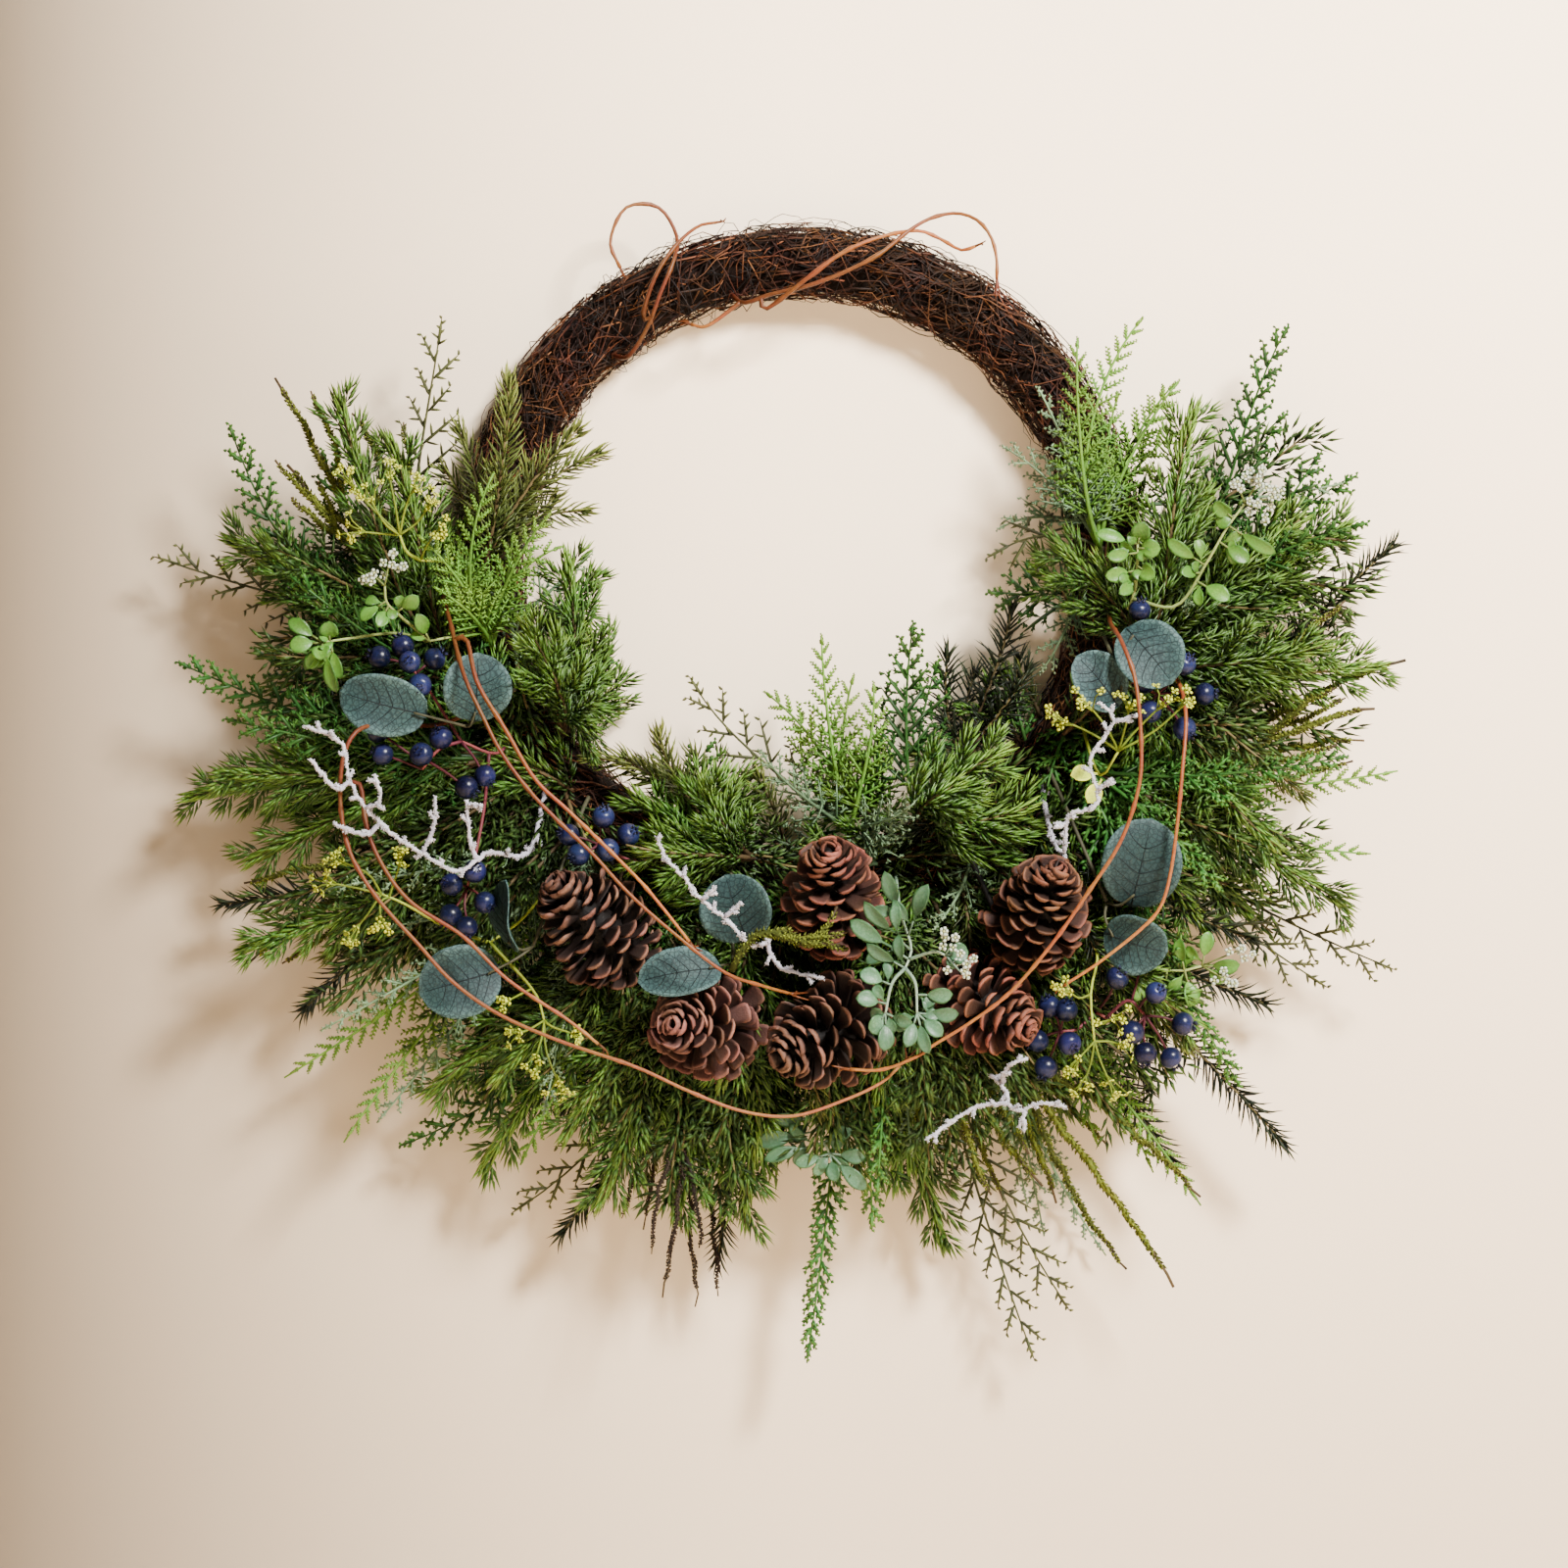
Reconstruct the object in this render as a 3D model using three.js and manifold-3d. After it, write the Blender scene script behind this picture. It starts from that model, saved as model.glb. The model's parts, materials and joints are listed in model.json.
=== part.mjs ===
// A winter wreath: a ring of fine twigs with a bare top, and evergreen picks, pinecones, berries,
// round leaves, frosted twigs and long vines set into its lower two thirds.
// Millimetres, +Z up. The wreath hangs on a wall in the plane y = 0 and is seen from -Y.
// The origin is on the flat back of the ring at twelve o'clock.
import * as THREE from "three";
import { mergeVertices } from "three/addons/utils/BufferGeometryUtils.js";
import Module from "manifold-3d";

const wasm = await Module();
wasm.setup();

// The ring: a bundle of twigs with a lay, cut flat where it meets the wall.
const RING_RADIUS = 192;
const RING_DEPTH = 16;
const CREST_RADIUS = 24;
const VALLEY_RADIUS = 20;
const RING_STEPS = 36;
const ROUND_STEPS = 12;
const LAY_TURNS = 2;
const BARE_ARC = [28, 152];
const LOOSE_TWIGS = 5;
const LOOSE_TWIG_HALF = 0.9;
const ROOTLETS = 5;
const LOOSE_TWIG_STEPS = 7;
const LOOSE_TWIG_SPAN = [34, 50];
const LOOSE_TWIG_SWING = [50, 110];
const LOOSE_TWIG_LIFT = 0.6;
const ROOTLET_LENGTH = [14, 20];
const WALL_CUT = 600;
const FINEST_EDGE = 0.3;

// Every stem stands in a plain hole of the ring.
const HOLE_DEPTH = 8;
const CLEARANCE = 0.3;
const STEM_HALF = 2;
const KNOT_HEIGHT = 9;
const KNOT_STEP = 4.5;
const PARTING = 32;

// The open middle of the wreath, kept free of foliage, as [low, high] for x and for z.
const OPENING_X = [-104, 104];
const OPENING_Z = [-30, 135];

// What each kind of shoot looks like: spacing of its side needles or leaflets, their longest reach,
// how far they lean off the stem, and whether they stand on two sides only.
const KINDS = {
  fir: { spacing: 25, reach: 17, lean: 42, flat: false, half: 1.5, colour: "olive" },
  dark_fir: { spacing: 26, reach: 17, lean: 50, flat: false, half: 1.3, colour: "spruce" },
  pine: { spacing: 26, reach: 15, lean: 30, flat: false, half: 1.9, colour: "pine" },
  cedar: { spacing: 24, reach: 34, lean: 42, flat: true, half: 1.2, colour: "cedar" },
  frosted: { spacing: 22, reach: 26, lean: 48, flat: true, half: 1.1, colour: "frosted" },
  glaucous: { spacing: 23, reach: 22, lean: 46, flat: true, half: 1.1, colour: "glaucous" },
  tracery: { spacing: 27, reach: 30, lean: 45, flat: true, half: 0.9, colour: "tracery" },
  fern: { spacing: 19, reach: 17, lean: 52, flat: true, half: 1.1, colour: "fern" },
  moss: { spacing: 36, reach: 13, lean: 35, flat: true, half: 1.2, colour: "moss" },
};

// Half thickness of the parts of a branched spray, and the size of what ends them.
const SPRAY_HALF = { stem: 1.2, twig: 2.2, vine: 1.6 };
const BERRY_RADIUS = 7.2;
const LEAF_HALF = [5, 0.5];
const LEAF_WIDEST = 0.66;
const DENSE_SPRAYS = ["leaf_spray_centre", "leaf_spray_bottom", "leaf_spray_right_low"];
const ROOT_HALF = { stem: [1, 1], leaf: [0.9, 0.5], floret: [0.7, 0.7] };
const FLORET_RADIUS = 3.4;
const LEAF_THICKNESS = 1;


// A pinecone's scales, and how wide its lips and its core are as shares of its width.
const SCALE_ROWS = 6;
const SCALES_PER_ROW = 6;
const SCALE_STEP = [0.05, 0.8];
const LIP_SHARE = 0.5;
const CORE_SHARE = 0.3;

// A round leaf: how wide it is at shares of its length, its cup across and its arch along.
const LEAF_ROWS = [[0.14, 0.6], [0.5, 1], [0.83, 0.66]];
const LEAF_CUP = 0.16;
const LEAF_ARCH = 0.1;

// Side branches grow from a short length of the stem, which ends at a point of its path.
const JOINT_LENGTH = 5;

// How a shoot leaves its knot and arrives at its tip, as shares of its length and of its bow.
const LEAVE_OUTWARD = 0.16;
const LEAVE_FORWARD = 0.14;
const ARRIVE_BACK = 0.34;
const BOW_SHARES = [0.8, 1.2];

// Shifts in depth and to the side that keep a stem clear of what is there, in the order tried.
const SHIFTS = [0, 5, -5, 10, -10, 15, -15, 20, -20, 26, -26, 32, -32, 40, 48];
const SPREADS = [0, 10, -10, 20, -20, 32, -32];
const BARE_STEM = 14;
const NEEDLE_TURN = 0.35;

// Room that a needle takes up, as radii at shares of its length, and the lengths tried for it.
const NEEDLE_SPOTS = [[0.12, 1.5], [0.3, 1.3], [0.5, 1], [0.75, 0.7], [1, 0.4]];
const NEEDLE_LENGTHS = [1, 0.75, 0.5, 0.3];

// The room taken up is kept as small balls in a grid of cells.
const CELL = 16;
const BALL_STEP = 2.5;
const RING_ROOM = 1.5;

const COLOURS = {
  twig: [0x4a2a1c, 0.85],
  cone: [0x5d3526, 0.75],
  eucalyptus: [0x4e6b66, 0.6],
  berry: [0x1b2350, 0.35],
  flocked: [0xd9d6de, 0.95],
  vine: [0xa3622e, 0.6],
  sage: [0x8fae8c, 0.7],
  umbel: [0xb9c46a, 0.7],
  olive: [0x4d5a2e, 0.75],
  spruce: [0x26381f, 0.7],
  pine: [0x3f6b26, 0.7],
  cedar: [0x2f6a2c, 0.7],
  frosted: [0x8db45a, 0.75],
  glaucous: [0x7d9c86, 0.8],
  tracery: [0x5f6543, 0.8],
  fern: [0x3f8a3c, 0.7],
  moss: [0x5c6a26, 0.95],
};

// Places are millimetres from the ring's centre: x, z and the distance off the wall.
// A pick: its name, the angle round the ring, the angle round the tube (0 outward, 90 to the
// viewer, 180 inward), and its shoots as kind, tip x, tip z, tip distance off the wall, bow.
const PICKS = [
  ["fir_olive_top_left", 182, 85, [
    ["fir", -177, 115, 92, -6], ["fir", -134, 85, 80, 8], ["fir", -122, 71, 64, 16],
    ["fir", -209, 86, 70, -10],
  ]],
  ["fir_olive_centre", 252, 125, [
    ["fir", -86, -101, 78, 6], ["fir", -108, -116, 62, -4], ["fir", -129, -115, 48, -12],
  ]],
  ["frosted_top_left", 194, 85, [
    ["frosted", -185, 56, 114, -4], ["frosted", -229, 17, 104, -8], ["frosted", -219, -14, 98, -6],
    ["frosted", -152, 32, 94, 8],
  ]],
  ["twigs_left_top", 187, 20, [
    ["moss", -321, 117, 66, -10], ["moss", -314, 64, 60, 4], ["tracery", -221, 146, 46, 6],
    ["tracery", -388, 5, 34, 6],
  ]],
  ["green_left_top", 198, 45, [
    ["pine", -282, 105, 80, 6], ["cedar", -349, 88, 64, 8], ["pine", -250, 78, 74, -4],
    ["cedar", -309, -6, 90, 4], ["pine", -352, 19, 50, -6], ["pine", -327, 17, 68, 6],
  ]],
  ["green_left_mid", 212, 50, [
    ["cedar", -382, -57, 62, 8], ["pine", -354, -126, 70, 4], ["cedar", -348, -93, 78, 4],
    ["pine", -378, -140, 52, -6], ["pine", -339, -180, 62, -6],
  ]],
  ["pine_left_inner", 215, 115, [
    ["pine", -142, 7, 72, -6], ["pine", -145, -48, 86, 6], ["pine", -130, -80, 70, 10],
    ["pine", -165, -36, 94, -6],
  ]],
  ["fir_dark_left", 223, 10, [
    ["dark_fir", -354, -206, 42, 6], ["dark_fir", -305, -271, 38, -6], ["pine", -339, -233, 58, 4],
    ["moss", -339, -243, 48, -8],
  ]],
  ["frosted_left_low", 232, 20, [
    ["frosted", -317, -313, 44, 6], ["frosted", -278, -351, 48, -6], ["glaucous", -291, -282, 58, 6],
    ["glaucous", -259, -340, 60, -6],
  ]],
  ["pine_bottom_left", 248, 35, [
    ["cedar", -247, -356, 60, 6], ["pine", -229, -323, 70, 8], ["pine", -195, -370, 56, -4],
    ["frosted", -171, -366, 72, 6], ["pine", -123, -390, 60, 4],
  ]],
  ["fir_dark_bottom", 262, 5, [
    ["dark_fir", -146, -409, 38, 6], ["dark_fir", -50, -426, 32, 4], ["pine", -75, -396, 50, -4],
    ["pine", -33, -401, 58, -6],
  ]],
  ["fern_bottom", 276, 25, [
    ["fern", 5, -488, 54, 6], ["fern", 45, -404, 62, -4], ["pine", 90, -418, 60, -6],
  ]],
  ["twigs_bottom_left", 255, -12, [
    ["tracery", -172, -394, 26, 6], ["moss", -64, -455, 34, -6], ["moss", -83, -445, 42, 6],
  ]],
  ["twigs_bottom_right", 287, 12, [
    ["tracery", 145, -486, 34, -6], ["tracery", 166, -455, 44, 6], ["moss", 230, -441, 60, 8],
    ["moss", 149, -378, 76, -4],
  ]],
  ["glaucous_bottom_right", 296, 35, [
    ["glaucous", 152, -412, 52, 4], ["glaucous", 191, -425, 44, -6], ["frosted", 247, -391, 58, 6],
    ["frosted", 219, -372, 68, 4],
  ]],
  ["fir_dark_right_low", 306, 10, [
    ["dark_fir", 229, -364, 46, -6], ["dark_fir", 298, -353, 52, 4], ["dark_fir", 289, -268, 44, -6],
  ]],
  ["twigs_right", 322, 5, [
    ["tracery", 364, -245, 42, -8], ["tracery", 319, -253, 50, -6], ["moss", 373, -56, 56, 12],
    ["moss", 353, -86, 62, 8],
  ]],
  ["fern_right", 325, 60, [
    ["fern", 271, -318, 70, -8], ["fern", 335, -115, 86, -8], ["fern", 255, -195, 98, 6],
    ["pine", 336, -207, 62, 6], ["frosted", 368, -124, 58, 8], ["frosted", 352, -175, 52, 6],
  ]],
  ["pine_right_top", 345, 42, [
    ["pine", 356, -60, 64, -6], ["pine", 320, -48, 78, -6], ["pine", 337, 26, 56, 4],
    ["pine", 307, 30, 68, 6], ["pine", 241, 97, 88, 6], ["pine", 159, 12, 92, -6],
  ]],
  ["fir_dark_right_top", 337, -5, [["dark_fir", 366, 15, 46, -8], ["dark_fir", 315, -36, 34, -6]]],
  ["cedar_right_top", 352, 12, [
    ["cedar", 302, 151, 46, 8], ["cedar", 341, 57, 36, 8], ["cedar", 320, 70, 54, -6],
  ]],
  ["frosted_right_top", 4, 100, [
    ["frosted", 170, 140, 84, 6], ["frosted", 211, 154, 66, 4], ["frosted", 233, 115, 58, 8],
    ["glaucous", 127, 74, 62, -8], ["glaucous", 148, 108, 74, -4], ["tracery", 128, 14, 46, -10],
  ]],
  ["fir_dark_centre", 311, 160, [
    ["dark_fir", 131, -22, 44, -6], ["dark_fir", 92, -52, 36, 6], ["dark_fir", 141, -60, 54, -4],
  ]],
  ["pine_centre", 295, 120, [
    ["pine", 124, -112, 90, 6], ["pine", 140, -146, 78, -6], ["cedar", 70, -36, 58, 6],
    ["pine", 96, -132, 98, 6],
  ]],
  ["frosted_centre", 281, 140, [
    ["frosted", 14, -41, 58, 4], ["frosted", -20, -76, 48, 8], ["frosted", 46, -72, 66, -6],
    ["glaucous", -22, -114, 76, 6], ["glaucous", 71, -143, 86, -6], ["tracery", -63, -73, 38, 10],
  ]],
  ["pine_centre_left", 261, 110, [
    ["pine", -99, -139, 72, 8], ["pine", -105, -169, 92, 4], ["pine", -57, -132, 84, 6],
  ]],
];
const CONES = [
  ["pinecone_left", [-126, -216, 88], [-0.62, 0.42, 0.62], 84, 68, 236, 60],
  ["pinecone_low_left", [-60, -279, 94], [-0.45, 0.85, 0.05], 76, 68, 257, 35],
  ["pinecone_centre", [21, -198, 90], [-0.1, 0.6, 0.62], 82, 66, 271, 75],
  ["pinecone_low_centre", [15, -286, 92], [-0.66, 0.52, -0.3], 82, 68, 269, 35],
  ["pinecone_right_top", [147, -207, 98], [0.2, 0.62, 0.55], 82, 64, 301, 80],
  ["pinecone_right_low", [116, -268, 84], [0.62, 0.5, -0.32], 76, 62, 297, 10],
];
const EUCALYPTUS = [
  ["eucalyptus_left_top", 203, 92, [-202, -97, 92], [
    [[-225, -91, 108], [-278, -77, 116], 34, 10],
    [[-197, -95, 100], [-194, -53, 108], 38, -10],
  ]],
  ["eucalyptus_left_low", 228, 80, [-162, -231, 86], [
    [[-176, -235, 98], [-182, -191, 108], 32, 70],
    [[-181, -245, 98], [-230, -259, 106], 40, 0],
  ]],
  ["eucalyptus_centre", 257, 100, [-40, -241, 84], [
    [[-31, -229, 98], [-45, -188, 106], 40, 10],
    [[-46, -242, 112], [-97, -250, 122], 28, -20],
  ]],
  ["eucalyptus_right_top", 349, 95, [196, -66, 92], [
    [[199, -36, 98], [227, -70, 106], 38, 10],
    [[196, -85, 94], [170, -54, 102], 30, -15],
  ]],
  ["eucalyptus_right_low", 322, 88, [188, -204, 84], [
    [[202, -208, 96], [214, -154, 108], 44, 0],
    [[185, -223, 96], [223, -235, 104], 34, -20],
  ]],
];
const TREES = [
  ["berries_left", "berry", 208, 78,
    ["stem", [[-184, -113, 70], [-206, -106, 84]], [
      ["stem", [[-225, -75, 92], [-236, -61, 96]], [
        ["berry", [[-255, -55, 98]]], ["berry", [[-241, -48, 95]]], ["berry", [[-222, -56, 92]]],
        ["berry", [[-236, -58, 108]]], ["berry", [[-230, -72, 104]]],
      ]],
      ["stem", [[-219, -111, 94], [-229, -123, 97]], [
        ["berry", [[-218, -104, 92]]], ["berry", [[-253, -114, 98]]], ["berry", [[-229, -114, 106]]],
        ["berry", [[-256, -100, 94]]], ["berry", [[-191, -127, 96]]], ["berry", [[-202, -134, 102]]],
      ]],
      ["stem", [[-192, -144, 76], [-197, -174, 84], [-202, -195, 90]], [
        ["berry", [[-197, -185, 100]]], ["berry", [[-211, -193, 98]]], ["berry", [[-191, -204, 98]]],
        ["berry", [[-212, -212, 94]]], ["berry", [[-202, -219, 100]]],
      ]],
    ]],
  ],
  ["berries_centre_left", "berry", 243, 85,
    ["stem", [[-99, -180, 70], [-122, -169, 84]], [
      ["berry", [[-140, -163, 92]]], ["berry", [[-134, -175, 94]]], ["berry", [[-119, -152, 94]]],
      ["berry", [[-116, -172, 100]]], ["berry", [[-104, -163, 92]]],
    ]],
  ],
  ["berries_right_top", "berry", 341, 75,
    ["stem", [[199, -67, 60], [219, -77, 74]], [
      ["berry", [[208, -26, 84]]], ["berry", [[235, -59, 92]]], ["berry", [[211, -70, 84]]],
      ["berry", [[214, -88, 92]]], ["berry", [[248, -77, 78]]], ["berry", [[235, -98, 88]]],
    ]],
  ],
  ["berries_right_low", "berry", 310, 28,
    ["stem", [[162, -243, 44], [175, -266, 60], [188, -275, 76]], [
      ["stem", [[201, -264, 84], [211, -273, 88]], [
        ["berry", [[209, -237, 88]]], ["berry", [[217, -259, 98]]], ["berry", [[203, -283, 98]]],
        ["berry", [[234, -278, 90]]], ["berry", [[211, -296, 90]]], ["berry", [[227, -299, 84]]],
      ]],
      ["stem", [[170, -282, 74], [160, -283, 78]], [
        ["berry", [[153, -268, 82]]], ["berry", [[163, -270, 84]]], ["berry", [[146, -289, 76]]],
        ["berry", [[165, -290, 88]]], ["berry", [[151, -305, 80]]], ["berry", [[194, -250, 92]]],
      ]],
    ]],
  ],
  ["flocked_left", "flocked", 219, 62,
    ["twig", [
      [-165, -173, 66], [-189, -174, 104], [-206, -185, 117], [-226, -175, 120], [-243, -164, 124],
      [-256, -152, 128], [-265, -142, 131], [-272, -125, 134], [-274, -110, 136], [-282, -103, 138],
    ], [
      ["twig", [[-286, -101, 137], [-298, -97, 138]]],
      ["twig", [[-261, -163, 128], [-281, -155, 134]]],
      ["twig", [[-279, -135, 136], [-294, -117, 139]]],
      ["twig", [[-252, -141, 136], [-256, -126, 140]]],
      ["twig", [[-199, -167, 112], [-201, -142, 118]], [
        ["twig", [[-192, -145, 124]]],
      ]],
      ["twig", [[-220, -156, 122], [-220, -139, 126]]],
    ]],
  ],
  ["flocked_centre", "flocked", 254, 68,
    ["twig", [
      [-21, -222, 66], [-21, -229, 98], [-32, -227, 116], [-44, -214, 118], [-59, -202, 121],
      [-68, -190, 122], [-80, -177, 123], [-86, -164, 124],
    ], [
      ["twig", [[-15, -240, 88], [-9, -245, 94], [1, -247, 98], [16, -250, 102]]],
      ["twig", [[-50, -194, 124]]], ["twig", [[-35, -204, 122]]],
    ]],
  ],
  ["flocked_right", "flocked", 320, 84,
    ["twig", [
      [154, -162, 84], [161, -174, 104], [163, -152, 116], [179, -146, 120], [180, -135, 122],
      [176, -117, 124], [190, -94, 126], [181, -83, 128],
    ], [
      ["twig", [[155, -158, 122]]], ["twig", [[206, -90, 127]]], ["twig", [[189, -129, 126]]],
    ]],
  ],
  ["flocked_low", "flocked", 290, 20,
    ["twig", [
      [91, -259, 38], [97, -288, 40], [107, -302, 62], [118, -310, 82], [126, -318, 92], [130, -330, 98],
      [147, -326, 104], [162, -328, 108],
    ], [
      ["twig", [[128, -303, 100], [138, -299, 104]]],
      ["twig", [[105, -330, 92], [77, -349, 96]]],
      ["twig", [[137, -342, 100]]],
    ]],
  ],
  ["vine_top_left", "vine", 131, 148,
    ["vine", [
      [-105, 131, 50], [-93, 149, 52], [-85, 170, 52], [-77, 190, 48], [-75, 205, 38], [-83, 221, 36],
      [-94, 226, 38], [-108, 222, 42], [-116, 202, 46], [-110, 186, 48],
    ], [
      ["vine", [[-96, 155, 56], [-88, 180, 56], [-75, 200, 50], [-62, 212, 40], [-51, 215, 32]]],
    ]],
  ],
  ["vine_top_right", "vine", 104, 148,
    ["vine", [
      [-34, 164, 50], [-17, 169, 54], [5, 174, 56], [27, 182, 56], [50, 194, 54], [67, 208, 48],
      [82, 217, 42], [98, 220, 40], [111, 215, 42], [119, 204, 44], [122, 191, 46], [122, 179, 48],
    ], [
      ["vine", [
        [-20, 160, 52], [5, 178, 62], [27, 194, 61], [50, 204, 56], [73, 209, 44], [88, 204, 40],
        [100, 197, 44], [109, 199, 50],
      ]],
      ["vine", [[-56, 150, 50], [-66, 151, 46]]],
    ]],
  ],
  ["vine_left", "vine", 181, 42,
    ["vine", [
      [-217, -14, 66], [-211, -36, 106], [-202, -66, 132], [-190, -92, 139], [-179, -113, 142],
      [-163, -135, 144], [-146, -153, 144], [-125, -173, 144], [-102, -198, 144], [-76, -221, 144],
      [-45, -245, 142], [-21, -254, 130], [-5, -259, 114],
    ], [
      ["vine", [
        [-201, -45, 116], [-194, -71, 128], [-177, -99, 133], [-159, -129, 135], [-138, -149, 135],
        [-101, -185, 135], [-85, -203, 135], [-66, -227, 135],
      ]],
    ]],
  ],
  ["vine_low", "vine", 203, 60,
    ["vine", [
      [-218, -95, 74], [-249, -96, 98], [-266, -99, 118], [-275, -115, 124], [-277, -142, 124],
      [-273, -167, 127], [-265, -185, 129], [-251, -205, 131], [-230, -228, 132], [-209, -251, 132],
      [-182, -270, 134], [-146, -286, 136], [-99, -302, 138], [-66, -317, 138], [-34, -329, 136],
      [-3, -332, 133], [29, -322, 130], [50, -312, 128], [61, -302, 126],
    ], [
      ["vine", [
        [-266, -132, 114], [-262, -156, 117], [-253, -179, 120], [-235, -203, 122], [-203, -224, 123],
        [-176, -250, 125], [-140, -274, 127], [-121, -289, 128],
      ]],
    ]],
  ],
  ["vine_right", "vine", 353, 84,
    ["vine", [
      [190, -34, 88], [195, -46, 122], [203, -71, 132], [206, -108, 138], [204, -135, 142],
      [193, -167, 144], [173, -198, 146], [152, -228, 146], [127, -257, 145], [102, -276, 143],
      [81, -289, 141], [71, -296, 139], [50, -304, 136], [31, -304, 133],
    ], [
      ["vine", [
        [199, -56, 58], [218, -55, 62], [230, -66, 80], [235, -89, 102], [232, -126, 114],
        [229, -156, 116], [225, -185, 117], [219, -206, 116], [207, -220, 114], [182, -240, 112],
        [161, -254, 108],
      ]],
    ]],
  ],
  ["leaf_spray_top_left", "sage", 191, 70,
    ["stem", [[-207, -41, 74], [-225, -45, 90]], [
      ["stem", [[-242, -30, 102], [-250, -22, 106], [-251, -12, 110]], [
        ["floret", [[-248, 3, 114]]], ["floret", [[-256, -7, 114]]], ["leaf", [[-231, -19, 112]]],
        ["leaf", [[-266, -32, 110]]], ["leaf", [[-254, -36, 118]]],
      ]],
      ["stem", [[-246, -40, 84], [-270, -43, 96], [-289, -46, 105]], [
        ["leaf", [[-279, -68, 106]]], ["leaf", [[-298, -62, 106]]], ["leaf", [[-282, -77, 104]]],
        ["leaf", [[-290, -56, 114]]], ["leaf", [[-285, -34, 110]]], ["leaf", [[-310, -32, 104]]],
        ["leaf", [[-309, -48, 108]]],
      ]],
      ["leaf", [[-231, -30, 106]]],
    ]],
  ],
  ["leaf_spray_top_right", "sage", 357, 60,
    ["stem", [[201, -25, 74], [205, -14, 86]], [
      ["stem", [[206, 0, 94], [206, 14, 98]], [
        ["leaf", [[181, 21, 104]]], ["leaf", [[209, 26, 108]]], ["leaf", [[188, 6, 106]]],
        ["leaf", [[219, 11, 104]]], ["leaf", [[187, -6, 102]]], ["leaf", [[215, -6, 106]]],
        ["leaf", [[196, -16, 108]]],
      ]],
      ["stem", [[231, -23, 72], [249, 3, 80], [261, 24, 84], [272, 39, 86]], [
        ["leaf", [[225, 16, 88]]], ["leaf", [[234, -3, 92]]], ["leaf", [[253, 39, 88]]],
        ["leaf", [[274, 4, 90]]], ["leaf", [[290, 8, 88]]], ["leaf", [[262, -19, 88]]],
        ["floret", [[268, 49, 90]]], ["floret", [[281, 54, 90]]], ["floret", [[291, 43, 88]]],
        ["floret", [[279, 36, 94]]],
      ]],
    ]],
  ],
  ["leaf_spray_centre", "sage", 288, 88,
    ["stem", [[62, -210, 84], [68, -231, 118], [64, -243, 132]], [
      ["stem", [[56, -252, 138], [52, -270, 140]], [
        ["leaf", [[37, -245, 142]]], ["leaf", [[35, -260, 146]]], ["leaf", [[67, -276, 148]]],
      ]],
      ["stem", [[70, -252, 138], [71, -270, 141]], [
        ["leaf", [[92, -259, 144]]], ["leaf", [[77, -294, 146]]], ["leaf", [[86, -283, 146]]],
      ]],
      ["stem", [[81, -233, 136], [88, -235, 140]], [
        ["floret", [[92, -228, 144]]], ["floret", [[98, -246, 144]]], ["leaf", [[102, -233, 140]]],
      ]],
      ["leaf", [[31, -215, 134]]], ["leaf", [[52, -187, 128]]], ["leaf", [[76, -194, 130]]],
      ["leaf", [[41, -230, 146]]],
    ]],
  ],
  ["leaf_spray_bottom", "sage", 268, 12,
    ["stem", [[2, -276, 44], [7, -318, 48], [11, -342, 66], [19, -358, 76]], [
      ["leaf", [[-26, -352, 70]]], ["leaf", [[-15, -337, 72]]], ["leaf", [[-2, -364, 82]]],
      ["leaf", [[41, -360, 80]]], ["leaf", [[22, -374, 84]]], ["leaf", [[41, -380, 78]]],
    ]],
  ],
  ["leaf_spray_right_low", "sage", 317, 38,
    ["stem", [[195, -228, 66], [225, -246, 78], [246, -243, 84]], [
      ["leaf", [[241, -268, 86]]], ["leaf", [[223, -270, 78]]], ["leaf", [[231, -227, 88]]],
      ["floret", [[269, -233, 88]]], ["floret", [[260, -251, 90]]], ["leaf", [[268, -243, 92]]],
    ]],
  ],
  ["umbels_top_left", "umbel", 176, 48,
    ["stem", [[-215, 5, 70], [-230, 4, 98]], [
      ["stem", [[-238, 9, 106], [-242, 19, 109]], [
        ["floret", [[-273, 51, 114]]], ["floret", [[-259, 40, 118]]], ["floret", [[-248, 54, 114]]],
        ["floret", [[-233, 48, 116]]], ["floret", [[-225, 35, 112]]], ["floret", [[-266, 21, 112]]],
      ]],
      ["floret", [[-221, 19, 110]]],
    ]],
  ],
  ["umbels_left_low", "umbel", 231, 64,
    ["stem", [[-165, -210, 66], [-189, -229, 74]], [
      ["stem", [[-214, -220, 80], [-240, -205, 92], [-254, -199, 95]], [
        ["floret", [[-285, -192, 100]]], ["floret", [[-278, -179, 102]]], ["floret", [[-269, -220, 98]]],
        ["floret", [[-254, -214, 104]]], ["floret", [[-242, -180, 102]]],
      ]],
      ["stem", [[-162, -258, 84], [-155, -276, 92]], [
        ["floret", [[-177, -264, 98]]], ["floret", [[-170, -283, 100]]], ["floret", [[-137, -284, 96]]],
        ["floret", [[-160, -298, 100]]], ["floret", [[-146, -314, 98]]],
      ]],
    ]],
  ],
  ["umbel_right_low", "umbel", 314, 48,
    ["stem", [[176, -222, 58], [182, -237, 86], [177, -259, 108], [179, -288, 113]], [
      ["floret", [[164, -258, 116]]], ["floret", [[190, -274, 116]]], ["floret", [[194, -290, 112]]],
      ["floret", [[173, -312, 112]]], ["floret", [[188, -312, 114]]], ["floret", [[169, -298, 118]]],
    ]],
  ],
  ["umbel_right_top", "umbel", 334, 92,
    ["stem", [[183, -126, 84], [194, -112, 104]], [
      ["floret", [[161, -94, 112]]], ["floret", [[175, -84, 118]]], ["floret", [[200, -85, 122]]],
      ["floret", [[220, -84, 116]]], ["floret", [[235, -82, 122]]], ["leaf", [[166, -126, 108]]],
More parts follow.
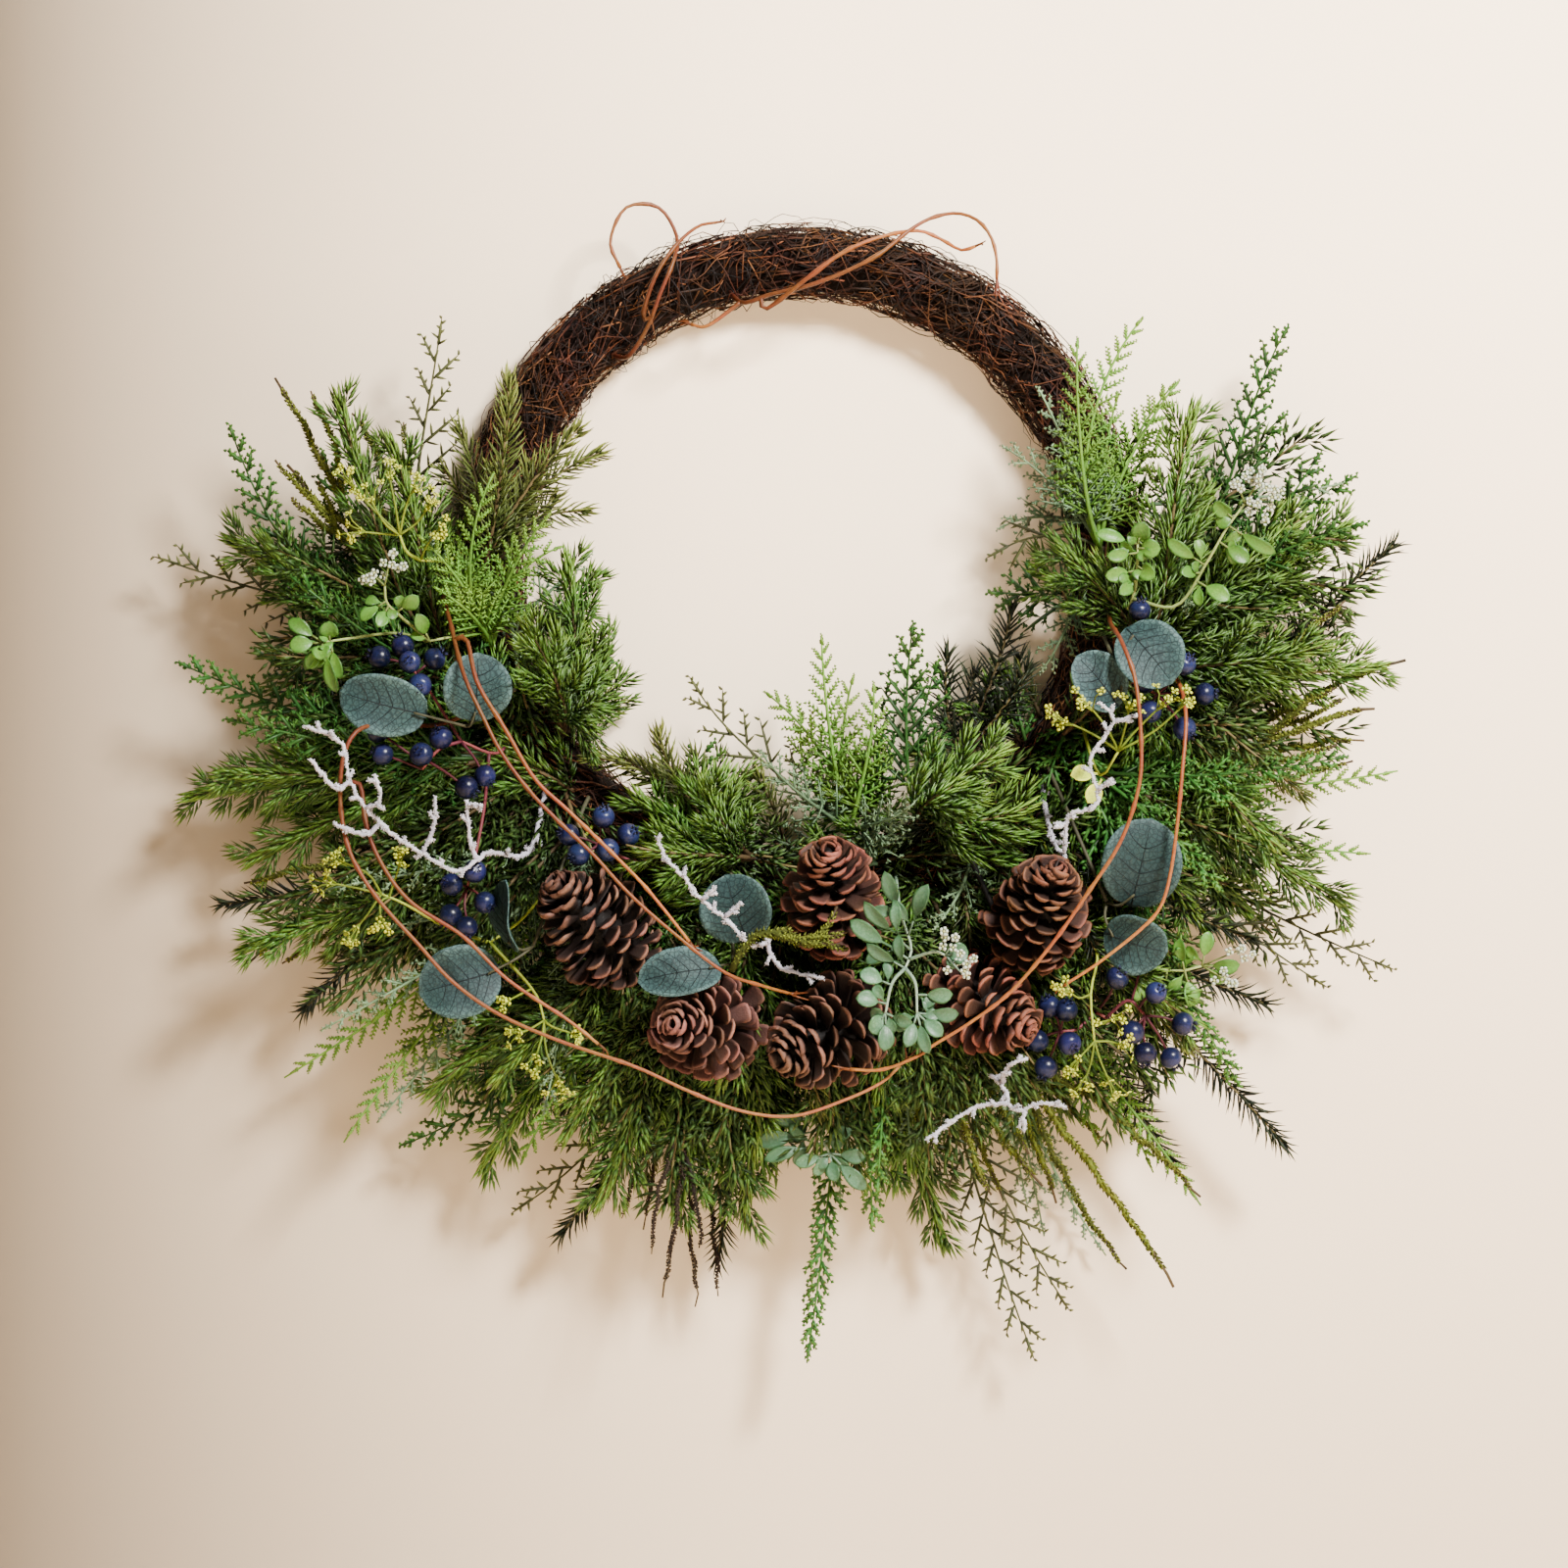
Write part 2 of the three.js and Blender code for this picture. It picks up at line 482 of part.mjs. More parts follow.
      ["leaf", [[176, -143, 104]]],
    ]],
  ],
];

// Vector helpers. A place [x, z, off the wall] becomes a point of the wreath's frame.
const VIEWER = new THREE.Vector3(0, -1, 0);
const vec = (x, y, z) => new THREE.Vector3(x, y, z);
const place = ([x, z, off]) => vec(x, -off, z - RING_RADIUS);
const between = (value, [low, high]) => value > low && value < high;
const radians = (degrees) => (degrees * Math.PI) / 180;
const mixed = (a, b, t) => a.clone().lerp(b, t);

// A seeded random number source, so that the wreath comes out the same each time.
function seeded(seed) {
  let state = seed >>> 0;
  return () => {
    state = (state + 0x6d2b79f5) >>> 0;
    let t = state;
    t = Math.imul(t ^ (t >>> 15), t | 1);
    t ^= t + Math.imul(t ^ (t >>> 7), t | 61);
    return ((t ^ (t >>> 14)) >>> 0) / 4294967296;
  };
}

const drawn = ([low, high], random) => low + (high - low) * random();

// The ring's own coordinates: an angle round the ring, an angle round its tube, and a radius.
function ringFrame(turn, round) {
  const outward = vec(Math.cos(turn), 0, Math.sin(turn));
  const normal = outward.clone().multiplyScalar(Math.cos(round)).addScaledVector(VIEWER, Math.sin(round));
  const middle = outward.clone().multiplyScalar(RING_RADIUS).add(vec(0, -RING_DEPTH, -RING_RADIUS));
  const along = vec(-Math.sin(turn), 0, Math.cos(turn));
  return { middle, normal, along };
}

function ringPoint(turn, round, radius) {
  const { middle, normal } = ringFrame(turn, round);
  return middle.addScaledVector(normal, radius);
}

function fromRing(point) {
  const flat = Math.hypot(point.x, point.z + RING_RADIUS);
  return Math.hypot(flat - RING_RADIUS, point.y + RING_DEPTH);
}

// A body under construction: points, triangles, and the four-cornered faces that are still open.
const newBody = () => ({ points: [], triangles: [], faces: [] });

function addRing(body, at, side, up, wide, deep, sides = 4) {
  const scale = sides === 4 ? Math.SQRT2 : 1.2;
  return Array.from({ length: sides }, (_, s) => {
    const angle = (2 * Math.PI * s) / sides - Math.PI / 4;
    const corner = at.clone().addScaledVector(side, wide * scale * Math.cos(angle));
    return body.points.push(corner.addScaledVector(up, deep * scale * Math.sin(angle))) - 1;
  });
}

// The new ring's corners in the order that twists the band between the two rings least.
function matched(body, last, ring) {
  const gap = (a, b) => body.points[a].distanceTo(body.points[b]);
  const cost = (shift) => last.reduce((sum, p, s) => sum + gap(p, ring[(s + shift) % ring.length]), 0);
  const shifts = ring.map((_, s) => s);
  const best = shifts.reduce((a, b) => (cost(b) < cost(a) - 1e-6 ? b : a), 0);
  return ring.map((_, s) => ring[(s + best) % ring.length]);
}

// The opposite faces of a blade's band are split alike, so that they never cross.
function addBand(body, low, high, blade = false) {
  return low.map((a, s) => {
    const next = (s + 1) % low.length;
    const corners = [a, low[next], high[next], high[s]];
    const face = { corners, alike: blade && s >= 2, apex: null, used: false };
    const [p, q, r, t] = face.corners.map((i) => body.points[i]);
    face.centre = p.clone().add(q).add(r).add(t).multiplyScalar(0.25);
    face.normal = r.clone().sub(p).cross(t.clone().sub(q)).normalize();
    body.faces.push(face);
    return face;
  });
}

function addTip(body, ring, tip) {
  const apex = body.points.push(tip.clone()) - 1;
  ring.forEach((a, s) => body.triangles.push([a, ring[(s + 1) % ring.length], apex]));
}

function addCap(body, ring) {
  for (let s = 1; s < ring.length - 1; s++) body.triangles.push([ring[0], ring[s + 1], ring[s]]);
}

// Across a tube that runs along `along`: which way is its side and which way is up.
function across(along, lastUp, preferred = VIEWER) {
  const facing = 1 - Math.abs(along.dot(preferred));
  const up = lastUp.clone().multiplyScalar(0.3).addScaledVector(preferred, facing);
  up.addScaledVector(along, -up.dot(along)).normalize();
  return { up, side: up.clone().cross(along).normalize() };
}

// A tube through the points of a path, from a ring that is there already.
// sizes gives the half width and half depth at each point, and spin turns each ring a little.
function growTube(body, base, path, sizes, { spin = 0, preferred = VIEWER } = {}) {
  let last = base;
  let behind = base.reduce((sum, i) => sum.add(body.points[i]), vec(0, 0, 0)).divideScalar(base.length);
  let lastUp = body.points[base[1]].clone().sub(body.points[base[0]]).normalize();
  const bands = [];
  path.forEach((at, k) => {
    const ahead = path[Math.min(k + 1, path.length - 1)];
    const along = ahead.clone().sub(behind).normalize();
    const frame = across(along, lastUp, preferred);
    lastUp = frame.up.clone();
    frame.up.applyAxisAngle(along, spin * k);
    frame.side.applyAxisAngle(along, spin * k);
    const ring = addRing(body, at, frame.side, frame.up, sizes[k][0], sizes[k][1], base.length);
    const turned = matched(body, last, ring);
    bands.push({ faces: addBand(body, last, turned), along, ...frame });
    last = turned;
    behind = at;
  });
  return { last, bands };
}

// The free face that a side branch towards a point grows from.
function takeFace(faces, towards) {
  const cost = (face) => {
    const way = towards.clone().sub(face.centre);
    return way.length() * 0.25 - 6 * way.normalize().dot(face.normal);
  };
  const free = faces.filter((face) => !face.used);
  if (!free.length) throw new Error("no face is left for a branch");
  const best = free.reduce((a, b) => (cost(b) < cost(a) ? b : a));
  best.used = true;
  return best;
}

// Open faces are closed flat, or raised to their apex.
function geometryOf(body) {
  body.faces.filter((face) => !face.used).forEach(({ corners: [a, b, c, d], alike, apex }) => {
    if (!apex) {
      body.triangles.push(...(alike ? [[b, c, d], [b, d, a]] : [[a, b, c], [a, c, d]]));
      return;
    }
    const top = body.points.push(apex) - 1;
    body.triangles.push([a, b, top], [b, c, top], [c, d, top], [d, a, top]);
  });
  const geometry = new THREE.BufferGeometry();
  const flat = new Float32Array(body.points.flatMap((p) => [p.x, p.y, p.z]));
  geometry.setAttribute("position", new THREE.BufferAttribute(flat, 3));
  geometry.setIndex(body.triangles.flat());
  return geometry;
}

// Solids that are joined or cut.
function solidOf(geometry) {
  const bare = geometry.clone();
  bare.deleteAttribute("normal");
  bare.deleteAttribute("uv");
  const merged = mergeVertices(bare, 1e-4);
  const vertProperties = merged.attributes.position.array;
  const triVerts = new Uint32Array(merged.index.array);
  return new wasm.Manifold(new wasm.Mesh({ numProp: 3, vertProperties, triVerts }));
}

function geometryOfSolid(solid) {
  const whole = solid.decompose().reduce((a, b) => (b.volume() > a.volume() ? b : a));
  const { numProp, numVert, vertProperties, triVerts } = whole.getMesh();
  const flat = new Float32Array(numVert * 3);
  for (let i = 0; i < numVert; i++) flat.set(vertProperties.subarray(i * numProp, i * numProp + 3), i * 3);
  const geometry = new THREE.BufferGeometry();
  geometry.setAttribute("position", new THREE.BufferAttribute(flat, 3));
  return geometry.setIndex([...triVerts]);
}

// What is taken up already: balls along every stem, needle and leaf, in a grid of cells.
const taken = new Map();
const cellOf = (p) => [p.x, p.y, p.z].map((v) => Math.floor(v / CELL));

function claim(point, radius, owner, branch) {
  const key = cellOf(point).join();
  if (!taken.has(key)) taken.set(key, []);
  taken.get(key).push({ point: point.clone(), radius, owner, branch });
}

function claimLine(points, radius, owner, branch) {
  for (let i = 1; i < points.length; i++) {
    const steps = Math.max(1, Math.ceil(points[i].distanceTo(points[i - 1]) / BALL_STEP));
    for (let s = 0; s <= steps; s++) {
      claim(mixed(points[i - 1], points[i], s / steps), radius, owner, branch);
    }
  }
}

function nearTo(point) {
  const [cx, cy, cz] = cellOf(point);
  const found = [];
  for (let x = cx - 1; x <= cx + 1; x++) {
    for (let y = cy - 1; y <= cy + 1; y++) {
      for (let z = cz - 1; z <= cz + 1; z++) found.push(...(taken.get([x, y, z].join()) ?? []));
    }
  }
  return found;
}

// A shoot may pass close to the others of its own pick where they part, at the knot.
function isFree(point, radius, owner, branch, knot = null) {
  const above = point.z + RING_RADIUS;
  if (between(point.x, OPENING_X) && between(above, OPENING_Z)) return false;
  if (point.y + radius > -1) return false;
  if (fromRing(point) < CREST_RADIUS + RING_ROOM + radius) return false;
  const parting = knot && point.distanceTo(knot) < PARTING;
  return nearTo(point).every((other) => {
    const related = parting || other.branch === branch || other.branch === "stem";
    if (other.owner === owner && related) return true;
    return other.point.distanceTo(point) >= other.radius + radius + CLEARANCE;
  });
}

// The foot of a pick or spray: a square stem from its hole in the ring to its knot.
const holes = [];
function plantStem(body, owner, turn, round, half = STEM_HALF, knots = 0) {
  const { middle, normal, along } = ringFrame(radians(turn), radians(round));
  const side = along.clone().cross(normal).normalize();
  const at = (radius) => middle.clone().addScaledVector(normal, radius);
  const foot = addRing(body, at(CREST_RADIUS - HOLE_DEPTH), side, along, half, half);
  addCap(body, foot);
  const top = CREST_RADIUS + 2 + KNOT_HEIGHT;
  const heights = Array.from({ length: knots + 1 }, (_, k) => top - (knots - k) * KNOT_STEP);
  const sizes = heights.map(() => [half, half]);
  const stem = growTube(body, foot, heights.map(at), sizes, { preferred: along });
  claimLine([at(CREST_RADIUS), at(top)], half * 1.4, owner, "stem");
  const hole = newBody();
  const wide = half + CLEARANCE;
  const low = addRing(hole, at(CREST_RADIUS - HOLE_DEPTH - CLEARANCE), side, along, wide, wide);
  addCap(hole, low);
  const high = addRing(hole, at(CREST_RADIUS + 6), side, along, wide, wide);
  addBand(hole, low, high);
  addCap(hole, [...high].reverse());
  holes.push(solidOf(geometryOf(hole)));
  return { knot: at(top), normal, end: stem.last, faces: stem.bands.slice(1).flatMap((b) => b.faces) };
}

// The line that a shoot's stem follows from the knot of its pick to its tip.
function shootLine(knot, normal, [, x, z, off, bow], shift, spread) {
  const tip = place([x, z, off + shift]);
  const way = tip.clone().sub(knot);
  const long = way.length();
  const flat = vec(way.x, 0, way.z).normalize();
  const bowed = vec(-flat.z, 0, flat.x).multiplyScalar(bow + spread);
  const leave = knot.clone().addScaledVector(normal, long * LEAVE_OUTWARD);
  leave.addScaledVector(way, LEAVE_FORWARD).addScaledVector(bowed, BOW_SHARES[0]);
  const arrive = tip.clone().addScaledVector(flat, -long * ARRIVE_BACK);
  arrive.addScaledVector(bowed, BOW_SHARES[1]);
  return new THREE.CubicBezierCurve3(knot.clone(), leave, arrive, tip);
}

// The first line that is clear of what is there.
function settledLine(knot, normal, shoot, half, owner, branch) {
  for (const spread of SPREADS) {
    for (const shift of SHIFTS) {
      const line = shootLine(knot, normal, shoot, shift, spread);
      const spots = line.getSpacedPoints(Math.ceil(line.getLength() / 3));
      const outside = spots.filter((p) => p.distanceTo(knot) > KNOT_HEIGHT + 2);
      if (outside.every((p) => isFree(p, half * 1.5, owner, branch, knot))) return line;
    }
  }
  throw new Error(`no way for shoot ${branch} of ${owner}`);
}

// A needle or leaflet raised from a face of its stem, or a shorter one where something is near.
function raiseNeedle(body, face, along, reach, lean, owner, branch) {
  const way = along.clone().multiplyScalar(Math.cos(lean)).addScaledVector(face.normal, Math.sin(lean));
  const [a, b, c, d] = face.corners.map((i) => body.points[i]);
  const feet = [mixed(a, b, 0.5), face.centre, mixed(c, d, 0.5)];
  for (const share of NEEDLE_LENGTHS) {
    const apex = face.centre.clone().addScaledVector(way, reach * share);
    const spots = feet.flatMap((foot) => NEEDLE_SPOTS.map(([t, radius]) => [mixed(foot, apex, t), radius]));
    if (!spots.every(([p, radius]) => isFree(p, radius, owner, branch))) continue;
    face.apex = apex;
    spots.forEach(([p, radius]) => claim(p, radius, owner, branch));
    return;
  }
}

// A pick: one stem in the ring, and several shoots that part at its knot.
function plantPick([name, turn, round, shoots]) {
  const body = newBody();
  const knots = Math.ceil((shoots.length - 1) / 4);
  const stem = plantStem(body, name, turn, round, STEM_HALF, knots);
  const lines = shoots.map((shoot, s) => {
    const { half } = KINDS[shoot[0]];
    const line = settledLine(stem.knot, stem.normal, shoot, half, name, s);
    claimLine(line.getSpacedPoints(30), half * 1.5, name, s);
    return line;
  });
  return { name, body, stem, shoots, lines };
}

function leafyShoot({ name, body, stem, shoots, lines }, s) {
  const line = lines[s];
  const { spacing, reach, lean, flat, half } = KINDS[shoots[s][0]];
  const long = line.getLength();
  const bare = Math.max(0.16, BARE_STEM / long);
  const count = Math.max(3, Math.round((long * (1 - bare)) / spacing));
  const stations = [];
  for (let k = 0; k < count; k++) stations.push(bare + ((1 - bare) * k) / count);
  const path = stations.map((t) => line.getPointAt(t));
  const thin = (t) => half * (1.15 - 0.75 * t);
  const sizes = stations.map((t) => [thin(t), flat ? thin(t) * 0.7 : thin(t)]);
  const base = s === 0 ? stem.end : takeFace(stem.faces, path[1]).corners;
  const { last, bands } = growTube(body, base, path, sizes, { spin: flat ? 0 : NEEDLE_TURN });
  addTip(body, last, line.getPointAt(1));
  bands.slice(1).forEach(({ faces, along, side }, k) => {
    const t = (k + 1) / count;
    const length = flat ? reach * (1.05 - 0.75 * t) : reach;
    faces.forEach((face) => {
      if (flat && Math.abs(face.normal.dot(side)) < 0.6) return;
      raiseNeedle(body, face, along, length, radians(lean), name, s);
    });
  });
}

// What ends a branch of a spray, grown from a face that faces its place.
const ENDS = {
  berry(body, base, from, at) {
    const way = at.clone().sub(from).normalize();
    const neck = at.clone().addScaledVector(way, -BERRY_RADIUS);
    const ring = BERRY_RADIUS / Math.SQRT2;
    const path = [neck, ...[-0.46, 0.4].map((t) => at.clone().addScaledVector(way, BERRY_RADIUS * t))];
    const sizes = [[0.8, 0.8], [ring, ring], [ring, ring]];
    const { last } = growTube(body, base, path, sizes, { spin: Math.PI / 4 });
    addTip(body, last, at.clone().addScaledVector(way, BERRY_RADIUS * 1.1));
  },
  leaf(body, base, from, at) {
    const way = at.clone().sub(from).normalize();
    const [p, q, r] = base.map((i) => body.points[i]);
    const edges = [q.clone().sub(p), r.clone().sub(q)].map((edge) => edge.projectOnPlane(way));
    const seen = edges.map((edge) => edge.length() - Math.abs(edge.dot(VIEWER)));
    const side = edges[seen[0] < seen[1] ? 1 : 0].normalize();
    const up = way.clone().cross(side);
    const ring = matched(body, base, addRing(body, mixed(from, at, LEAF_WIDEST), side, up, ...LEAF_HALF));
    addBand(body, base, ring, true);
    addTip(body, ring, at);
  },
  floret(body, base, from, at) {
    const way = at.clone().sub(from).normalize();
    const half = FLORET_RADIUS / Math.SQRT2;
    const { last } = growTube(body, base, [at], [[half, half]]);
    addTip(body, last, at.clone().addScaledVector(way, FLORET_RADIUS * 0.8));
  },
};
const END_SIZE = { berry: BERRY_RADIUS, leaf: 2, floret: FLORET_RADIUS };

// The stem's short length before a fork.
function jointAt(behind, at) {
  const share = Math.min(0.5, JOINT_LENGTH / at.distanceTo(behind));
  return [mixed(at, behind, share), at];
}

function growEnd(body, owner, base, from, kind, at) {
  ENDS[kind](body, base, from, at);
  claimLine([mixed(from, at, 0.3), mixed(from, at, 0.8)], 1.2, owner, "all");
  claim(at, END_SIZE[kind], owner, "all");
  if (kind === "leaf") [0.5, 0.66, 0.82].forEach((t) => claim(mixed(from, at, t), 5, owner, "all"));
}

function branchOut(body, owner, base, from, [kind, places, kids = []]) {
  const path = places.map(place);
  if (ENDS[kind]) {
    growEnd(body, owner, base, from, kind, path[0]);
    return;
  }
  const half = SPRAY_HALF[kind];
  const tip = path[path.length - 1];
  const rings = path.slice(0, -1);
  if (!rings.length) rings.push(mixed(from, tip, 0.5));
  if (kids.length && rings.length < 2) rings.push(mixed(rings[0], tip, 0.6));
  const closer = (at) => (a, p, k) => (p.distanceTo(at) < rings[a].distanceTo(at) ? k : a);
  const nearest = (at) => rings.reduce(closer(at), 0);
  const forks = new Set(kids.length > 3 ? rings.keys() : kids.map((kid) => nearest(place(kid[1][0]))));
  const joints = rings.flatMap((at, k) => (forks.has(k) ? jointAt(k ? rings[k - 1] : from, at) : [at]));
  const sizes = joints.map((_, k) => {
    const thin = half * (1 - (0.35 * k) / joints.length);
    return [thin, thin];
  });
  const { last, bands } = growTube(body, base, joints, sizes);
  addTip(body, last, tip);
  claimLine([from, ...path], half * 1.3, owner, "all");
  const short = (_, k) => k > 0 && joints[k].distanceTo(joints[k - 1]) <= JOINT_LENGTH + 0.01;
  const faces = bands.filter(short).flatMap((b) => b.faces);
  kids.forEach((kid) => {
    const face = takeFace(faces, place(kid[1][0]));
    branchOut(body, owner, face.corners, face.centre, kid);
  });
}

// A branch of a leaf spray, and its own branches, as solids that each start inside what they leave.
function rootedSolids(owner, from, [kind, places, kids = []]) {
  const body = newBody();
  const path = places.map(place);
  const { up, side } = across(path[0].clone().sub(from).normalize(), VIEWER);
  const half = ROOT_HALF[kind];
  const base = addRing(body, from, side, up, ...half);
  addCap(body, base);
  if (ENDS[kind]) {
    growEnd(body, owner, base, from, kind, path[0]);
    return [solidOf(geometryOf(body))];
  }
  const rings = growStem(body, owner, base, from, path, half[0]);
  return [solidOf(geometryOf(body)), ...kids.flatMap((kid) => rootedSolids(owner, startOf(rings, kid), kid))];
}

function growStem(body, owner, base, from, path, half) {
  const tip = path[path.length - 1];
  const rings = path.length > 1 ? path.slice(0, -1) : [mixed(from, tip, 0.5)];
  const sizes = rings.map((_, k) => Array(2).fill(half * (1 - (0.35 * k) / rings.length)));
  const { last } = growTube(body, base, rings, sizes);
  addTip(body, last, tip);
  claimLine([from, ...path], half * 1.3, owner, "all");
  return [...rings, mixed(rings[rings.length - 1], tip, 0.5)];
}

const startOf = (rings, kid) => {
  const at = place(kid[1][0]);
  return rings.reduce((a, p) => (p.distanceTo(at) < a.distanceTo(at) ? p : a));
};

function leafSprayGeometry([name, , turn, round, [, places, kids]]) {
  const body = newBody();
  const stem = plantStem(body, name, turn, round, SPRAY_HALF.stem);
  const rings = growStem(body, name, stem.end, stem.knot, places.map(place), SPRAY_HALF.stem);
  const branches = kids.flatMap((kid) => rootedSolids(name, startOf(rings, kid), kid));
  const joined = branches.reduce((sum, branch) => sum.add(branch), solidOf(geometryOf(body)));
  return geometryOfSolid(joined.simplify(FINEST_EDGE));
}

function sprayGeometry([name, , turn, round, tree]) {
  const body = newBody();
  const half = SPRAY_HALF[tree[0]];
  const stem = plantStem(body, name, turn, round, half);
  branchOut(body, name, stem.end, stem.knot, tree);
  return geometryOf(body);
}

// How a pinecone's width swells and tapers along its length, from 0 at its stem to 1 at its tip.
const coneSwell = (t) => Math.sin(Math.PI * Math.pow(0.1 + 0.84 * t, 0.72));

// A closed cone of scales: rows of lips that stand out of a slim core, each row set off by half.
function coneBody(long, wide) {
  const body = newBody();
  const columns = 2 * SCALES_PER_ROW;
  const rings = [];
  for (let row = 0; row < SCALE_ROWS; row++) {
    SCALE_STEP.forEach((step, lip) => {
      const t = (row + step) / SCALE_ROWS;
      const ring = Array.from({ length: columns }, (_, c) => {
        const out = lip && (c + row) % 2 === 0 ? LIP_SHARE : CORE_SHARE;
        const angle = (2 * Math.PI * c) / columns;
        const radius = wide * out * coneSwell(t);
        const corner = vec(radius * Math.cos(angle), radius * Math.sin(angle), long * (t - 0.5));
        return body.points.push(corner) - 1;
      });
      rings.push(ring);
    });
  }
  for (let r = 1; r < rings.length; r++) addBand(body, rings[r - 1], rings[r]);
  const bottom = body.points.push(vec(0, 0, -long * 0.52)) - 1;
  rings[0].forEach((a, s) => body.triangles.push([rings[0][(s + 1) % columns], a, bottom]));
  addTip(body, rings[rings.length - 1], vec(0, 0, long * 0.5));
  return body;
}

function coneGeometry([name, at, axis, long, wide, turn, round]) {
  const centre = place(at);
  const way = vec(axis[0], -axis[1], axis[2]).normalize();
  const swing = new THREE.Quaternion().setFromUnitVectors(vec(0, 0, 1), way);
  const cone = geometryOf(coneBody(long, wide)).applyQuaternion(swing);
  cone.translate(centre.x, centre.y, centre.z);
  const body = newBody();
  const stem = plantStem(body, name, turn, round, SPRAY_HALF.twig);
  const low = centre.clone().addScaledVector(way, -long * 0.62);
  const inside = centre.clone().addScaledVector(way, -long * 0.36);
  const sizes = [low, inside].map(() => [SPRAY_HALF.twig, SPRAY_HALF.twig]);
  const { last } = growTube(body, stem.end, [low, inside], sizes);
  addCap(body, [...last].reverse());
  claimLine([stem.knot, low], SPRAY_HALF.twig * 1.4, name, "all");
  [-0.36, -0.22, -0.06, 0.1, 0.26, 0.4].forEach((t) => {
    claimBall(centre.clone().addScaledVector(way, long * t), wide * LIP_SHARE * coneSwell(t + 0.5), name);
  });
  return geometryOfSolid(solidOf(cone).add(solidOf(geometryOf(body))));
}

// A large ball is entered as small ones over its surface, so that the grid of cells finds it.
function claimBall(centre, radius, owner) {
  const count = Math.ceil((radius * radius) / 6);
  for (let i = 0; i < count; i++) {
    const height = 1 - (2 * (i + 0.5)) / count;
    const turn = i * 2.39996;
    const flat = Math.sqrt(1 - height * height);
    const way = vec(flat * Math.cos(turn), flat * Math.sin(turn), height);
    claim(centre.clone().addScaledVector(way, radius - 3), 3, owner, "all");
  }
}

// A round leaf: two skins of one split, a thickness apart, cupped across and arched along.
function leafGeometry(base, tip, wide, roll) {
  const way = tip.clone().sub(base);
  const long = way.length();
  const along = way.clone().normalize();
  const { up, side } = across(along, VIEWER);
  up.applyAxisAngle(along, radians(roll));
  side.applyAxisAngle(along, radians(roll));
  const body = newBody();
  const spot = (t, s, skin) => {
    const cup = LEAF_CUP * wide * 0.5 * s * s;
    const arch = LEAF_ARCH * long * 4 * (t - 0.5) * (t - 0.5);
    const inPlane = base.clone().addScaledVector(way, t).addScaledVector(side, s * wide * 0.5);
    return inPlane.addScaledVector(up, cup - arch + skin * LEAF_THICKNESS);
  };
  const add = (p) => body.points.push(p) - 1;
  const skins = [0, 1].map((skin) => ({
    start: add(spot(0, 0, skin)),
    rows: LEAF_ROWS.map(([t, w]) => [-w, 0, w].map((s) => add(spot(t, s, skin)))),
    end: add(spot(1, 0, skin)),
  }));
  const both = (pick) => {
    const [a, b, c] = pick(skins[1]);
    const [d, e, f] = pick(skins[0]);
    body.triangles.push([a, c, b], [d, e, f]);
  };
  both(({ start, rows }) => [start, rows[0][2], rows[0][1]]);
  both(({ start, rows }) => [start, rows[0][1], rows[0][0]]);
  for (let r = 1; r < LEAF_ROWS.length; r++) {
    for (let s = 0; s < 2; s++) {
      both(({ rows }) => [rows[r - 1][s], rows[r - 1][s + 1], rows[r][s + 1]]);
      both(({ rows }) => [rows[r - 1][s], rows[r][s + 1], rows[r][s]]);
    }
  }
  const top = LEAF_ROWS.length - 1;
  both(({ end, rows }) => [rows[top][0], rows[top][1], end]);
  both(({ end, rows }) => [rows[top][1], rows[top][2], end]);
  const edge = ({ start, rows, end }) => [
    start, ...rows.map((row) => row[2]), end, ...rows.map((row) => row[0]).reverse(),
  ];
  const [low, high] = skins.map(edge);
  low.forEach((a, i) => {
    const next = (i + 1) % low.length;
    body.triangles.push([a, high[next], low[next]], [a, high[i], high[next]]);
  });
  return { geometry: geometryOf(body), spot };
}

function eucalyptusGeometry([name, turn, round, fork, leaves]) {
  const body = newBody();
  const stem = plantStem(body, name, turn, round, SPRAY_HALF.stem);
  const middle = place(fork);
  const half = SPRAY_HALF.stem;
  const blades = leaves.map(([base, tip, wide, roll]) => {
    const [from, to] = [place(base), place(tip)];
    return { from, to, wide, ...leafGeometry(from, to, wide, roll) };
  });
  const endIn = (ring, blade) => {
    const inside = blade.spot(0.15, 0, 0.5);
    const { last } = growTube(body, ring, [inside], [[half * 0.6, half * 0.6]]);
    addTip(body, last, blade.spot(0.3, 0, 0.5));
  };
  const start = mixed(stem.knot, middle, 0.45);
  const { last, bands } = growTube(body, stem.end, [start, middle], [[half, half], [half, half]]);
  claimLine([stem.knot, middle], half * 1.4, name, "all");
  endIn(last, blades[0]);
  const face = takeFace(bands.flatMap((b) => b.faces), blades[1].from);
  endIn(face.corners, blades[1]);
  blades.forEach((blade) => {
    claimLine([middle, blade.from], half * 1.4, name, "all");
    for (let t = 0.05; t < 1; t += 0.1) {
      const edge = Math.sin(Math.PI * t) ** 0.5;
      for (let s = -0.8; s <= 0.8; s += 0.2) claim(blade.spot(t, s * edge, 0.5), 2, name, "all");
    }
  });
  const stalk = solidOf(geometryOf(body));
  return geometryOfSolid(blades.reduce((sum, blade) => sum.add(solidOf(blade.geometry)), stalk));
}

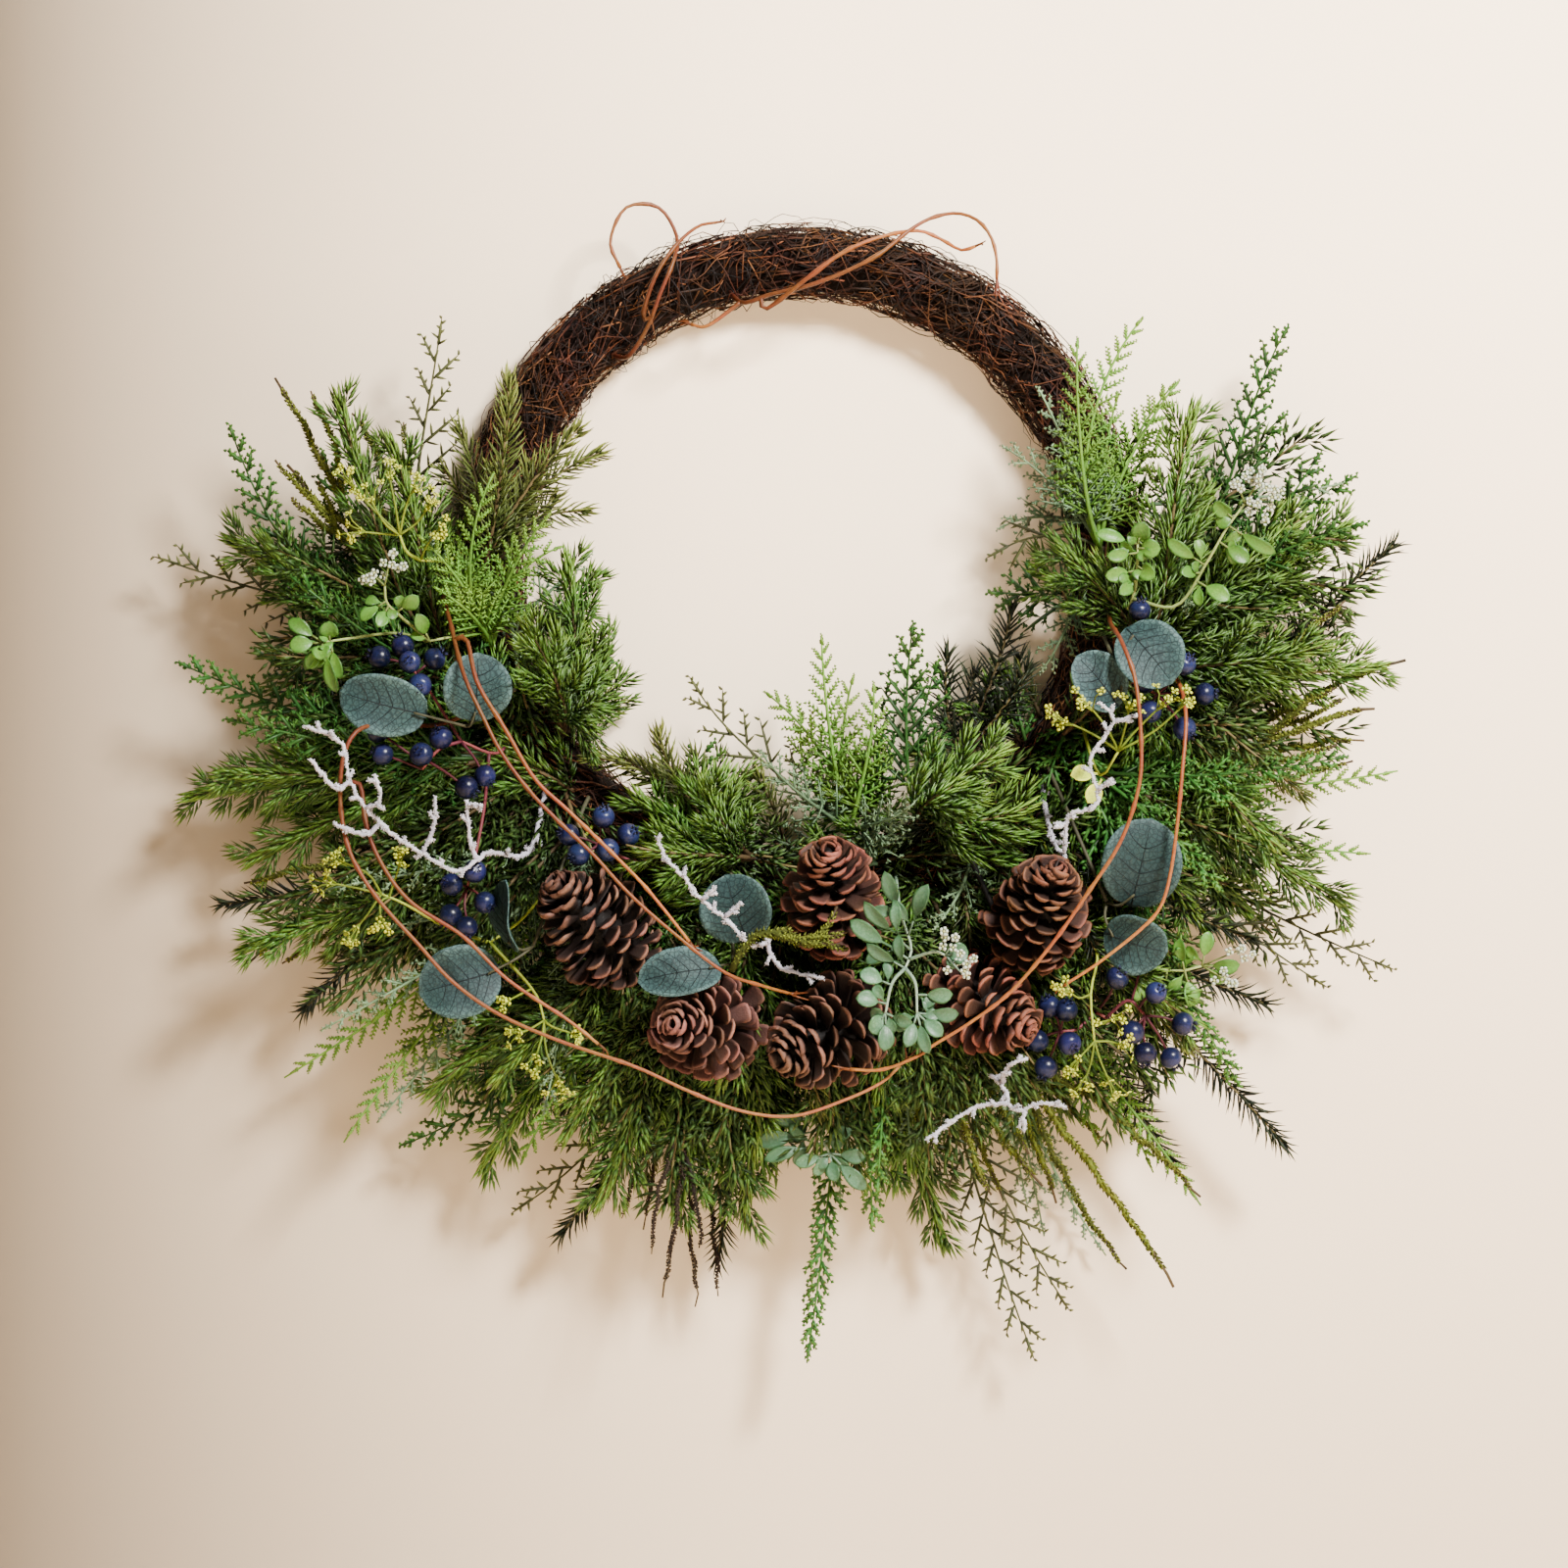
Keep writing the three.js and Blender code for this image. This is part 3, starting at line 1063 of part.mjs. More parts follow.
// The ring: crests and valleys of twig bundles that wind round it, and loose twigs on its bare arc.
function bundleBody(random) {
  const body = newBody();
  const rows = Array.from({ length: RING_STEPS }, (_, i) => {
    const turn = (2 * Math.PI * i) / RING_STEPS;
    return Array.from({ length: ROUND_STEPS }, (_, j) => {
      const round = (2 * Math.PI * j) / ROUND_STEPS + LAY_TURNS * turn;
      const radius = (j % 2 ? VALLEY_RADIUS : CREST_RADIUS) - 1.6 * random();
      return body.points.push(ringPoint(turn, round, radius)) - 1;
    });
  });
  rows.forEach((row, i) => addBand(body, rows[(i + 1) % RING_STEPS], row));
  return body;
}

function looseTwig(random, k) {
  const share = (k + 0.3 + 0.4 * random()) / LOOSE_TWIGS;
  const middle = BARE_ARC[0] + (BARE_ARC[1] - BARE_ARC[0]) * share;
  const span = drawn(LOOSE_TWIG_SPAN, random);
  const round = drawn([20, 170], random);
  const sense = random() < 0.5 ? -1 : 1;
  const swing = sense * drawn(LOOSE_TWIG_SWING, random);
  const [low, high] = [VALLEY_RADIUS - 2, CREST_RADIUS + LOOSE_TWIG_LIFT];
  const path = Array.from({ length: LOOSE_TWIG_STEPS + 1 }, (_, i) => {
    const t = i / LOOSE_TWIG_STEPS;
    const radius = low + (high - low) * Math.sin(Math.PI * t) ** 0.6;
    return ringPoint(radians(middle + span * (t - 0.5)), radians(round + swing * (t - 0.5)), radius);
  });
  return twigTube(path, LOOSE_TWIG_HALF);
}

function rootlet(random, k) {
  const turn = radians(BARE_ARC[0] + ((BARE_ARC[1] - BARE_ARC[0]) * (k + 0.5)) / ROOTLETS);
  const inner = k % 2 === 0;
  const round = radians((inner ? 165 : 10) + 20 * random());
  const lean = (random() - 0.5) * 0.2;
  const path = [0, 0.4, 0.8, 1].map((t) => {
    const radius = VALLEY_RADIUS - 4 + drawn(ROOTLET_LENGTH, random) * t;
    return ringPoint(turn + lean * t, round, radius);
  });
  return twigTube(path, LOOSE_TWIG_HALF * 0.7);
}

function twigTube(path, half) {
  const body = newBody();
  const { up, side } = across(path[1].clone().sub(path[0]).normalize(), vec(0.3, 0.4, 0.5));
  const base = addRing(body, path[0], side, up, half, half, 3);
  addCap(body, base);
  const inner = path.slice(1, -1);
  const { last } = growTube(body, base, inner, inner.map(() => [half, half]));
  addTip(body, last, path[path.length - 1]);
  return solidOf(geometryOf(body));
}

function ringGeometry() {
  const random = seeded(11);
  let ring = solidOf(geometryOf(bundleBody(random)));
  for (let k = 0; k < LOOSE_TWIGS; k++) ring = ring.add(looseTwig(random, k));
  for (let k = 0; k < ROOTLETS; k++) ring = ring.add(rootlet(random, k));
  const behind = new THREE.BoxGeometry(WALL_CUT, WALL_CUT, WALL_CUT);
  behind.translate(0, WALL_CUT / 2, -RING_RADIUS);
  ring = ring.subtract(solidOf(behind));
  holes.forEach((hole) => {
    ring = ring.subtract(hole);
  });
  return geometryOfSolid(ring.simplify(FINEST_EDGE));
}

// The wreath, piece by piece. What stands in front is placed first, and the shoots grow round it.
const wreath = new THREE.Group();
wreath.name = "wreath";

function addPiece(name, colour, geometry) {
  const [tint, roughness] = COLOURS[colour];
  const material = new THREE.MeshStandardMaterial({ color: tint, roughness, metalness: 0 });
  const piece = new THREE.Mesh(geometry, material);
  piece.name = name;
  wreath.add(piece);
}

CONES.forEach((cone) => addPiece(cone[0], "cone", coneGeometry(cone)));
EUCALYPTUS.forEach((pair) => addPiece(pair[0], "eucalyptus", eucalyptusGeometry(pair)));
TREES.forEach((spray) => {
  const geometry = DENSE_SPRAYS.includes(spray[0]) ? leafSprayGeometry(spray) : sprayGeometry(spray);
  addPiece(spray[0], spray[1], geometry);
});
const picks = PICKS.map(plantPick);
picks.forEach((pick) => {
  pick.shoots.forEach((_, s) => leafyShoot(pick, s));
  addPiece(pick.name, KINDS[pick.shoots[0][0]].colour, geometryOf(pick.body));
});
addPiece("twig_ring", "twig", ringGeometry());

export default wreath;
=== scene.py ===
"""A winter wreath on a pale wall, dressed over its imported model.

Every pick, cone, leaf, berry, twig and vine grows here in fine detail along the same lines as
the solids of the model. Lists and shapes are in millimetres; pieces are made in metres.
"""
import json
import math
from functools import partial

import bpy
import numpy as np
from bpy.props import FloatProperty, FloatVectorProperty, IntProperty, PointerProperty
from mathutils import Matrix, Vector
from mathutils.kdtree import KDTree


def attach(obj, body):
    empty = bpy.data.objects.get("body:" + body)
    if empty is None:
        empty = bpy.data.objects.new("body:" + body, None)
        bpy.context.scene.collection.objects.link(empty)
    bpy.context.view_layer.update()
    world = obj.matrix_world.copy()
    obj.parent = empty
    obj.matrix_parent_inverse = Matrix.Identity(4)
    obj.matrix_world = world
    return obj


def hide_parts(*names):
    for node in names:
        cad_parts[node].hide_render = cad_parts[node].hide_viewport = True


bl_info = {
    "name": "Winter wreath",
    "version": (1, 0, 0),
    "blender": (4, 5, 0),
    "location": "View3D > Sidebar > Wreath",
    "description": "Dresses the packed wreath with needles, scales, berries, twigs and vines",
    "category": "Object",
}

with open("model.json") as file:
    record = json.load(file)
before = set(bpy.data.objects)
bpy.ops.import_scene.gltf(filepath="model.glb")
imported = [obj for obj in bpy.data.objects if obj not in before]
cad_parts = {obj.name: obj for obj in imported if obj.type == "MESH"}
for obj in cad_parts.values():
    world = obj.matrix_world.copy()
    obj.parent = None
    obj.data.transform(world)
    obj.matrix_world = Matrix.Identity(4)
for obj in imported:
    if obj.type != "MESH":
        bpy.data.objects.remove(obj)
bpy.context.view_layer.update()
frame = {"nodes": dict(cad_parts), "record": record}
MM = 0.001

# The ring as the model has it, in millimetres: its radius, its middle's distance off the wall, and
# how far from the middle of its tube the stems of picks begin and leave it.
RING_RADIUS = 192.0
RING_DEPTH = 16.0
STEM_FOOT = 16.0
STEM_TOP = 35.0
# How often a twig winds round the tube in one turn of the ring.
LAY_TURNS = 2
# Changes of bow that are tried to find the line of a shoot in its solid.
SPREADS = (0, 10, -10, 20, -20, 32, -32)
# The opening in the middle of the wreath, which stays free of needles.
OPENING_X = (-104, 104)
OPENING_Z = (-30, 135)
# The way from the wall to the viewer.
VIEWER = np.array([0.0, -1.0, 0.0])
# How near the wall things may lie, as y in millimetres: the tips of lesser shoots and of covers,
# moss, needles, and the ring's twigs.
LESSER_LIMIT = -9.0
COVER_LIMIT = -8.0
MOSS_LIMIT = -2.0
NEEDLE_LIMIT = -1.0
RING_LIMIT = -0.6

# Places are millimetres from the ring's centre: x, z and the distance off the wall.
# A pick: its name, the angle round the ring, the angle round the tube (0 outward, 90 to the
# viewer, 180 inward), and its shoots as kind, tip x, tip z, tip distance off the wall, bow.
PICKS = [
    ["fir_olive_top_left", 182, 85, [
        ["fir", -177, 115, 92, -6], ["fir", -134, 85, 80, 8], ["fir", -122, 71, 64, 16],
        ["fir", -209, 86, 70, -10],
    ]],
    ["fir_olive_centre", 252, 125, [
        ["fir", -86, -101, 78, 6], ["fir", -108, -116, 62, -4], ["fir", -129, -115, 48, -12],
    ]],
    ["frosted_top_left", 194, 85, [
        ["frosted", -185, 56, 114, -4], ["frosted", -229, 17, 104, -8],
        ["frosted", -219, -14, 98, -6], ["frosted", -152, 32, 94, 8],
    ]],
    ["twigs_left_top", 187, 20, [
        ["moss", -321, 117, 66, -10], ["moss", -314, 64, 60, 4], ["tracery", -221, 146, 46, 6],
        ["tracery", -388, 5, 34, 6],
    ]],
    ["green_left_top", 198, 45, [
        ["pine", -282, 105, 80, 6], ["cedar", -349, 88, 64, 8], ["pine", -250, 78, 74, -4],
        ["cedar", -309, -6, 90, 4], ["pine", -352, 19, 50, -6], ["pine", -327, 17, 68, 6],
    ]],
    ["green_left_mid", 212, 50, [
        ["cedar", -382, -57, 62, 8], ["pine", -354, -126, 70, 4], ["cedar", -348, -93, 78, 4],
        ["pine", -378, -140, 52, -6], ["pine", -339, -180, 62, -6],
    ]],
    ["pine_left_inner", 215, 115, [
        ["pine", -142, 7, 72, -6], ["pine", -145, -48, 86, 6], ["pine", -130, -80, 70, 10],
        ["pine", -165, -36, 94, -6],
    ]],
    ["fir_dark_left", 223, 10, [
        ["dark_fir", -354, -206, 42, 6], ["dark_fir", -305, -271, 38, -6],
        ["pine", -339, -233, 58, 4], ["moss", -339, -243, 48, -8],
    ]],
    ["frosted_left_low", 232, 20, [
        ["frosted", -317, -313, 44, 6], ["frosted", -278, -351, 48, -6],
        ["glaucous", -291, -282, 58, 6], ["glaucous", -259, -340, 60, -6],
    ]],
    ["pine_bottom_left", 248, 35, [
        ["cedar", -247, -356, 60, 6], ["pine", -229, -323, 70, 8], ["pine", -195, -370, 56, -4],
        ["frosted", -171, -366, 72, 6], ["pine", -123, -390, 60, 4],
    ]],
    ["fir_dark_bottom", 262, 5, [
        ["dark_fir", -146, -409, 38, 6], ["dark_fir", -50, -426, 32, 4],
        ["pine", -75, -396, 50, -4], ["pine", -33, -401, 58, -6],
    ]],
    ["fern_bottom", 276, 25, [
        ["fern", 5, -488, 54, 6], ["fern", 45, -404, 62, -4], ["pine", 90, -418, 60, -6],
    ]],
    ["twigs_bottom_left", 255, -12, [
        ["tracery", -172, -394, 26, 6], ["twig", -64, -455, 34, -6], ["twig", -83, -445, 42, 6],
    ]],
    ["twigs_bottom_right", 287, 12, [
        ["tracery", 145, -486, 34, -6], ["tracery", 166, -455, 44, 6], ["moss", 230, -441, 60, 8],
        ["moss", 149, -378, 76, -4],
    ]],
    ["glaucous_bottom_right", 296, 35, [
        ["glaucous", 152, -412, 52, 4], ["glaucous", 191, -425, 44, -6],
        ["frosted", 247, -391, 58, 6], ["frosted", 219, -372, 68, 4],
    ]],
    ["fir_dark_right_low", 306, 10, [
        ["dark_fir", 229, -364, 46, -6], ["dark_fir", 298, -353, 52, 4],
        ["dark_fir", 289, -268, 44, -6],
    ]],
    ["twigs_right", 322, 5, [
        ["tracery", 364, -245, 42, -8], ["tracery", 319, -253, 50, -6], ["moss", 373, -56, 56, 12],
        ["moss", 353, -86, 62, 8],
    ]],
    ["fern_right", 325, 60, [
        ["fern", 271, -318, 70, -8], ["fern", 335, -115, 86, -8], ["fern", 255, -195, 98, 6],
        ["pine", 336, -207, 62, 6], ["frosted", 368, -124, 58, 8], ["frosted", 352, -175, 52, 6],
    ]],
    ["pine_right_top", 345, 42, [
        ["pine", 356, -60, 64, -6], ["pine", 320, -48, 78, -6], ["pine", 337, 26, 56, 4],
        ["pine", 307, 30, 68, 6], ["pine", 241, 97, 88, 6], ["pine", 159, 12, 92, -6],
    ]],
    ["fir_dark_right_top", 337, -5, [
        ["dark_fir", 366, 15, 46, -8], ["dark_fir", 315, -36, 34, -6],
    ]],
    ["cedar_right_top", 352, 12, [
        ["cedar", 302, 151, 46, 8], ["cedar", 341, 57, 36, 8], ["cedar", 320, 70, 54, -6],
    ]],
    ["frosted_right_top", 4, 100, [
        ["frosted", 170, 140, 84, 6], ["frosted", 211, 154, 66, 4], ["frosted", 233, 115, 58, 8],
        ["glaucous", 127, 74, 62, -8], ["glaucous", 148, 108, 74, -4],
        ["tracery", 128, 14, 46, -10],
    ]],
    ["fir_dark_centre", 311, 160, [
        ["dark_fir", 131, -22, 44, -6], ["dark_fir", 92, -52, 36, 6],
        ["dark_fir", 141, -60, 54, -4],
    ]],
    ["pine_centre", 295, 120, [
        ["pine", 124, -112, 90, 6], ["pine", 140, -146, 78, -6], ["cedar", 70, -36, 58, 6],
        ["pine", 96, -132, 98, 6],
    ]],
    ["frosted_centre", 281, 140, [
        ["frosted", 14, -41, 58, 4], ["frosted", -20, -76, 48, 8], ["frosted", 46, -72, 66, -6],
        ["glaucous", -22, -114, 76, 6], ["glaucous", 71, -143, 86, -6],
        ["tracery", -63, -73, 38, 10],
    ]],
    ["pine_centre_left", 261, 110, [
        ["pine", -99, -139, 72, 8], ["pine", -105, -169, 92, 4], ["pine", -57, -132, 84, 6],
    ]],
]
# A pinecone: its name, its middle, the way of its axis, its length and width, and the two angles
# of its stem's place on the ring.
CONES = [
    ["pinecone_left", [-126, -216, 88], [-0.62, 0.42, 0.62], 84, 68, 236, 60],
    ["pinecone_low_left", [-60, -279, 94], [-0.45, 0.85, 0.05], 76, 68, 257, 35],
    ["pinecone_centre", [21, -198, 90], [-0.1, 0.6, 0.62], 82, 66, 271, 75],
    ["pinecone_low_centre", [15, -286, 92], [-0.66, 0.52, -0.3], 82, 68, 269, 35],
    ["pinecone_right_top", [147, -207, 98], [0.2, 0.62, 0.55], 82, 64, 301, 80],
    ["pinecone_right_low", [116, -268, 84], [0.62, 0.5, -0.32], 76, 62, 297, 10],
]
# A pair of round leaves: its name, its two angles, the fork of its stem, and its leaves as foot,
# tip, width and roll in degrees.
EUCALYPTUS = [
    ["eucalyptus_left_top", 203, 92, [-202, -97, 92], [
        [[-225, -91, 108], [-278, -77, 116], 34, 10], [[-197, -95, 100], [-194, -53, 108], 38, -10],
    ]],
    ["eucalyptus_left_low", 228, 80, [-162, -231, 86], [
        [[-176, -235, 98], [-182, -191, 108], 32, 70], [[-181, -245, 98], [-230, -259, 106], 40, 0],
    ]],
    ["eucalyptus_centre", 257, 100, [-40, -241, 84], [
        [[-31, -229, 98], [-45, -188, 106], 40, 10], [[-46, -242, 112], [-97, -250, 122], 28, -20],
    ]],
    ["eucalyptus_right_top", 349, 95, [196, -66, 92], [
        [[199, -36, 98], [227, -70, 106], 38, 10], [[196, -85, 94], [170, -54, 102], 30, -15],
    ]],
    ["eucalyptus_right_low", 322, 88, [188, -204, 84], [
        [[202, -208, 96], [214, -154, 108], 44, 0], [[185, -223, 96], [223, -235, 104], 34, -20],
    ]],
]


def ends(kind, *spots):
    """The ends of one kind on a branch, each at one place."""
    return [[kind, [spot]] for spot in spots]


# A spray: its name, its family, its two angles, and its branch. A branch is a kind, its places
# in order from its foot, and the branches on it.
TREES = [
    ["berries_left", "berry", 208, 78,
     ["stem", [[-184, -113, 70], [-206, -106, 84]], [
         ["stem", [[-225, -75, 92], [-236, -61, 96]], ends(
             "berry", [-255, -55, 98], [-241, -48, 95], [-222, -56, 92], [-236, -58, 108],
             [-230, -72, 104]
         )],
         ["stem", [[-219, -111, 94], [-229, -123, 97]], ends(
             "berry", [-218, -104, 92], [-253, -114, 98], [-229, -114, 106], [-256, -100, 94],
             [-191, -127, 96], [-202, -134, 102]
         )],
         ["stem", [[-192, -144, 76], [-197, -174, 84], [-202, -195, 90]], ends(
             "berry", [-197, -185, 100], [-211, -193, 98], [-191, -204, 98], [-212, -212, 94],
             [-202, -219, 100]
         )],
     ]]],
    ["berries_centre_left", "berry", 243, 85,
     ["stem", [[-99, -180, 70], [-122, -169, 84]], ends(
         "berry", [-140, -163, 92], [-134, -175, 94], [-119, -152, 94], [-116, -172, 100],
         [-104, -163, 92]
     )]],
    ["berries_right_top", "berry", 341, 75,
     ["stem", [[199, -67, 60], [219, -77, 74]], ends(
         "berry", [208, -26, 84], [235, -59, 92], [211, -70, 84], [214, -88, 92], [248, -77, 78],
         [235, -98, 88]
     )]],
    ["berries_right_low", "berry", 310, 28,
     ["stem", [[162, -243, 44], [175, -266, 60], [188, -275, 76]], [
         ["stem", [[201, -264, 84], [211, -273, 88]], ends(
             "berry", [209, -237, 88], [217, -259, 98], [203, -283, 98], [234, -278, 90],
             [211, -296, 90], [227, -299, 84]
         )],
         ["stem", [[170, -282, 74], [160, -283, 78]], ends(
             "berry", [153, -268, 82], [163, -270, 84], [146, -289, 76], [165, -290, 88],
             [151, -305, 80], [194, -250, 92]
         )],
     ]]],
    ["flocked_left", "flocked", 219, 62,
     ["twig", [
         [-165, -173, 66], [-189, -174, 104], [-206, -185, 117], [-226, -175, 120],
         [-243, -164, 124], [-256, -152, 128], [-265, -142, 131], [-272, -125, 134],
         [-274, -110, 136], [-282, -103, 138],
     ], [
         ["twig", [[-286, -101, 137], [-298, -97, 138]]],
         ["twig", [[-261, -163, 128], [-281, -155, 134]]],
         ["twig", [[-279, -135, 136], [-294, -117, 139]]],
         ["twig", [[-252, -141, 136], [-256, -126, 140]]],
         ["twig", [[-199, -167, 112], [-201, -142, 118]], ends("twig", [-192, -145, 124])],
         ["twig", [[-220, -156, 122], [-220, -139, 126]]],
     ]]],
    ["flocked_centre", "flocked", 254, 68,
     ["twig", [
         [-21, -222, 66], [-21, -229, 98], [-32, -227, 116], [-44, -214, 118], [-59, -202, 121],
         [-68, -190, 122], [-80, -177, 123], [-86, -164, 124],
     ], [
         ["twig", [[-15, -240, 88], [-9, -245, 94], [1, -247, 98], [16, -250, 102]]],
         *ends("twig", [-50, -194, 124], [-35, -204, 122]),
     ]]],
    ["flocked_right", "flocked", 320, 84,
     ["twig", [
         [154, -162, 84], [161, -174, 104], [163, -152, 116], [179, -146, 120], [180, -135, 122],
         [176, -117, 124], [190, -94, 126], [181, -83, 128],
     ], ends("twig", [155, -158, 122], [206, -90, 127], [189, -129, 126])]],
    ["flocked_low", "flocked", 290, 20,
     ["twig", [
         [91, -259, 38], [97, -288, 40], [107, -302, 62], [118, -310, 82], [126, -318, 92],
         [130, -330, 98], [147, -326, 104], [162, -328, 108],
     ], [
         ["twig", [[128, -303, 100], [138, -299, 104]]],
         ["twig", [[105, -330, 92], [77, -349, 96]]],
         ["twig", [[137, -342, 100]]],
     ]]],
    ["vine_top_left", "vine", 131, 148,
     ["vine", [
         [-105, 131, 50], [-93, 149, 52], [-85, 170, 52], [-77, 190, 48], [-75, 205, 38],
         [-83, 221, 36], [-94, 226, 38], [-108, 222, 42], [-116, 202, 46], [-110, 186, 48],
     ], [
         ["vine", [
             [-96, 155, 56], [-88, 180, 56], [-75, 200, 50], [-62, 212, 40], [-51, 215, 32],
         ]],
     ]]],
    ["vine_top_right", "vine", 104, 148,
     ["vine", [
         [-34, 164, 50], [-17, 169, 54], [5, 174, 56], [27, 182, 56], [50, 194, 54], [67, 208, 48],
         [82, 217, 42], [98, 220, 40], [111, 215, 42], [119, 204, 44], [122, 191, 46],
         [122, 179, 48],
     ], [
         ["vine", [
             [-20, 160, 52], [5, 178, 62], [27, 194, 61], [50, 204, 56], [73, 209, 44],
             [88, 204, 40], [100, 197, 44], [109, 199, 50],
         ]],
         ["vine", [[-56, 150, 50], [-66, 151, 46]]],
     ]]],
    ["vine_left", "vine", 181, 42,
     ["vine", [
         [-217, -14, 66], [-211, -36, 106], [-202, -66, 132], [-190, -92, 139], [-179, -113, 142],
         [-163, -135, 144], [-146, -153, 144], [-125, -173, 144], [-102, -198, 144],
         [-76, -221, 144], [-45, -245, 142], [-21, -254, 130], [-5, -259, 114],
     ], [
         ["vine", [
             [-201, -45, 116], [-194, -71, 128], [-177, -99, 133], [-159, -129, 135],
             [-138, -149, 135], [-101, -185, 135], [-85, -203, 135], [-66, -227, 135],
         ]],
     ]]],
    ["vine_low", "vine", 203, 60,
     ["vine", [
         [-218, -95, 74], [-249, -96, 98], [-266, -99, 118], [-275, -115, 124], [-277, -142, 124],
         [-273, -167, 127], [-265, -185, 129], [-251, -205, 131], [-230, -228, 132],
         [-209, -251, 132], [-182, -270, 134], [-146, -286, 136], [-99, -302, 138],
         [-66, -317, 138], [-34, -329, 136], [-3, -332, 133], [29, -322, 130], [50, -312, 128],
         [61, -302, 126],
     ], [
         ["vine", [
             [-266, -132, 114], [-262, -156, 117], [-253, -179, 120], [-235, -203, 122],
             [-203, -224, 123], [-176, -250, 125], [-140, -274, 127], [-121, -289, 128],
         ]],
     ]]],
    ["vine_right", "vine", 353, 84,
     ["vine", [
         [190, -34, 88], [195, -46, 122], [203, -71, 132], [206, -108, 138], [204, -135, 142],
         [193, -167, 144], [173, -198, 146], [152, -228, 146], [127, -257, 145], [102, -276, 143],
         [81, -289, 141], [71, -296, 139], [50, -304, 136], [31, -304, 133],
     ], [
         ["vine", [
             [199, -56, 58], [218, -55, 62], [230, -66, 80], [235, -89, 102], [232, -126, 114],
             [229, -156, 116], [225, -185, 117], [219, -206, 116], [207, -220, 114],
             [182, -240, 112], [161, -254, 108],
         ]],
     ]]],
    ["leaf_spray_top_left", "sage", 191, 70,
     ["stem", [[-207, -41, 74], [-225, -45, 90]], [
         ["stem", [[-242, -30, 102], [-250, -22, 106], [-251, -12, 110]], [
             *ends("floret", [-248, 3, 114], [-256, -7, 114]),
             *ends("leaf", [-231, -19, 112], [-266, -32, 110], [-254, -36, 118]),
         ]],
         ["stem", [[-246, -40, 84], [-270, -43, 96], [-289, -46, 105]], ends(
             "leaf", [-279, -68, 106], [-298, -62, 106], [-282, -77, 104], [-290, -56, 114],
             [-285, -34, 110], [-310, -32, 104], [-309, -48, 108]
         )],
         ["leaf", [[-231, -30, 106]]],
     ]]],
    ["leaf_spray_top_right", "sage", 357, 60,
     ["stem", [[201, -25, 74], [205, -14, 86]], [
         ["stem", [[206, 0, 94], [206, 14, 98]], ends(
             "leaf", [181, 21, 104], [209, 26, 108], [188, 6, 106], [219, 11, 104], [187, -6, 102],
             [215, -6, 106], [196, -16, 108]
         )],
         ["stem", [[231, -23, 72], [249, 3, 80], [261, 24, 84], [272, 39, 86]], [
             *ends(
                 "leaf", [225, 16, 88], [234, -3, 92], [253, 39, 88], [274, 4, 90], [290, 8, 88],
                 [262, -19, 88]
             ),
             *ends("floret", [268, 49, 90], [281, 54, 90], [291, 43, 88], [279, 36, 94]),
         ]],
     ]]],
    ["leaf_spray_centre", "sage", 288, 88,
     ["stem", [[62, -210, 84], [68, -231, 118], [64, -243, 132]], [
         ["stem", [[56, -252, 138], [52, -270, 140]], ends(
             "leaf", [37, -245, 142], [35, -260, 146], [44, -282, 142], [52, -292, 146],
             [67, -276, 148]
         )],
         ["stem", [[70, -252, 138], [71, -270, 141]], ends(
             "leaf", [92, -259, 144], [96, -271, 142], [77, -294, 146], [65, -289, 152],
             [86, -283, 146]
         )],
         ["stem", [[81, -233, 136], [88, -235, 140]], [
             *ends("floret", [92, -228, 144], [98, -246, 144]),
             ["leaf", [[102, -233, 140]]],
         ]],
         *ends(
             "leaf", [31, -215, 134], [52, -187, 128], [76, -194, 130], [39, -205, 140],
             [41, -230, 146]
         ),
     ]]],
    ["leaf_spray_bottom", "sage", 268, 12,
     ["stem", [[2, -276, 44], [7, -318, 48], [11, -342, 66], [19, -358, 76]], ends(
         "leaf", [-26, -352, 70], [-21, -361, 78], [-15, -337, 72], [-2, -364, 82], [32, -343, 76],
         [41, -360, 80], [22, -374, 84], [41, -380, 78]
     )]],
    ["leaf_spray_right_low", "sage", 317, 38,
     ["stem", [[195, -228, 66], [225, -246, 78], [246, -243, 84]], [
         *ends(
             "leaf", [241, -268, 86], [206, -264, 84], [223, -270, 78], [231, -227, 88],
             [250, -222, 88]
         ),
         *ends("floret", [269, -233, 88], [260, -251, 90]),
         ["leaf", [[268, -243, 92]]],
     ]]],
    ["umbels_top_left", "umbel", 176, 48,
     ["stem", [[-215, 5, 70], [-230, 4, 98]], [
         ["stem", [[-238, 9, 106], [-242, 19, 109]], ends(
             "floret", [-273, 51, 114], [-259, 40, 118], [-248, 54, 114], [-233, 48, 116],
             [-225, 35, 112], [-266, 21, 112]
         )],
         ["floret", [[-221, 19, 110]]],
     ]]],
    ["umbels_left_low", "umbel", 231, 64,
     ["stem", [[-165, -210, 66], [-189, -229, 74]], [
         ["stem", [[-214, -220, 80], [-240, -205, 92], [-254, -199, 95]], ends(
             "floret", [-285, -192, 100], [-278, -179, 102], [-269, -220, 98], [-254, -214, 104],
             [-242, -180, 102]
         )],
         ["stem", [[-162, -258, 84], [-155, -276, 92]], ends(
             "floret", [-177, -264, 98], [-170, -283, 100], [-137, -284, 96], [-160, -298, 100],
             [-146, -314, 98]
         )],
     ]]],
    ["umbel_right_low", "umbel", 314, 48,
     ["stem", [[176, -222, 58], [182, -237, 86], [177, -259, 108], [179, -288, 113]], ends(
         "floret", [164, -258, 116], [190, -274, 116], [194, -290, 112], [173, -312, 112],
         [188, -312, 114], [169, -298, 118]
     )]],
    ["umbel_right_top", "umbel", 334, 92,
     ["stem", [[183, -126, 84], [194, -112, 104]], [
         *ends(
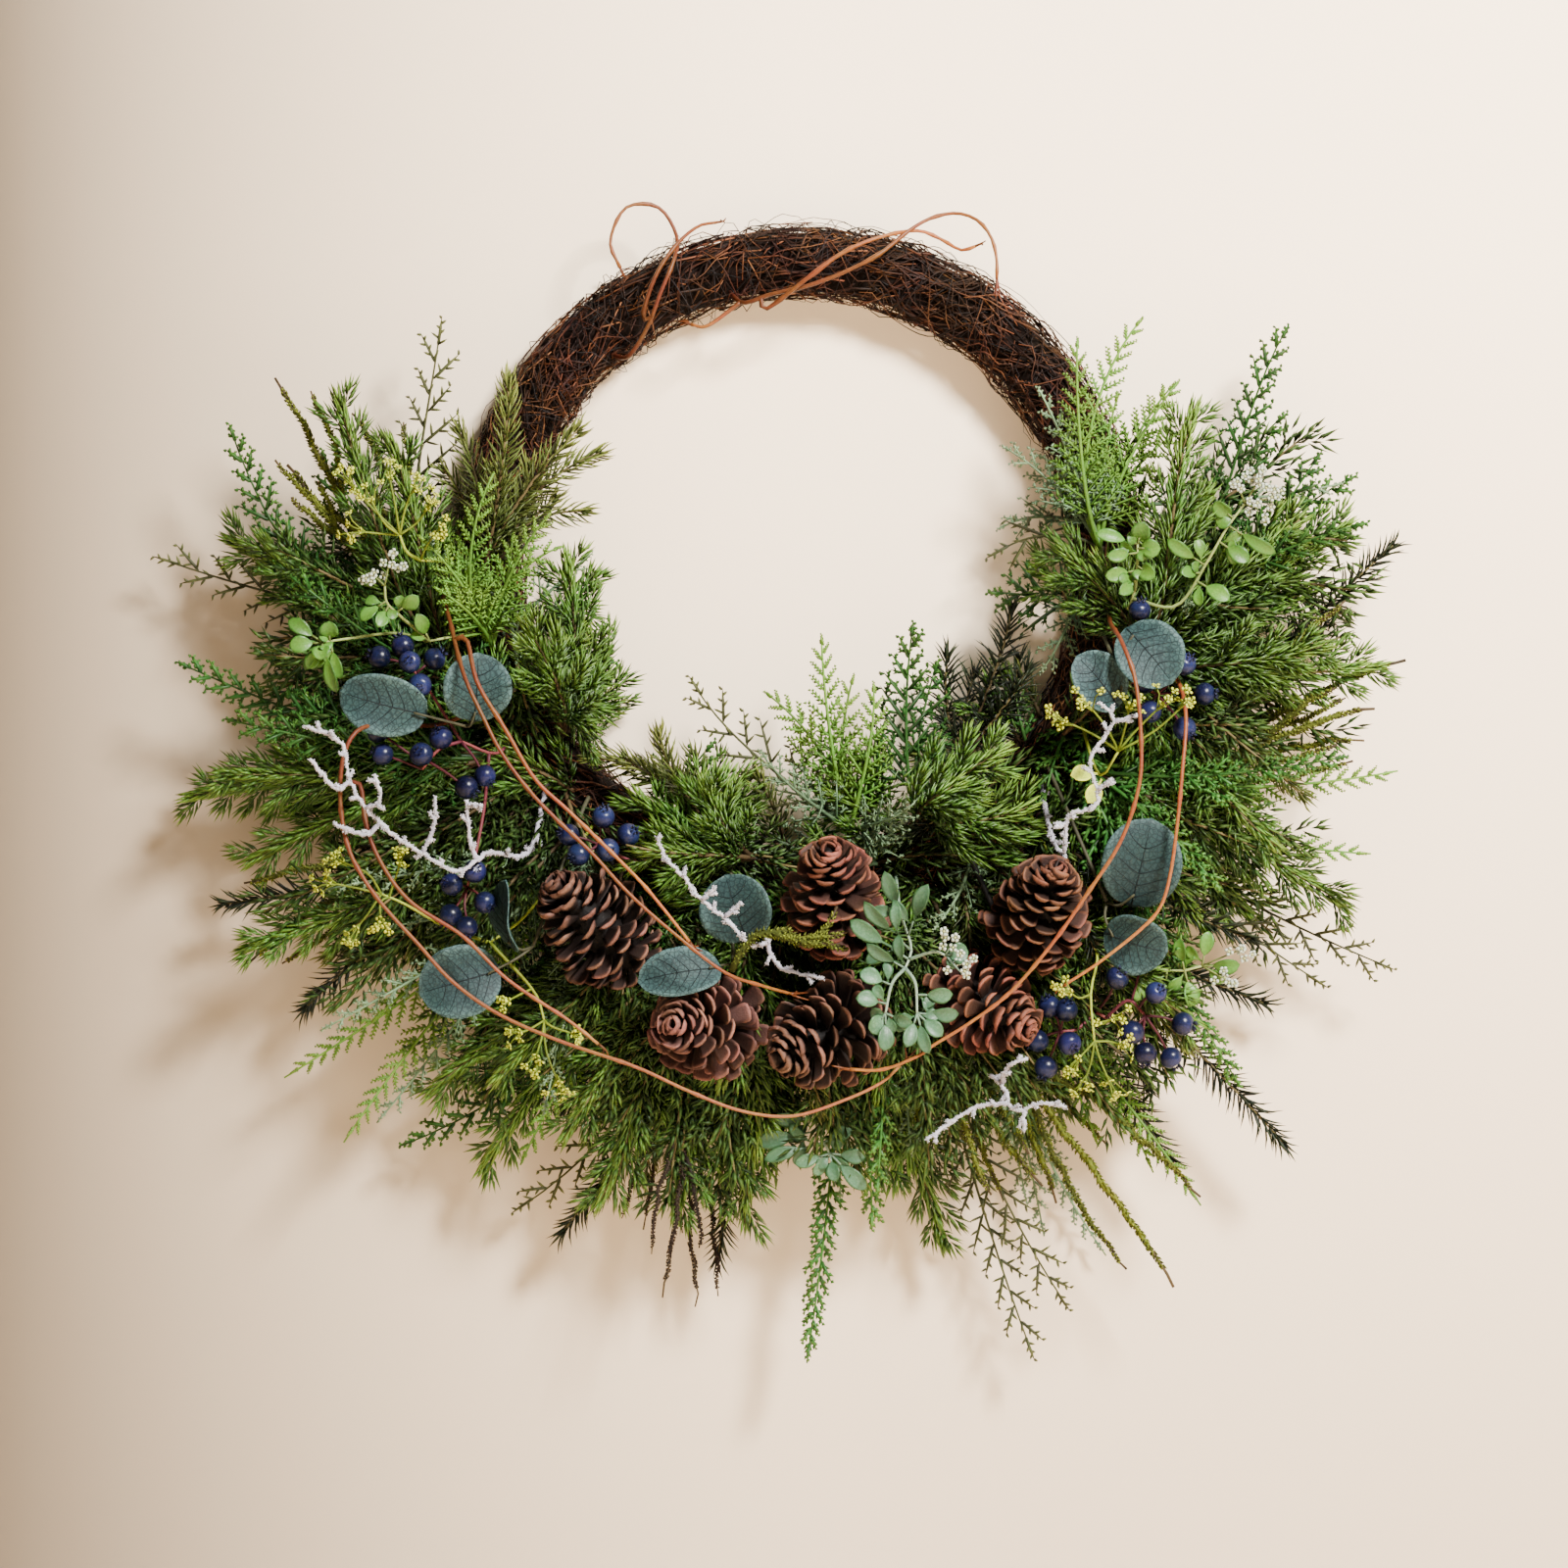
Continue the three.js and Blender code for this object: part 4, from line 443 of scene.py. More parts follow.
             "floret", [161, -94, 112], [175, -84, 118], [200, -85, 122], [220, -84, 116],
             [235, -82, 122]
         ),
         *ends("leaf", [166, -126, 108], [176, -143, 104]),
     ]]],
]
# Mossy twigs that lie over a spray.
MOSS_SPURS = {
    "flocked_centre": [
        [-41, -245, 110], [-30, -226, 116], [-10, -221, 118], [2, -231, 118], [14, -224, 118],
        [23, -206, 116],
    ],
}


def unit(vectors):
    return vectors / np.maximum(np.linalg.norm(vectors, axis=-1, keepdims=True), 1e-9)


def place(spot):
    """A place of the lists, measured from the wreath's origin."""
    return np.array([spot[0], -spot[2], spot[1] - RING_RADIUS], dtype=float)


def mixed(a, b, share):
    return a + (b - a) * share


def level_way(angle):
    """The way at an angle in the plane of the wreath."""
    return np.array([math.cos(angle), 0.0, math.sin(angle)])


def swung(way, angle):
    """A way turned in the plane of the wreath."""
    c, s = math.cos(angle), math.sin(angle)
    return np.array([way[0] * c - way[2] * s, way[1], way[0] * s + way[2] * c])


def in_turn(k):
    """One side and then the other."""
    return 1 if k % 2 else -1


def draws(name):
    """A seeded source of random draws for one piece."""
    return np.random.default_rng(sum((k + 1) * ord(letter) for k, letter in enumerate(name)))


def ring_frame(turn, round_tube):
    """The middle of the ring's tube at a turn, and the way out of it, both angles in degrees."""
    outward = level_way(math.radians(turn))
    round_tube = math.radians(round_tube)
    normal = outward * math.cos(round_tube) + VIEWER * math.sin(round_tube)
    return outward * RING_RADIUS + np.array([0.0, -RING_DEPTH, -RING_RADIUS]), normal


def node_points(node):
    """The corners of a node's solid, in millimetres."""
    mesh = frame["nodes"][node].data
    flat = np.empty(len(mesh.vertices) * 3)
    mesh.vertices.foreach_get("co", flat)
    return flat.reshape(-1, 3) / MM


class Growth:
    """Points and faces of one piece, gathered in millimetres."""

    def __init__(self):
        self.points, self.faces, self.tints, self.tones, self.kinds = [], [], [], [], []
        self.count = 0

    def add(self, points, faces, tint, tone, kind=0):
        total = len(points)
        self.points.append(np.asarray(points, dtype=float))
        self.faces.append(np.asarray(faces, dtype=int) + self.count)
        self.tints.append(np.broadcast_to(tint, total))
        self.tones.append(np.broadcast_to(tone, total))
        self.kinds.append(np.broadcast_to(kind, len(faces)))
        self.count += total

    def piece(self, node, suffix, *looks):
        """Makes the piece in its finishes; it rides on the wreath and stands for the node."""
        name, slot = node + suffix, SLOTS[node]
        points = np.concatenate(self.points) * MM
        faces = np.concatenate(self.faces)
        mesh = bpy.data.meshes.new(name)
        mesh.vertices.add(len(points))
        mesh.vertices.foreach_set("co", points.ravel())
        mesh.loops.add(faces.size)
        mesh.loops.foreach_set("vertex_index", faces.ravel())
        mesh.polygons.add(len(faces))
        mesh.polygons.foreach_set("loop_start", np.arange(0, faces.size, 3))
        mesh.polygons.foreach_set("material_index", np.concatenate(self.kinds).astype(int))
        mesh.polygons.foreach_set("use_smooth", np.ones(len(faces), dtype=bool))
        mesh.update(calc_edges=True)
        for title, values in (("tint", self.tints), ("tone", self.tones)):
            layer = mesh.attributes.new(title, "FLOAT", "POINT")
            layer.data.foreach_set("value", np.concatenate(values).astype(np.float32))
        for look in looks:
            mesh.materials.append(finish(look))
        made = bpy.data.objects.new(name, mesh)
        bpy.context.scene.collection.objects.link(made)
        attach(made, "root")
        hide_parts(node)


def band(low, high, sides):
    """Faces between two rings of points, whose first points have these numbers."""
    made = []
    for s in range(sides):
        n = (s + 1) % sides
        made += [(low + s, low + n, high + n), (low + s, high + n, high + s)]
    return made


# Spikes are rows of numbers in stem space: base, tip and bend as u along the stem, v to its side
# and w towards the viewer, then width, tint at the base, tint at the tip, finish, and form.
BASE, TIP, BEND = slice(0, 3), slice(3, 6), slice(6, 9)
WIDTH, LOW, HIGH, KIND, FORM = 9, 10, 11, 12, 13
# A needle is widest near its foot; a twig keeps its thickness between two shares of its length.
NEEDLE, TWIG = 0, 1
NEEDLE_WIDEST = 0.34
NEEDLE_ROLL = 1.6
NEEDLE_RIDGE = 0.5
TWIG_LAYERS = ((0.12, 1.0), (0.62, 0.9))
CORNERS = (0.0, 2 * math.pi / 3, 4 * math.pi / 3)
GOLDEN = math.pi * (3 - math.sqrt(5))


def rows(base, tip, width, low=0.0, high=1.0, bend=0.0, kind=0, form=NEEDLE):
    made = np.zeros((len(base), 14))
    made[:, FORM] = form
    made[:, BASE], made[:, TIP], made[:, BEND] = base, tip, bend
    made[:, WIDTH], made[:, LOW], made[:, HIGH], made[:, KIND] = width, low, high, kind
    return made


def turned(pattern, angle=0.0, lift=0.0, scale=1.0, at=(0.0, 0.0, 0.0)):
    """A pattern scaled, swung to the side and towards the viewer, and set at a place."""
    swing, tilt = math.radians(angle), math.radians(lift)
    across = np.array([[math.cos(swing), math.sin(swing), 0],
                       [-math.sin(swing), math.cos(swing), 0], [0, 0, 1]])
    up = np.array([[math.cos(tilt), 0, math.sin(tilt)], [0, 1, 0],
                   [-math.sin(tilt), 0, math.cos(tilt)]])
    moved = pattern.copy()
    for part in (BASE, TIP, BEND):
        moved[:, part] = (pattern[:, part] * scale) @ up @ across
    moved[:, BASE] += at
    moved[:, TIP] += at
    return moved


def needle_shape(pattern, side, up, half):
    """Points and faces of closed blades with a ridge to the viewer."""
    base, tip, low, high = pattern[:, BASE], pattern[:, TIP], pattern[:, LOW], pattern[:, HIGH]
    middle = mixed(base, tip, NEEDLE_WIDEST) + pattern[:, BEND] + up * half * NEEDLE_RIDGE
    points = np.stack([base, middle + side * half, middle - side * half, tip], axis=1)
    widest = mixed(low, high, NEEDLE_WIDEST)
    tints = np.stack([low, widest, widest, high], axis=1)
    return points, tints, [(0, 2, 1), (3, 1, 2), (0, 3, 2), (0, 1, 3)]


def twig_shape(pattern, side, up, half):
    """Points and faces of closed twigs of three sides."""
    base, tip, low, high = pattern[:, BASE], pattern[:, TIP], pattern[:, LOW], pattern[:, HIGH]
    points, tints = [base[:, None, :]], [low[:, None]]
    for share, full in TWIG_LAYERS:
        middle = mixed(base, tip, share) + pattern[:, BEND] * 4 * share * (1 - share)
        around = [middle + half * full * (math.cos(a) * side + math.sin(a) * up) for a in CORNERS]
        points.append(np.stack(around, axis=1))
        tints.append(np.repeat(mixed(low, high, share)[:, None], 3, axis=1))
    faces = []
    for c in range(3):
        n = (c + 1) % 3
        faces += [(0, 1 + c, 1 + n), (1 + c, 4 + n, 1 + n), (1 + c, 4 + c, 4 + n),
                  (4 + c, 7, 4 + n)]
    points = np.concatenate(points + [tip[:, None, :]], axis=1)
    return points, np.concatenate(tints + [high[:, None]], axis=1), faces


def add_spikes(growth, every, every_tone):
    """Closed slender spikes, one to a row of a pattern, their flat side mostly to the viewer."""
    for form, shape in ((NEEDLE, needle_shape), (TWIG, twig_shape)):
        here = every[:, FORM] == form
        pattern, tones = every[here], every_tone[here]
        if not len(pattern):
            continue
        axis = unit(pattern[:, TIP] - pattern[:, BASE])
        flat = unit(np.cross(axis, VIEWER + [0.0, 0.0, 0.01]))
        roll = ((tones - 0.5) * NEEDLE_ROLL)[:, None]
        raised = np.cross(flat, axis)
        side = flat * np.cos(roll) + raised * np.sin(roll)
        up = raised * np.cos(roll) - flat * np.sin(roll)
        points, tints, faces = shape(pattern, side, up, pattern[:, WIDTH:WIDTH + 1] / 2)
        each = points.shape[1]
        starts = (np.arange(len(pattern)) * each)[:, None, None]
        faces = (np.array(faces)[None] + starts).reshape(-1, 3)
        kinds = np.repeat(pattern[:, KIND], len(faces) // len(pattern))
        tones = np.repeat(tones, each)
        growth.add(points.reshape(-1, 3), faces, tints.ravel(), tones, kinds)


def add_tubes(growth, paths, radii, sides=5, tint=0.0, tone=0.0, kind=0):
    """Closed tubes along paths (tubes, places, 3) with radii (tubes, places)."""
    paths = np.asarray(paths, dtype=float)
    count, places = paths.shape[:2]
    radii = np.broadcast_to(radii, (count, places))
    along = unit(np.gradient(paths, axis=1))
    helper = np.where(np.abs(along[:, 0, 1:2]) > 0.7, [[1.0, 0.0, 0.0]], [[0.0, 1.0, 0.0]])
    side = unit(np.cross(along[:, 0], helper))
    rings, faces = [], []
    for k in range(places):
        side = unit(side - along[:, k] * np.sum(side * along[:, k], axis=1, keepdims=True))
        up = np.cross(along[:, k], side)
        for s in range(sides):
            angle = 2 * math.pi * s / sides
            out = math.cos(angle) * side + math.sin(angle) * up
            rings.append(paths[:, k] + radii[:, k:k + 1] * out)
    points = np.stack(rings, axis=1)
    for k in range(places - 1):
        faces += band(k * sides, (k + 1) * sides, sides)
    last = (places - 1) * sides
    for s in range(1, sides - 1):
        faces += [(0, s + 1, s), (last, last + s, last + s + 1)]
    starts = (np.arange(count) * places * sides)[:, None, None]
    faces = (np.array(faces)[None] + starts).reshape(-1, 3)
    if np.ndim(tint):
        tint = np.broadcast_to(np.asarray(tint, dtype=float), (count, places))
        tint = np.repeat(tint, sides, axis=1).ravel()
    tones = np.repeat(np.broadcast_to(tone, count), places * sides)
    growth.add(points.reshape(-1, 3), faces, tint, tones, kind)


def add_tube(growth, path, radius, sides=5, tint=0.0, tone=0.0, kind=0):
    """One closed tube, with a radius and a tint of its own at every place if they are arrays."""
    tint = tint[None] if np.ndim(tint) else tint
    radius = np.broadcast_to(radius, len(path))
    add_tubes(growth, path[None], radius[None], sides, tint, tone, kind)


class Line:
    """A smooth line, and at every place on it the ways along it, to its side and to the viewer."""

    def __init__(self, points):
        self.points = np.asarray(points, dtype=float)
        steps = np.linalg.norm(np.diff(self.points, axis=0), axis=1)
        self.at = np.concatenate([[0.0], np.cumsum(steps)])
        self.long = self.at[-1]
        self.along = unit(np.gradient(self.points, axis=0))
        up, ups = VIEWER, []
        for way in self.along:
            up = up * 0.3 + VIEWER * (1 - abs(way @ VIEWER))
            up = unit(up - way * (up @ way))
            ups.append(up)
        self.up = np.array(ups)
        self.side = np.cross(self.up, self.along)

    def values(self, table, u):
        return np.stack([np.interp(u, self.at, table[:, axis]) for axis in range(3)], axis=1)

    def mapped(self, spots):
        """Places of stem space in the wreath's frame."""
        inside = np.clip(spots[:, 0], 0, self.long)
        beyond = (spots[:, 0] - inside)[:, None]
        point = self.values(self.points, inside) + self.values(self.along, inside) * beyond
        return point + self.turned(spots, inside)

    def turned(self, spots, inside):
        side, up = self.values(self.side, inside), self.values(self.up, inside)
        return side * spots[:, 1:2] + up * spots[:, 2:3]

    def laid(self, pattern):
        """A pattern of stem space laid along this line."""
        moved = pattern.copy()
        moved[:, BASE], moved[:, TIP] = self.mapped(pattern[:, BASE]), self.mapped(pattern[:, TIP])
        middle = (pattern[:, BASE] + pattern[:, TIP]) / 2
        moved[:, BEND] = self.mapped(middle + pattern[:, BEND]) - self.mapped(middle)
        return moved

    def cut(self, low, high, places):
        """Evenly spaced places from one share of the line to another."""
        return self.values(self.points, np.linspace(low, high, places) * self.long)


def bezier(a, b, c, d, places=40):
    t = np.linspace(0, 1, places)[:, None]
    return a * (1 - t) ** 3 + b * 3 * t * (1 - t) ** 2 + c * 3 * t * t * (1 - t) + d * t ** 3


def smooth_path(points, places):
    """An even line through all of the points."""
    points = np.asarray(points, dtype=float)
    before, after = 2 * points[0] - points[1], 2 * points[-1] - points[-2]
    guides = np.concatenate([[before], points, [after]])
    fine = []
    for a, b, c, d in zip(guides, guides[1:], guides[2:], guides[3:]):
        t = np.linspace(0, 1, 12, endpoint=False)[:, None]
        fine.append(0.5 * (2 * b + (c - a) * t + (2 * a - 5 * b + 4 * c - d) * t ** 2
                           + (3 * b - a - 3 * c + d) * t ** 3))
    fine = np.concatenate(fine + [points[-1:]])
    at = np.concatenate([[0.0], np.cumsum(np.linalg.norm(np.diff(fine, axis=0), axis=1))])
    spots = np.linspace(0, at[-1], places)
    return np.stack([np.interp(spots, at, fine[:, axis]) for axis in range(3)], axis=1)


def shoot_line(knot, normal, tip, bow):
    """The line that a shoot follows from the knot of its pick to its tip, as in the model."""
    way = tip - knot
    long = np.linalg.norm(way)
    flat = unit(way * [1.0, 0.0, 1.0])
    bowed = np.array([-flat[2], 0.0, flat[0]]) * bow
    leave = knot + normal * long * 0.16 + way * 0.14 + bowed * 0.8
    arrive = tip - flat * long * 0.34 + bowed * 1.2
    return Line(bezier(knot, leave, arrive, tip))


def settled_line(knot, normal, shoot, solid, tree):
    """The line of the model's own shoot, found again from the corners of its solid."""
    _, x, z, off, bow = shoot
    tip = place([x, z, off])
    near = np.hypot(solid[:, 0] - tip[0], solid[:, 2] - tip[2]) < 0.7
    if near.any():
        depths = solid[near, 1]
        tip[1] = depths[np.argmin(np.abs(depths - tip[1]))]
    lines = [shoot_line(knot, normal, tip, bow + spread) for spread in SPREADS]

    def off_line(line):
        return sum(tree.find(spot)[2] for spot in line.cut(0.3, 0.95, 14))

    return min(lines, key=off_line)


def brush(rng, start, end, density, needle, lean, width, squash=1.0, bow=0.06, form=NEEDLE):
    """Needles all round a stem, which lean forward more towards its tip."""
    count = max(4, int((end - start) * density))
    share = (np.arange(count) + rng.random(count)) / count
    around = np.arange(count) * GOLDEN + rng.normal(0, 0.3, count)
    leans = np.radians(lean) * (1.1 - 0.6 * share ** 3) * rng.uniform(0.8, 1.2, count)
    reach = needle * np.minimum(1, 0.6 + 2 * share) * (1 - 0.3 * share ** 4)
    reach = reach * rng.uniform(0.8, 1.1, count)
    out = np.stack([np.zeros(count), np.cos(around), squash * np.sin(around)], axis=1)
    way = unit(np.cos(leans)[:, None] * [1.0, 0.0, 0.0] + np.sin(leans)[:, None] * out)
    base = out * 0.5 + (start + (end - start) * share)[:, None] * [1.0, 0.0, 0.0]
    tip = base + way * reach[:, None]
    return rows(base, tip, width, 0.3 * share, 0.3 + 0.7 * share, out * needle * bow, form=form)


def twiglet(rng, count, sub, angle, width, form=NEEDLE, fork=0.5, stem=1.1):
    """A side branch one unit long: its mid line, with short twigs to both sides, most forked."""
    share = (np.arange(count) + 0.7) / (count + 0.4)
    side = np.where(np.arange(count) % 2, 1.0, -1.0)
    length = (sub * (1.05 - 0.6 * share) * rng.uniform(0.75, 1.15, count))[:, None]
    turn = np.radians(angle) * rng.uniform(0.8, 1.2, count)
    base = np.stack([share, 0 * share, 0 * share], axis=1)
    way = unit(np.stack([np.cos(turn), side * np.sin(turn), rng.normal(0, 0.18, count)], axis=1))
    tip = base + way * length
    made = [
        rows(np.zeros((1, 3)), np.array([[1.0, 0.0, 0.0]]), width * stem, high=0.9, form=TWIG),
        rows(base, tip, width, low=0.35, form=form),
    ]
    for at, swing in ((0.4, 0.7), (0.55, -0.7)) if fork else ():
        start = mixed(base, tip, at)
        c, s = math.cos(swing), math.sin(swing)
        away = [way[:, 0] * c - way[:, 1] * s, way[:, 0] * s + way[:, 1] * c, way[:, 2]]
        away = np.stack(away, axis=1)
        made.append(rows(start, start + away * length * fork, width * 0.85, low=0.5))
    return np.concatenate(made)


def frond(rng, long, bare, spacing, reach, angle, twigs, lift=8.0, narrow=0.72, even=1.0):
    """A flat branch: side branches in turn to both sides, long low down and short at its tip."""
    made = []
    count = max(4, int((long - bare) / spacing))
    for k in range(count + 1):
        share = k / count
        size = reach * (1.05 - narrow * share) * (1 + even * rng.uniform(-0.2, 0.1))
        swing = in_turn(k) * angle * (1 + even * rng.uniform(-0.15, 0.15)) * (1 - 0.3 * share)
        spot = (bare + (long - bare) * share * 0.94, 0.0, 0.0)
        twig = turned(twigs[rng.integers(len(twigs))], swing if k < count else 0.0,
                      rng.normal(0, lift), size, spot)
        twig[:, LOW] = twig[:, LOW] * 0.5 + 0.2 * share
        twig[:, HIGH] = twig[:, HIGH] * (0.45 + 0.55 * share)
        made.append(twig)
    return np.concatenate(made)


def variants(name, count, sub, angle, width, **shape):
    """Five side branches of one kind."""
    rng = draws(name)
    return [twiglet(rng, count, sub, angle, width, **shape) for _ in range(5)]


CEDAR_TWIGS = variants("cedar", 6, 0.4, 42, 2.2, fork=0.45, stem=1.45)
LACE_TWIGS = variants("lace", 10, 0.3, 46, 1.9, fork=0.0, stem=1.0)
HAZE_TWIGS = variants("haze", 6, 0.33, 46, 1.6)
TRACERY_TWIGS = variants("tracery", 6, 0.32, 50, 2.0, form=TWIG, fork=0.0, stem=1.2)
FERN_TWIGS = variants("fern", 6, 0.42, 38, 2.7, fork=0.0)


def fir(rng, long, bare, full):
    return np.concatenate([
        brush(rng, bare, long, 1.2 * full, needle=18, lean=42, width=1.45, squash=0.6, bow=0.07,
              form=TWIG),
        brush(rng, long - 5, long, 1.6, needle=8, lean=20, width=1.6, bow=0.03),
    ])


def dark_fir(rng, long, bare, full):
    return np.concatenate([
        brush(rng, bare, long, 0.95 * full, needle=20, lean=62, width=1.55, squash=0.35,
              bow=-0.06, form=TWIG),
        brush(rng, bare, long, 0.5 * full, needle=6, lean=24, width=1.6, bow=0.0),
        brush(rng, long - 4, long, 1.6, needle=8, lean=22, width=1.6, bow=0.0),
    ])


def pine(rng, long, bare, full):
    made = [brush(rng, bare * 0.8, long, 1.7 * full, needle=16, lean=28, width=1.7)]
    count = max(3, int((long - bare) / (10.5 / full)))
    for k in range(count):
        share = k / count
        size = 45 * (1.0 - 0.62 * share) * rng.uniform(0.75, 1.15)
        swing = in_turn(k) * rng.uniform(24, 40)
        spot = (bare + (long - bare) * share, 0.0, 0.0)
        side = brush(rng, 2, size, 1.25 * full, needle=15, lean=28, width=1.65)
        side = turned(side, swing, rng.normal(0, 14), 1.0, spot)
        side[:, HIGH] = side[:, HIGH] * (0.55 + 0.45 * share)
        made.append(side)
    return np.concatenate(made)


def cedar(rng, long, bare, full):
    return frond(rng, long, bare, 7.0 / full, 40, 44, CEDAR_TWIGS, lift=12)


def frosted(rng, long, bare, full):
    return frond(rng, long, bare, 5.0 / full, 29, 48, LACE_TWIGS, lift=5, narrow=0.78, even=0.4)


def glaucous(rng, long, bare, full):
    return np.concatenate([
        frond(rng, long, bare, 6.4 / full, 29, 46, HAZE_TWIGS, lift=14),
        frond(rng, long * 0.9, bare, 13.0 / full, 22, 30, HAZE_TWIGS, lift=50),
    ])


def tracery(rng, long, bare, _):
    return frond(rng, long, bare, 10.5, 40, 44, TRACERY_TWIGS, narrow=0.55)


def fern(rng, long, bare, full):
    return frond(rng, long, bare, 4.8 / full, 24, 40, FERN_TWIGS, lift=18, narrow=0.55)


# Filler greenery behind the rest, in a dark colour that paints the shade there.
def shade(rng, long, bare, full):
    made = [brush(rng, bare, long, 0.6 * full, needle=18, lean=32, width=2.5)]
    count = max(3, int((long - bare) / 14))
    for k in range(count):
        share = k / count
        size = 44 * (1.0 - 0.5 * share) * rng.uniform(0.8, 1.15)
        spot = (bare + (long - bare) * share, 0.0, 0.0)
        side = brush(rng, 2, size, 0.5 * full, needle=15, lean=32, width=2.2)
        swing = in_turn(k) * rng.uniform(26, 44)
        made.append(turned(side, swing, rng.normal(0, 12), 1.0, spot))
    return np.concatenate(made)


# Each kind: how it grows, its stem's half thickness, how many lesser shoots keep it company, and
# whether its stem has its own colour.
KINDS = {
    "fir": (fir, 1.5, 1, True),
    "dark_fir": (dark_fir, 1.3, 1, True),
    "pine": (pine, 1.6, 1, True),
    "cedar": (cedar, 1.3, 1, False),
    "frosted": (frosted, 1.5, 1, False),
    "glaucous": (glaucous, 1.4, 1, False),
    "tracery": (tracery, 1.3, 0, False),
    "fern": (fern, 1.3, 1, False),
    "moss": (None, 2.1, 1, True),
    "twig": (None, 1.3, 1, True),
    "shade": (shade, 1.5, 0, True),
}
# The least length and the least share of a shoot that stay bare at its foot, and the places of
# its stem.
BARE_LENGTH = 14.0
BARE_SHARE = 0.16
SHOOT_PLACES = 14
# The share of a mossy twig that its coat covers.
MOSS_SHARE = 0.92
# The turns between which picks are fewer and farther apart, and so have more behind them.
LOW_TURNS = (222, 320)
# How many short shoots lie over the ring beside each pick, and how many shoots fan out behind
# it: to the outside at those turns, to the outside elsewhere, and to the inside.
COVERS = 3
LOW_SKIRT = 12
SKIRT = 5
INNER_SKIRT = 1
# The radius of a berry, and how far behind the middle of a cone, a leaf and a berry the needles
# in front of it are still taken away.
BERRY_RADIUS = 7.2
CONE_CLEARANCE = 12.0
LEAF_CLEARANCE = 3.0
BERRY_CLEARANCE = 5.0


class Keep:
    """What needles and leaflets stay clear of, seen from the front: cones, leaves and berries."""

    def __init__(self):
        self.discs = []

    def add(self, centre, along, half_long, half_wide, depth):
        flat = np.array([along[0], along[2]])
        flat = flat / max(np.linalg.norm(flat), 1e-9)
        self.discs.append((centre, flat, half_long, half_wide, depth))

    def clear(self, pattern):
        """The rows of a pattern that cover nothing kept, near their foot or at their tip."""
        good = np.ones(len(pattern), dtype=bool)
        for share in (0.3, 1.0):
            points = mixed(pattern[:, BASE], pattern[:, TIP], share)
            for centre, flat, half_long, half_wide, depth in self.discs:
                x, z = points[:, 0] - centre[0], points[:, 2] - centre[2]
                u, v = x * flat[0] + z * flat[1], x * flat[1] - z * flat[0]
                over = (u / half_long) ** 2 + (v / half_wide) ** 2 < 1
                good &= ~(over & (points[:, 1] < centre[1] + depth))
            x, z = points[:, 0], points[:, 2] + RING_RADIUS
            inside = (x > OPENING_X[0]) & (x < OPENING_X[1])
            inside &= (z > OPENING_Z[0]) & (z < OPENING_Z[1])
            good &= ~inside & (points[:, 1] < NEEDLE_LIMIT)
        return pattern[good]


def kept_clear():
    keep = Keep()
    for _, at, axis, long, wide, _, _ in CONES:
        way = unit(np.array([axis[0], -axis[1], axis[2]]))
        seen = math.hypot(way[0], way[2])
        half_long = long * 0.5 * seen + wide * 0.42 * (1 - seen)
        keep.add(place(at), way, half_long, wide * 0.43, CONE_CLEARANCE)
    for _, _, _, _, leaves in EUCALYPTUS:
        for base, tip, wide, roll in leaves:
            a, b = place(base), place(tip)
            half_wide = max(wide * 0.5 * abs(math.cos(math.radians(roll))), 8.0)
            half_long = np.linalg.norm(b - a) * 0.5
            keep.add((a + b) / 2, b - a, half_long, half_wide, LEAF_CLEARANCE)
    for _, _, _, _, branch in TREES:
        for spot in ends_of(branch, "berry"):
            keep.add(place(spot), (1.0, 0.0, 0.0), BERRY_RADIUS, BERRY_RADIUS, BERRY_CLEARANCE)
    return keep


def ends_of(branch, wanted):
    """The places of the ends of one kind on a branch."""
    kind, places, *kids = branch
    found = [places[0]] if kind == wanted else []
    for kid in kids[0] if kids else []:
        found += ends_of(kid, wanted)
    return found


def draw_shoot(growth, keep, rng, kind, line, index, full=1.0, bare=None):
    """A shoot of a kind along a line; index is its finish and full its density."""
    grow, half, _, woody = KINDS[kind]
    if grow is None:
        draw_moss(growth, rng, line, index, half * (0.7 + 0.3 * full), forks=2)
        return
    start = max(BARE_SHARE * line.long, BARE_LENGTH) if bare is None else bare
    pattern = line.laid(grow(rng, line.long, start, full))
    pattern[:, KIND] = index
    pattern = keep.clear(pattern)
    add_spikes(growth, pattern, rng.random(len(pattern)) * 0.6 + rng.random() * 0.4)
    share = np.linspace(0, 1, SHOOT_PLACES)
    thin = half * (1.15 - 0.75 * share)
    tint = share if woody else 0.15 + 0.35 * share
    add_tube(growth, line.cut(0, 1, SHOOT_PLACES), thin, tint=tint, tone=rng.random(),
             kind=0 if woody else index)


